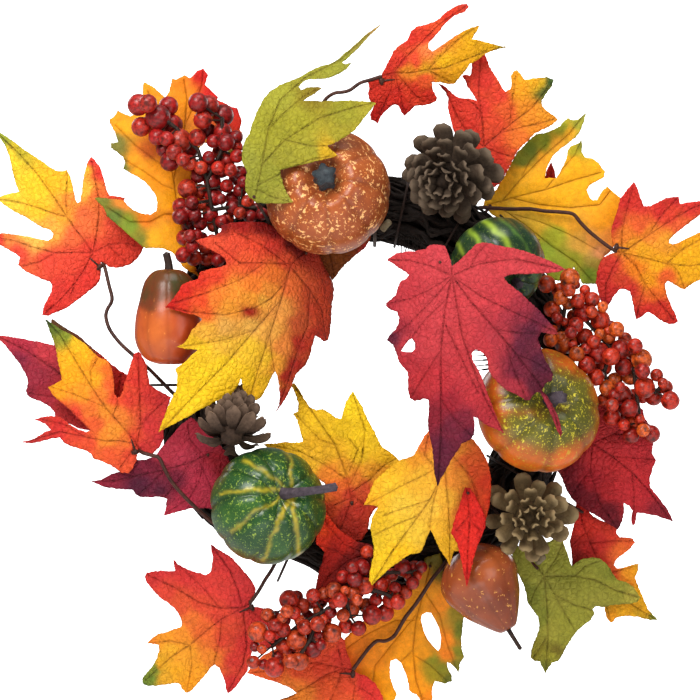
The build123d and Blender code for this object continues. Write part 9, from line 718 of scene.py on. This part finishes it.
def profile(g):
    if "visual" in g:
        q = smooth_path([(a, 0, b) for a, b in g["visual"]], 1.1)
        return q[:, 0].clip(0), q[:, 2]
    er, hh, dip = g["r"], g["h"], g["dip"]
    if "neck" in g:
        nr, nh = g["neck"]
        p = [(0, -hh + dip), (er * 0.45, -hh * 0.96), (er * 0.93, -hh * 0.45), (er, 0), (er * 0.86, hh * 0.42),
             (er * 0.6 + nr * 0.4, hh * 0.42 + (nh - hh * 0.42) * 0.32), (nr, nh * 0.93), (nr * 0.5, nh), (0, nh)]
    else:
        p = [(0, -hh + dip), (er * 0.5, -hh * 0.93), (er * 0.9, -hh * 0.5), (er, 0), (er * 0.9, hh * 0.55), (er * 0.5, hh), (er * 0.2, hh - dip * 0.6), (0, hh - dip)]
    q = smooth_path([(a, 0, b) for a, b in p], 1.1)
    return q[:, 0].clip(0), q[:, 2]


def stroke_mask(x, z, line, width, soft):
    d = np.full(x.shape, 1e9)
    line = np.array(line, float)
    if len(line) == 1:
        d = np.hypot(x - line[0][0], z - line[0][1])
    for i in range(len(line) - 1):
        d = np.minimum(d, seg_dist(x, z, line[i], line[i + 1]))
    return 1.0 / (1.0 + np.exp((d - width) / max(soft, 0.05)))


GOURDS["gourd_green_cap"]["visual"] = [(0, -25.0), (9, -25.2), (18.5, -20.5), (24, -10), (24.8, 1), (23.6, 11), (21.2, 20), (18.5, 30), (15.4, 36), (9.5, 41.0), (0, 42.4)]
GOURDS["pumpkin_copper"]["stem_r"] = [7.6]
GOURDS["gourd_striped"]["stem"] = [(-57.9, -112.0, -233.6), (-46.0, -121.0, -232.0), (-33.3, -125.0, -230.5), (-20.6, -126.5, -228.4)]
GOURDS["gourd_striped"]["stem_r"] = [3.3]


def gourd(name, mat, ribs, depth_, phase, base, strokes, fleck=1.0, groove_shade=0.5, seed=1, sharp=2.0, bulge=0.015, lump=0.5):
    g = GOURDS[name]
    x, y, z = frame_of(g["axis"])
    rho, h = profile(g)
    M = 180
    th = np.arange(M) * 2 * math.pi / M
    P, T, S = [], [], []
    for i in range(1, len(rho) - 1):
        s = i / (len(rho) - 1)
        groove = (1 - np.abs(np.sin(ribs * th / 2 + phase))) ** sharp if ribs else np.zeros(M)
        wgt = 0.35 + 0.65 * np.exp(-((rho[i] / g["r"] - 0.45) / 0.38) ** 2)
        rr = rho[i] * (1 + bulge - depth_ * groove * wgt)
        hh = h[i] - (np.sign(h[i]) * depth_ * groove * g["h"] * 0.5 * np.exp(-(rho[i] / g["r"] - 0.35) ** 2 / 0.08) if ribs else 0.0)
        P.append(np.array(g["centre"]) + (rr * np.cos(th))[:, None] * x + (rr * np.sin(th))[:, None] * y + np.broadcast_to(hh, (M,))[:, None] * z)
        T.append(groove)
        S.append(np.full(M, s))
    n = len(P)
    V = np.vstack(P)
    lumps = np.array([noise.noise(Vector(q * 0.045) + Vector((seed, 0, 0))) for q in V])
    rad = V - np.array(g["centre"])
    rad /= np.linalg.norm(rad, axis=1)[:, None]
    V = V + rad * lumps[:, None] * lump
    gr = np.concatenate(T)
    F = []
    for i in range(n - 1):
        a = i * M + np.arange(M)
        b = i * M + (np.arange(M) + 1) % M
        F += np.c_[a, b, b + M, a + M].tolist()
    V = np.vstack([V, V[:M].mean(0), V[(n - 1) * M:].mean(0)])
    gr = np.append(gr, [0, 0])
    nb = len(V) - 2
    F += [(nb, (j + 1) % M, j) for j in range(M)]
    F += [(nb + 1, (n - 1) * M + j, (n - 1) * M + (j + 1) % M) for j in range(M)]
    # colour: base, grooves darkened as painted shade, then strokes laid over in front-plane coordinates
    w1 = np.array([noise.noise(Vector(q * 0.12) + Vector((seed, 7, 0))) for q in V])
    w2 = np.array([noise.noise(Vector(q * 0.12) + Vector((seed, 0, 7))) for q in V])
    w3 = np.array([noise.noise(Vector(q * 0.45) + Vector((seed, 3, 7))) for q in V])
    vx, vz = V[:, 0] + w1 * 2.2 + w3 * 0.9, V[:, 2] + w2 * 2.2 - w3 * 0.9
    C = np.tile(lin(base), (len(V), 1))
    C = C * (1 + 0.18 * w1[:, None])
    fl = np.full(len(V), fleck)
    front = np.ones(len(V))
    for line, width, soft, rgb, amt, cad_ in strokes:
        m = stroke_mask(vx, vz, line, width, soft) * amt * front
        C = C * (1 - m[:, None]) + lin(rgb)[None, :] * m[:, None]
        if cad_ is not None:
            fl = fl * (1 - m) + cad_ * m
    # grooves between the ribs darkened: painted shade
    C = C * (1 - groove_shade * np.clip(gr, 0, 1)[:, None] ** 1.5)
    ob = make(name + "_skin", V * MM, F, "wreath", mat, True, np.clip(C, 0, 1), {"fleck": fl}, name)
    return ob


def stem(name, mat, flare, top, squash=0.12, bend=None, ridges=5):
    g = GOURDS[name]
    p = [np.array(q) for q in g["stem"]]
    path = smooth_path(p, 1.0)
    t = np.linspace(0, 1, len(path))
    base_r = g["stem_r"][0]
    rad = base_r * (1 + (flare - 1) * np.exp(-t * 6)) * np.interp(t, [0, 0.6, 1], [1.0, 0.82 if len(p) > 2 else 1.0, top])
    ang = np.arange(24) * 2 * math.pi / 24
    V, F = tube(path * MM, rad * MM, 24)
    V = V.copy()
    n = len(path)
    for i in range(n):
        c = V[i * 24:(i + 1) * 24].mean(0)
        k = 1 + squash * np.cos(ang * ridges + i * 0.03)
        V[i * 24:(i + 1) * 24] = c + (V[i * 24:(i + 1) * 24] - c) * k[:, None]
    make(name + "_stalk", V, F, "wreath", mat, node=name + "_stem")


# the lighter band on the upper part is painted light; the darker strokes along the lower-left and right edges are
# painted shade
gourd("pumpkin_copper", M_COPPER, ribs=9, depth_=0.075, phase=0.4, base=(176, 88, 38), fleck=1.0, groove_shade=0.35, seed=1, sharp=2.2,
      strokes=[
          ([(-45.9, 1.3), (-31.9, 8.3), (-10.8, 4.8)], 9, 6, (196, 104, 48), 0.7, None),
          ([(-68.4, -30.3), (-63.4, -47.9), (-45.9, -61.9)], 8, 6, (134, 62, 30), 0.8, None),
          ([(10.3, -12.8), (15.9, -30.3), (3.2, -51.4)], 7, 5, (128, 60, 30), 0.7, None),
          ([(-28.3, -11.4)], 10, 4, (96, 50, 32), 0.8, 0.3),
])
stem("pumpkin_copper", M_SLATE, 1.35, 1.0, 0.22)
# the lighter band on the left is painted light and the dark stroke down the right edge is painted shade
gourd("gourd_green_cap", M_ORANGE, ribs=10, depth_=0.02, phase=0.1, base=(198, 84, 34), fleck=0.35, groove_shade=0.25, seed=2, sharp=2.0,
      strokes=[
          ([(-146.6, -110.9), (-145.1, -125.0)], 7, 5, (224, 126, 52), 0.8, None),
          ([(-120.4, -110.9), (-119.7, -132.1), (-131.0, -140.6)], 7, 5, (150, 44, 22), 0.8, None),
          ([(-155.0, -93.9), (-150.8, -82.6), (-141.6, -77.0), (-129.6, -79.8), (-119.7, -93.9)], 9.5, 1.4, (50, 58, 24), 0.98, 0.2),
          ([(-145.1, -86.1), (-138.1, -84.0), (-131.0, -86.8)], 11, 1.4, (52, 60, 26), 0.98, 0.2),
          ([(-152.2, -96.7), (-150.8, -102.4)], 3, 1.0, (62, 62, 34), 0.9, 0.2),
          ([(-133.8, -95.3), (-133.1, -102.4)], 3, 1.0, (66, 64, 34), 0.9, 0.2),
])
stem("gourd_green_cap", M_WIRE_DARK, 1.3, 0.8, 0.10)
gourd("pumpkin_mottled", M_MOTTLED, ribs=8, depth_=0.085, phase=0.2, base=(220, 100, 24), fleck=0.5, groove_shade=0.4, seed=3, sharp=2.0,
      strokes=[
          ([(107.3, -164.4), (126.3, -153.2), (149.5, -161.6), (153.7, -181.3), (131.2, -192.5), (107.3, -186.9)], 12.0, 1.8, (92, 96, 26), 0.96, 1.3),
          ([(126.3, -167.2), (136.8, -181.3)], 12, 3.0, (88, 92, 28), 0.9, 1.3),
          ([(115.7, -136.3), (129.8, -140.5)], 4, 2.0, (130, 96, 28), 0.6, 0.8),
          ([(93.2, -195.4), (108.7, -210.8), (129.8, -213.6)], 5, 3.0, (226, 108, 26), 0.8, 0.4),
])
stem("pumpkin_mottled", M_STEM, 1.5, 0.8, 0.14)
# the lighter patch on the upper part is a painted highlight and the dark stroke on the lower right towards the neck is
# painted shade
gourd("gourd_brown", M_BROWN, ribs=8, depth_=0.02, phase=0.3, base=(158, 76, 40), fleck=1.2, groove_shade=0.25, seed=4, sharp=2.0,
      strokes=[
          ([(74.1, -280.7), (88.2, -284.2)], 7, 5, (186, 96, 44), 0.8, None),
          ([(95.3, -309.0), (105.9, -323.1)], 7, 5, (110, 44, 24), 0.7, None),
])
stem("gourd_brown", M_WIRE_DARK, 1.3, 0.8, 0.08)
gourd("gourd_striped", M_GREEN, ribs=10, depth_=0.085, phase=0.15, base=(38, 78, 34), fleck=0.9, groove_shade=0.45, seed=5, sharp=1.8,
      strokes=[
          ([(-52.9, -232.5), (-77.5, -229.7), (-102.1, -233.2)], 1.1, 0.45, (212, 188, 46), 0.95, 0.1),
          ([(-52.9, -232.5), (-75.4, -244.5), (-95.1, -261.3)], 1.0, 0.45, (206, 184, 46), 0.95, 0.1),
          ([(-52.9, -232.5), (-62.1, -257.1), (-72.6, -281.0)], 1.2, 0.45, (206, 180, 46), 0.95, 0.1),
          ([(-52.9, -232.5), (-48.0, -255.0), (-45.9, -281.0)], 1.3, 0.5, (200, 174, 46), 0.95, 0.1),
          ([(-52.9, -232.5), (-52.2, -216.4), (-54.3, -203.7)], 0.9, 0.45, (200, 176, 48), 0.9, 0.1),
          ([(-52.9, -232.5), (-70.5, -217.8), (-86.0, -209.4)], 1.0, 0.45, (204, 180, 46), 0.95, 0.1),
          ([(-77.5, -238.9), (-88.1, -243.1), (-98.6, -248.7)], 4.5, 3.0, (70, 116, 42), 0.6, 1.0),
          ([(-63.5, -269.1), (-56.5, -272.6)], 4.5, 3.0, (64, 110, 42), 0.6, 1.0),
          ([(-70.5, -223.4), (-81.0, -222.0)], 4.0, 3.0, (60, 106, 40), 0.5, 1.0),
])
stem("gourd_striped", M_STEM, 1.4, 0.9, 0.10)
gourd("gourd_dark_green", M_GREEN, ribs=8, depth_=0.07, phase=0.3, base=(26, 52, 30), fleck=0.35, groove_shade=0.45, seed=6, sharp=2.0,
      strokes=[
          ([(80.1, -36.3), (87.9, -44.7), (97.0, -53.2), (103.4, -63.0)], 1.7, 0.6, (164, 190, 54), 0.97, 0.1),
          ([(67.4, -41.9), (75.2, -49.7), (82.2, -59.5)], 1.5, 0.6, (150, 178, 54), 0.97, 0.1),
          ([(63.9, -53.2), (68.8, -63.0)], 1.4, 0.6, (146, 170, 54), 0.95, 0.1),
          ([(94.9, -39.1), (109.0, -51.8), (117.5, -70.1), (121.7, -89.8)], 0.9, 0.5, (90, 130, 50), 0.9, 0.1),
])
stem("gourd_dark_green", M_STEM, 1.4, 0.9, 0.08)

# ------------------------------------------------------------------ pine cones
def cone(name, mat, count, tip_size, base_size, open_base, open_tip, core, seed, slim=0.44):
    c = CONES[name]
    r = np.random.RandomState(seed)
    x, y, z = frame_of(c["axis"])
    cen = np.array(c["centre"], float)
    R, H = c["r"], c["h"]
    V, F, TIP, SH = [], [], [], []
    off = 0
    # core
    cv, cf = tube(np.array([cen - z * H * 0.85, cen - z * H * 0.3, cen + z * H * 0.4, cen + z * H * 0.9]), np.array([0.3, 0.46, 0.36, 0.1]) * R, 20)
    V.append(cv); F += [tuple(i + off for i in q) for q in cf]; TIP.append(np.zeros(len(cv))); SH.append(np.ones(len(cv)) * 0.8); off += len(cv)
    NU, NV = 9, 8
    for i in range(count):
        t = (i + 0.5) / count
        a = i * 2.39996 + r.uniform(-0.12, 0.12)
        hz = -H * 0.82 + 1.62 * H * t
        el = math.radians(open_base + (open_tip - open_base) * t ** 1.15 + r.uniform(-4, 4))
        L = (base_size + (tip_size - base_size) * t ** 1.2) * r.uniform(0.93, 1.07)
        W = L * r.uniform(slim - 0.04, slim + 0.05)
        rb = core * R * (1 - 0.72 * t)
        rd = np.cos(a) * x + np.sin(a) * y
        sd = -np.sin(a) * x + np.cos(a) * y
        d = rd * math.cos(el) + z * math.sin(el)
        up = -rd * math.sin(el) + z * math.cos(el)
        o = cen + z * hz + rd * rb
        uu = np.linspace(0, 1, NU)
        vv = np.linspace(-1, 1, NV)
        top, bot = [], []
        for ui, u in enumerate(uu):
            wid = W * 0.5 * (0.42 + 0.62 * math.sin(min(u, 0.80) / 0.80 * math.pi / 2) ** 1.3) * (1.0 if u < 0.80 else math.sqrt(max(0.0, 1 - ((u - 0.80) / 0.22) ** 2)))
            lift = L * (0.16 * u ** 2) - L * 0.10 * math.sin(u * math.pi)
            thick = 0.5 + 0.9 * u ** 2 * (1 - 0.45 * max(0, (u - 0.85) / 0.15))
            for v_ in vv:
                q = o + d * (L * u) + sd * (wid * v_) + up * (lift + 0.14 * L * u * (1 - v_ * v_) * 0.8)
                k = (1 - 0.7 * v_ * v_)
                top.append(q + up * thick * k)
                bot.append(q - up * thick * k * 0.9)
                if abs(v_) >= 0.999 or ui == NU - 1:
                    bot[-1] = q - up * 0.12
                    top[-1] = q + up * 0.12
        nq = len(top)
        V.append(np.array(top + bot))
        for ui in range(NU - 1):
            for vi in range(NV - 1):
                p = ui * NV + vi
                F.append((off + p, off + p + 1, off + p + 1 + NV, off + p + NV))
                F.append((off + nq + p, off + nq + p + NV, off + nq + p + 1 + NV, off + nq + p + 1))
        for ui in range(NU - 1):
            for vi in (0, NV - 1):
                p = ui * NV + vi
                q4 = (off + p, off + p + NV, off + nq + p + NV, off + nq + p)
                F.append(q4 if vi == 0 else q4[::-1])
        for vi in range(NV - 1):
            p = vi
            F.append((off + p, off + nq + p, off + nq + p + 1, off + p + 1))
            p = (NU - 1) * NV + vi
            F.append((off + p, off + p + 1, off + nq + p + 1, off + nq + p))
        ug = np.repeat(uu, NV)
        vg = np.tile(vv, NU)
        tipv = np.clip((ug - 0.72) / 0.2, 0, 1) * 0.85 + 0.12
        sh = np.clip(1 - ug * 1.7, 0, 1) * 0.95
        TIP += [tipv, tipv * 0.8]
        SH += [sh, np.clip(sh + 0.35, 0, 1)]
        off += 2 * nq
    make(name + "_scales", np.vstack(V) * MM, F, "wreath", mat, True, None, {"tip": np.concatenate(TIP), "shade": np.concatenate(SH)}, name)


cone("pinecone_top", M_CONE1, 52, 13.0, 27.0, -8, 62, 0.32, 11, 0.50)
cone("pinecone_left", M_CONE2, 78, 7.0, 19.5, 2, 80, 0.36, 12, 0.52)
cone("pinecone_right", M_CONE3, 36, 11.0, 26.0, -6, 68, 0.30, 13, 0.46)

# ------------------------------------------------------------------ CAD nodes kept as they are
for nm, mat in (("hanger_band", M_LOOP), ("hanging_loop", M_LOOP), ("vine_binding", M_WIRE_DARK), ("gourd_picks", M_WIRE_DARK), ("pinecone_wires", M_WIRE_DARK)):
    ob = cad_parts[nm]
    if not ob.material_slots:
        ob.data.materials.append(mat)
    for s in ob.material_slots:
        s.material = mat

# ------------------------------------------------------------------ stage, light, camera
def flat_mat(name, rgb, strength):
    m = bpy.data.materials.new(name)
    m.use_nodes = True
    t = m.node_tree
    b = t.nodes["Principled BSDF"]
    b.inputs["Base Color"].default_value = rgb
    b.inputs["Roughness"].default_value = 0.9
    b.inputs["Specular IOR Level"].default_value = 0.1
    b.inputs["Emission Color"].default_value = (1, 1, 1, 1)
    b.inputs["Emission Strength"].default_value = strength
    return m


def plane(name, verts, mat):
    me = bpy.data.meshes.new(name)
    me.from_pydata(verts, [], [(0, 1, 2, 3)])
    ob = bpy.data.objects.new(name, me)
    scn.collection.objects.link(ob)
    me.materials.append(mat)
    return ob


# pale wall all round, far enough out to look at the wreath from any side
WALL = 11.0
ring = [(WALL * math.cos(k * math.pi / 24), WALL * math.sin(k * math.pi / 24)) for k in range(48)]
wm = bpy.data.meshes.new("backdrop")
wm.from_pydata([(a, b, -1.2) for a, b in ring] + [(a, b, 9.0) for a, b in ring], [], [(k, (k + 1) % 48, 48 + (k + 1) % 48, 48 + k) for k in range(48)])
back = bpy.data.objects.new("backdrop", wm)
scn.collection.objects.link(back)
wm.materials.append(flat_mat("backdrop_white", (0.9, 0.9, 0.9, 1), BACK))
back.visible_diffuse = False
back.visible_glossy = False
back.visible_shadow = False
plane("floor", [(-11.2, -11.2, -1.2), (11.2, -11.2, -1.2), (11.2, 11.2, -1.2), (-11.2, 11.2, -1.2)], flat_mat("floor_white", (0.92, 0.92, 0.92, 1), 0.28))


def area(name, loc, target, size, power, c=(1, 1, 1)):
    d = bpy.data.lights.new(name, "AREA")
    d.shape = "RECTANGLE"
    d.size, d.size_y = size
    d.energy = power
    d.color = c
    o = bpy.data.objects.new(name, d)
    o.location = loc
    o.rotation_euler = (Vector(target) - Vector(loc)).to_track_quat("-Z", "Y").to_euler()
    scn.collection.objects.link(o)


MID = (0.0, -0.03, -0.15)
area("key", (-0.75, -1.5, 1.0), MID, (0.9, 0.9), KEY, (1.0, 0.985, 0.96))
area("fill", (1.3, -1.8, 0.1), MID, (1.2, 1.2), FILL, (1.0, 1.0, 1.0))
area("top", (0.1, -0.4, 1.4), MID, (1.0, 0.8), TOP, (1.0, 1.0, 1.0))
area("low", (0.0, -1.6, -1.0), MID, (1.2, 0.6), LOW, (1.0, 1.0, 1.0))
area("behind_left", (-1.5, 1.9, 0.9), MID, (0.9, 0.9), 11.0, (1.0, 1.0, 1.0))
area("behind_right", (1.5, 1.9, 0.4), MID, (0.9, 0.9), 9.0, (1.0, 1.0, 1.0))
world = bpy.data.worlds.new("studio")
world.use_nodes = True
world.node_tree.nodes["Background"].inputs["Color"].default_value = (1.0, 1.0, 1.0, 1.0)
world.node_tree.nodes["Background"].inputs["Strength"].default_value = AMBIENT
scn.world = world

scn.view_settings.view_transform = "Standard"  # colours are shown as they are, not filmic

cd = bpy.data.cameras.new("front")
cd.lens = 285.7
cd.sensor_width = 36.0
cd.clip_end = 50.0
cam = bpy.data.objects.new("front", cd)
cam.location = (-0.0108, -4.0274, -0.1321)
cam.rotation_euler = (math.radians(90), 0, 0)
scn.collection.objects.link(cam)
scn.camera = cam
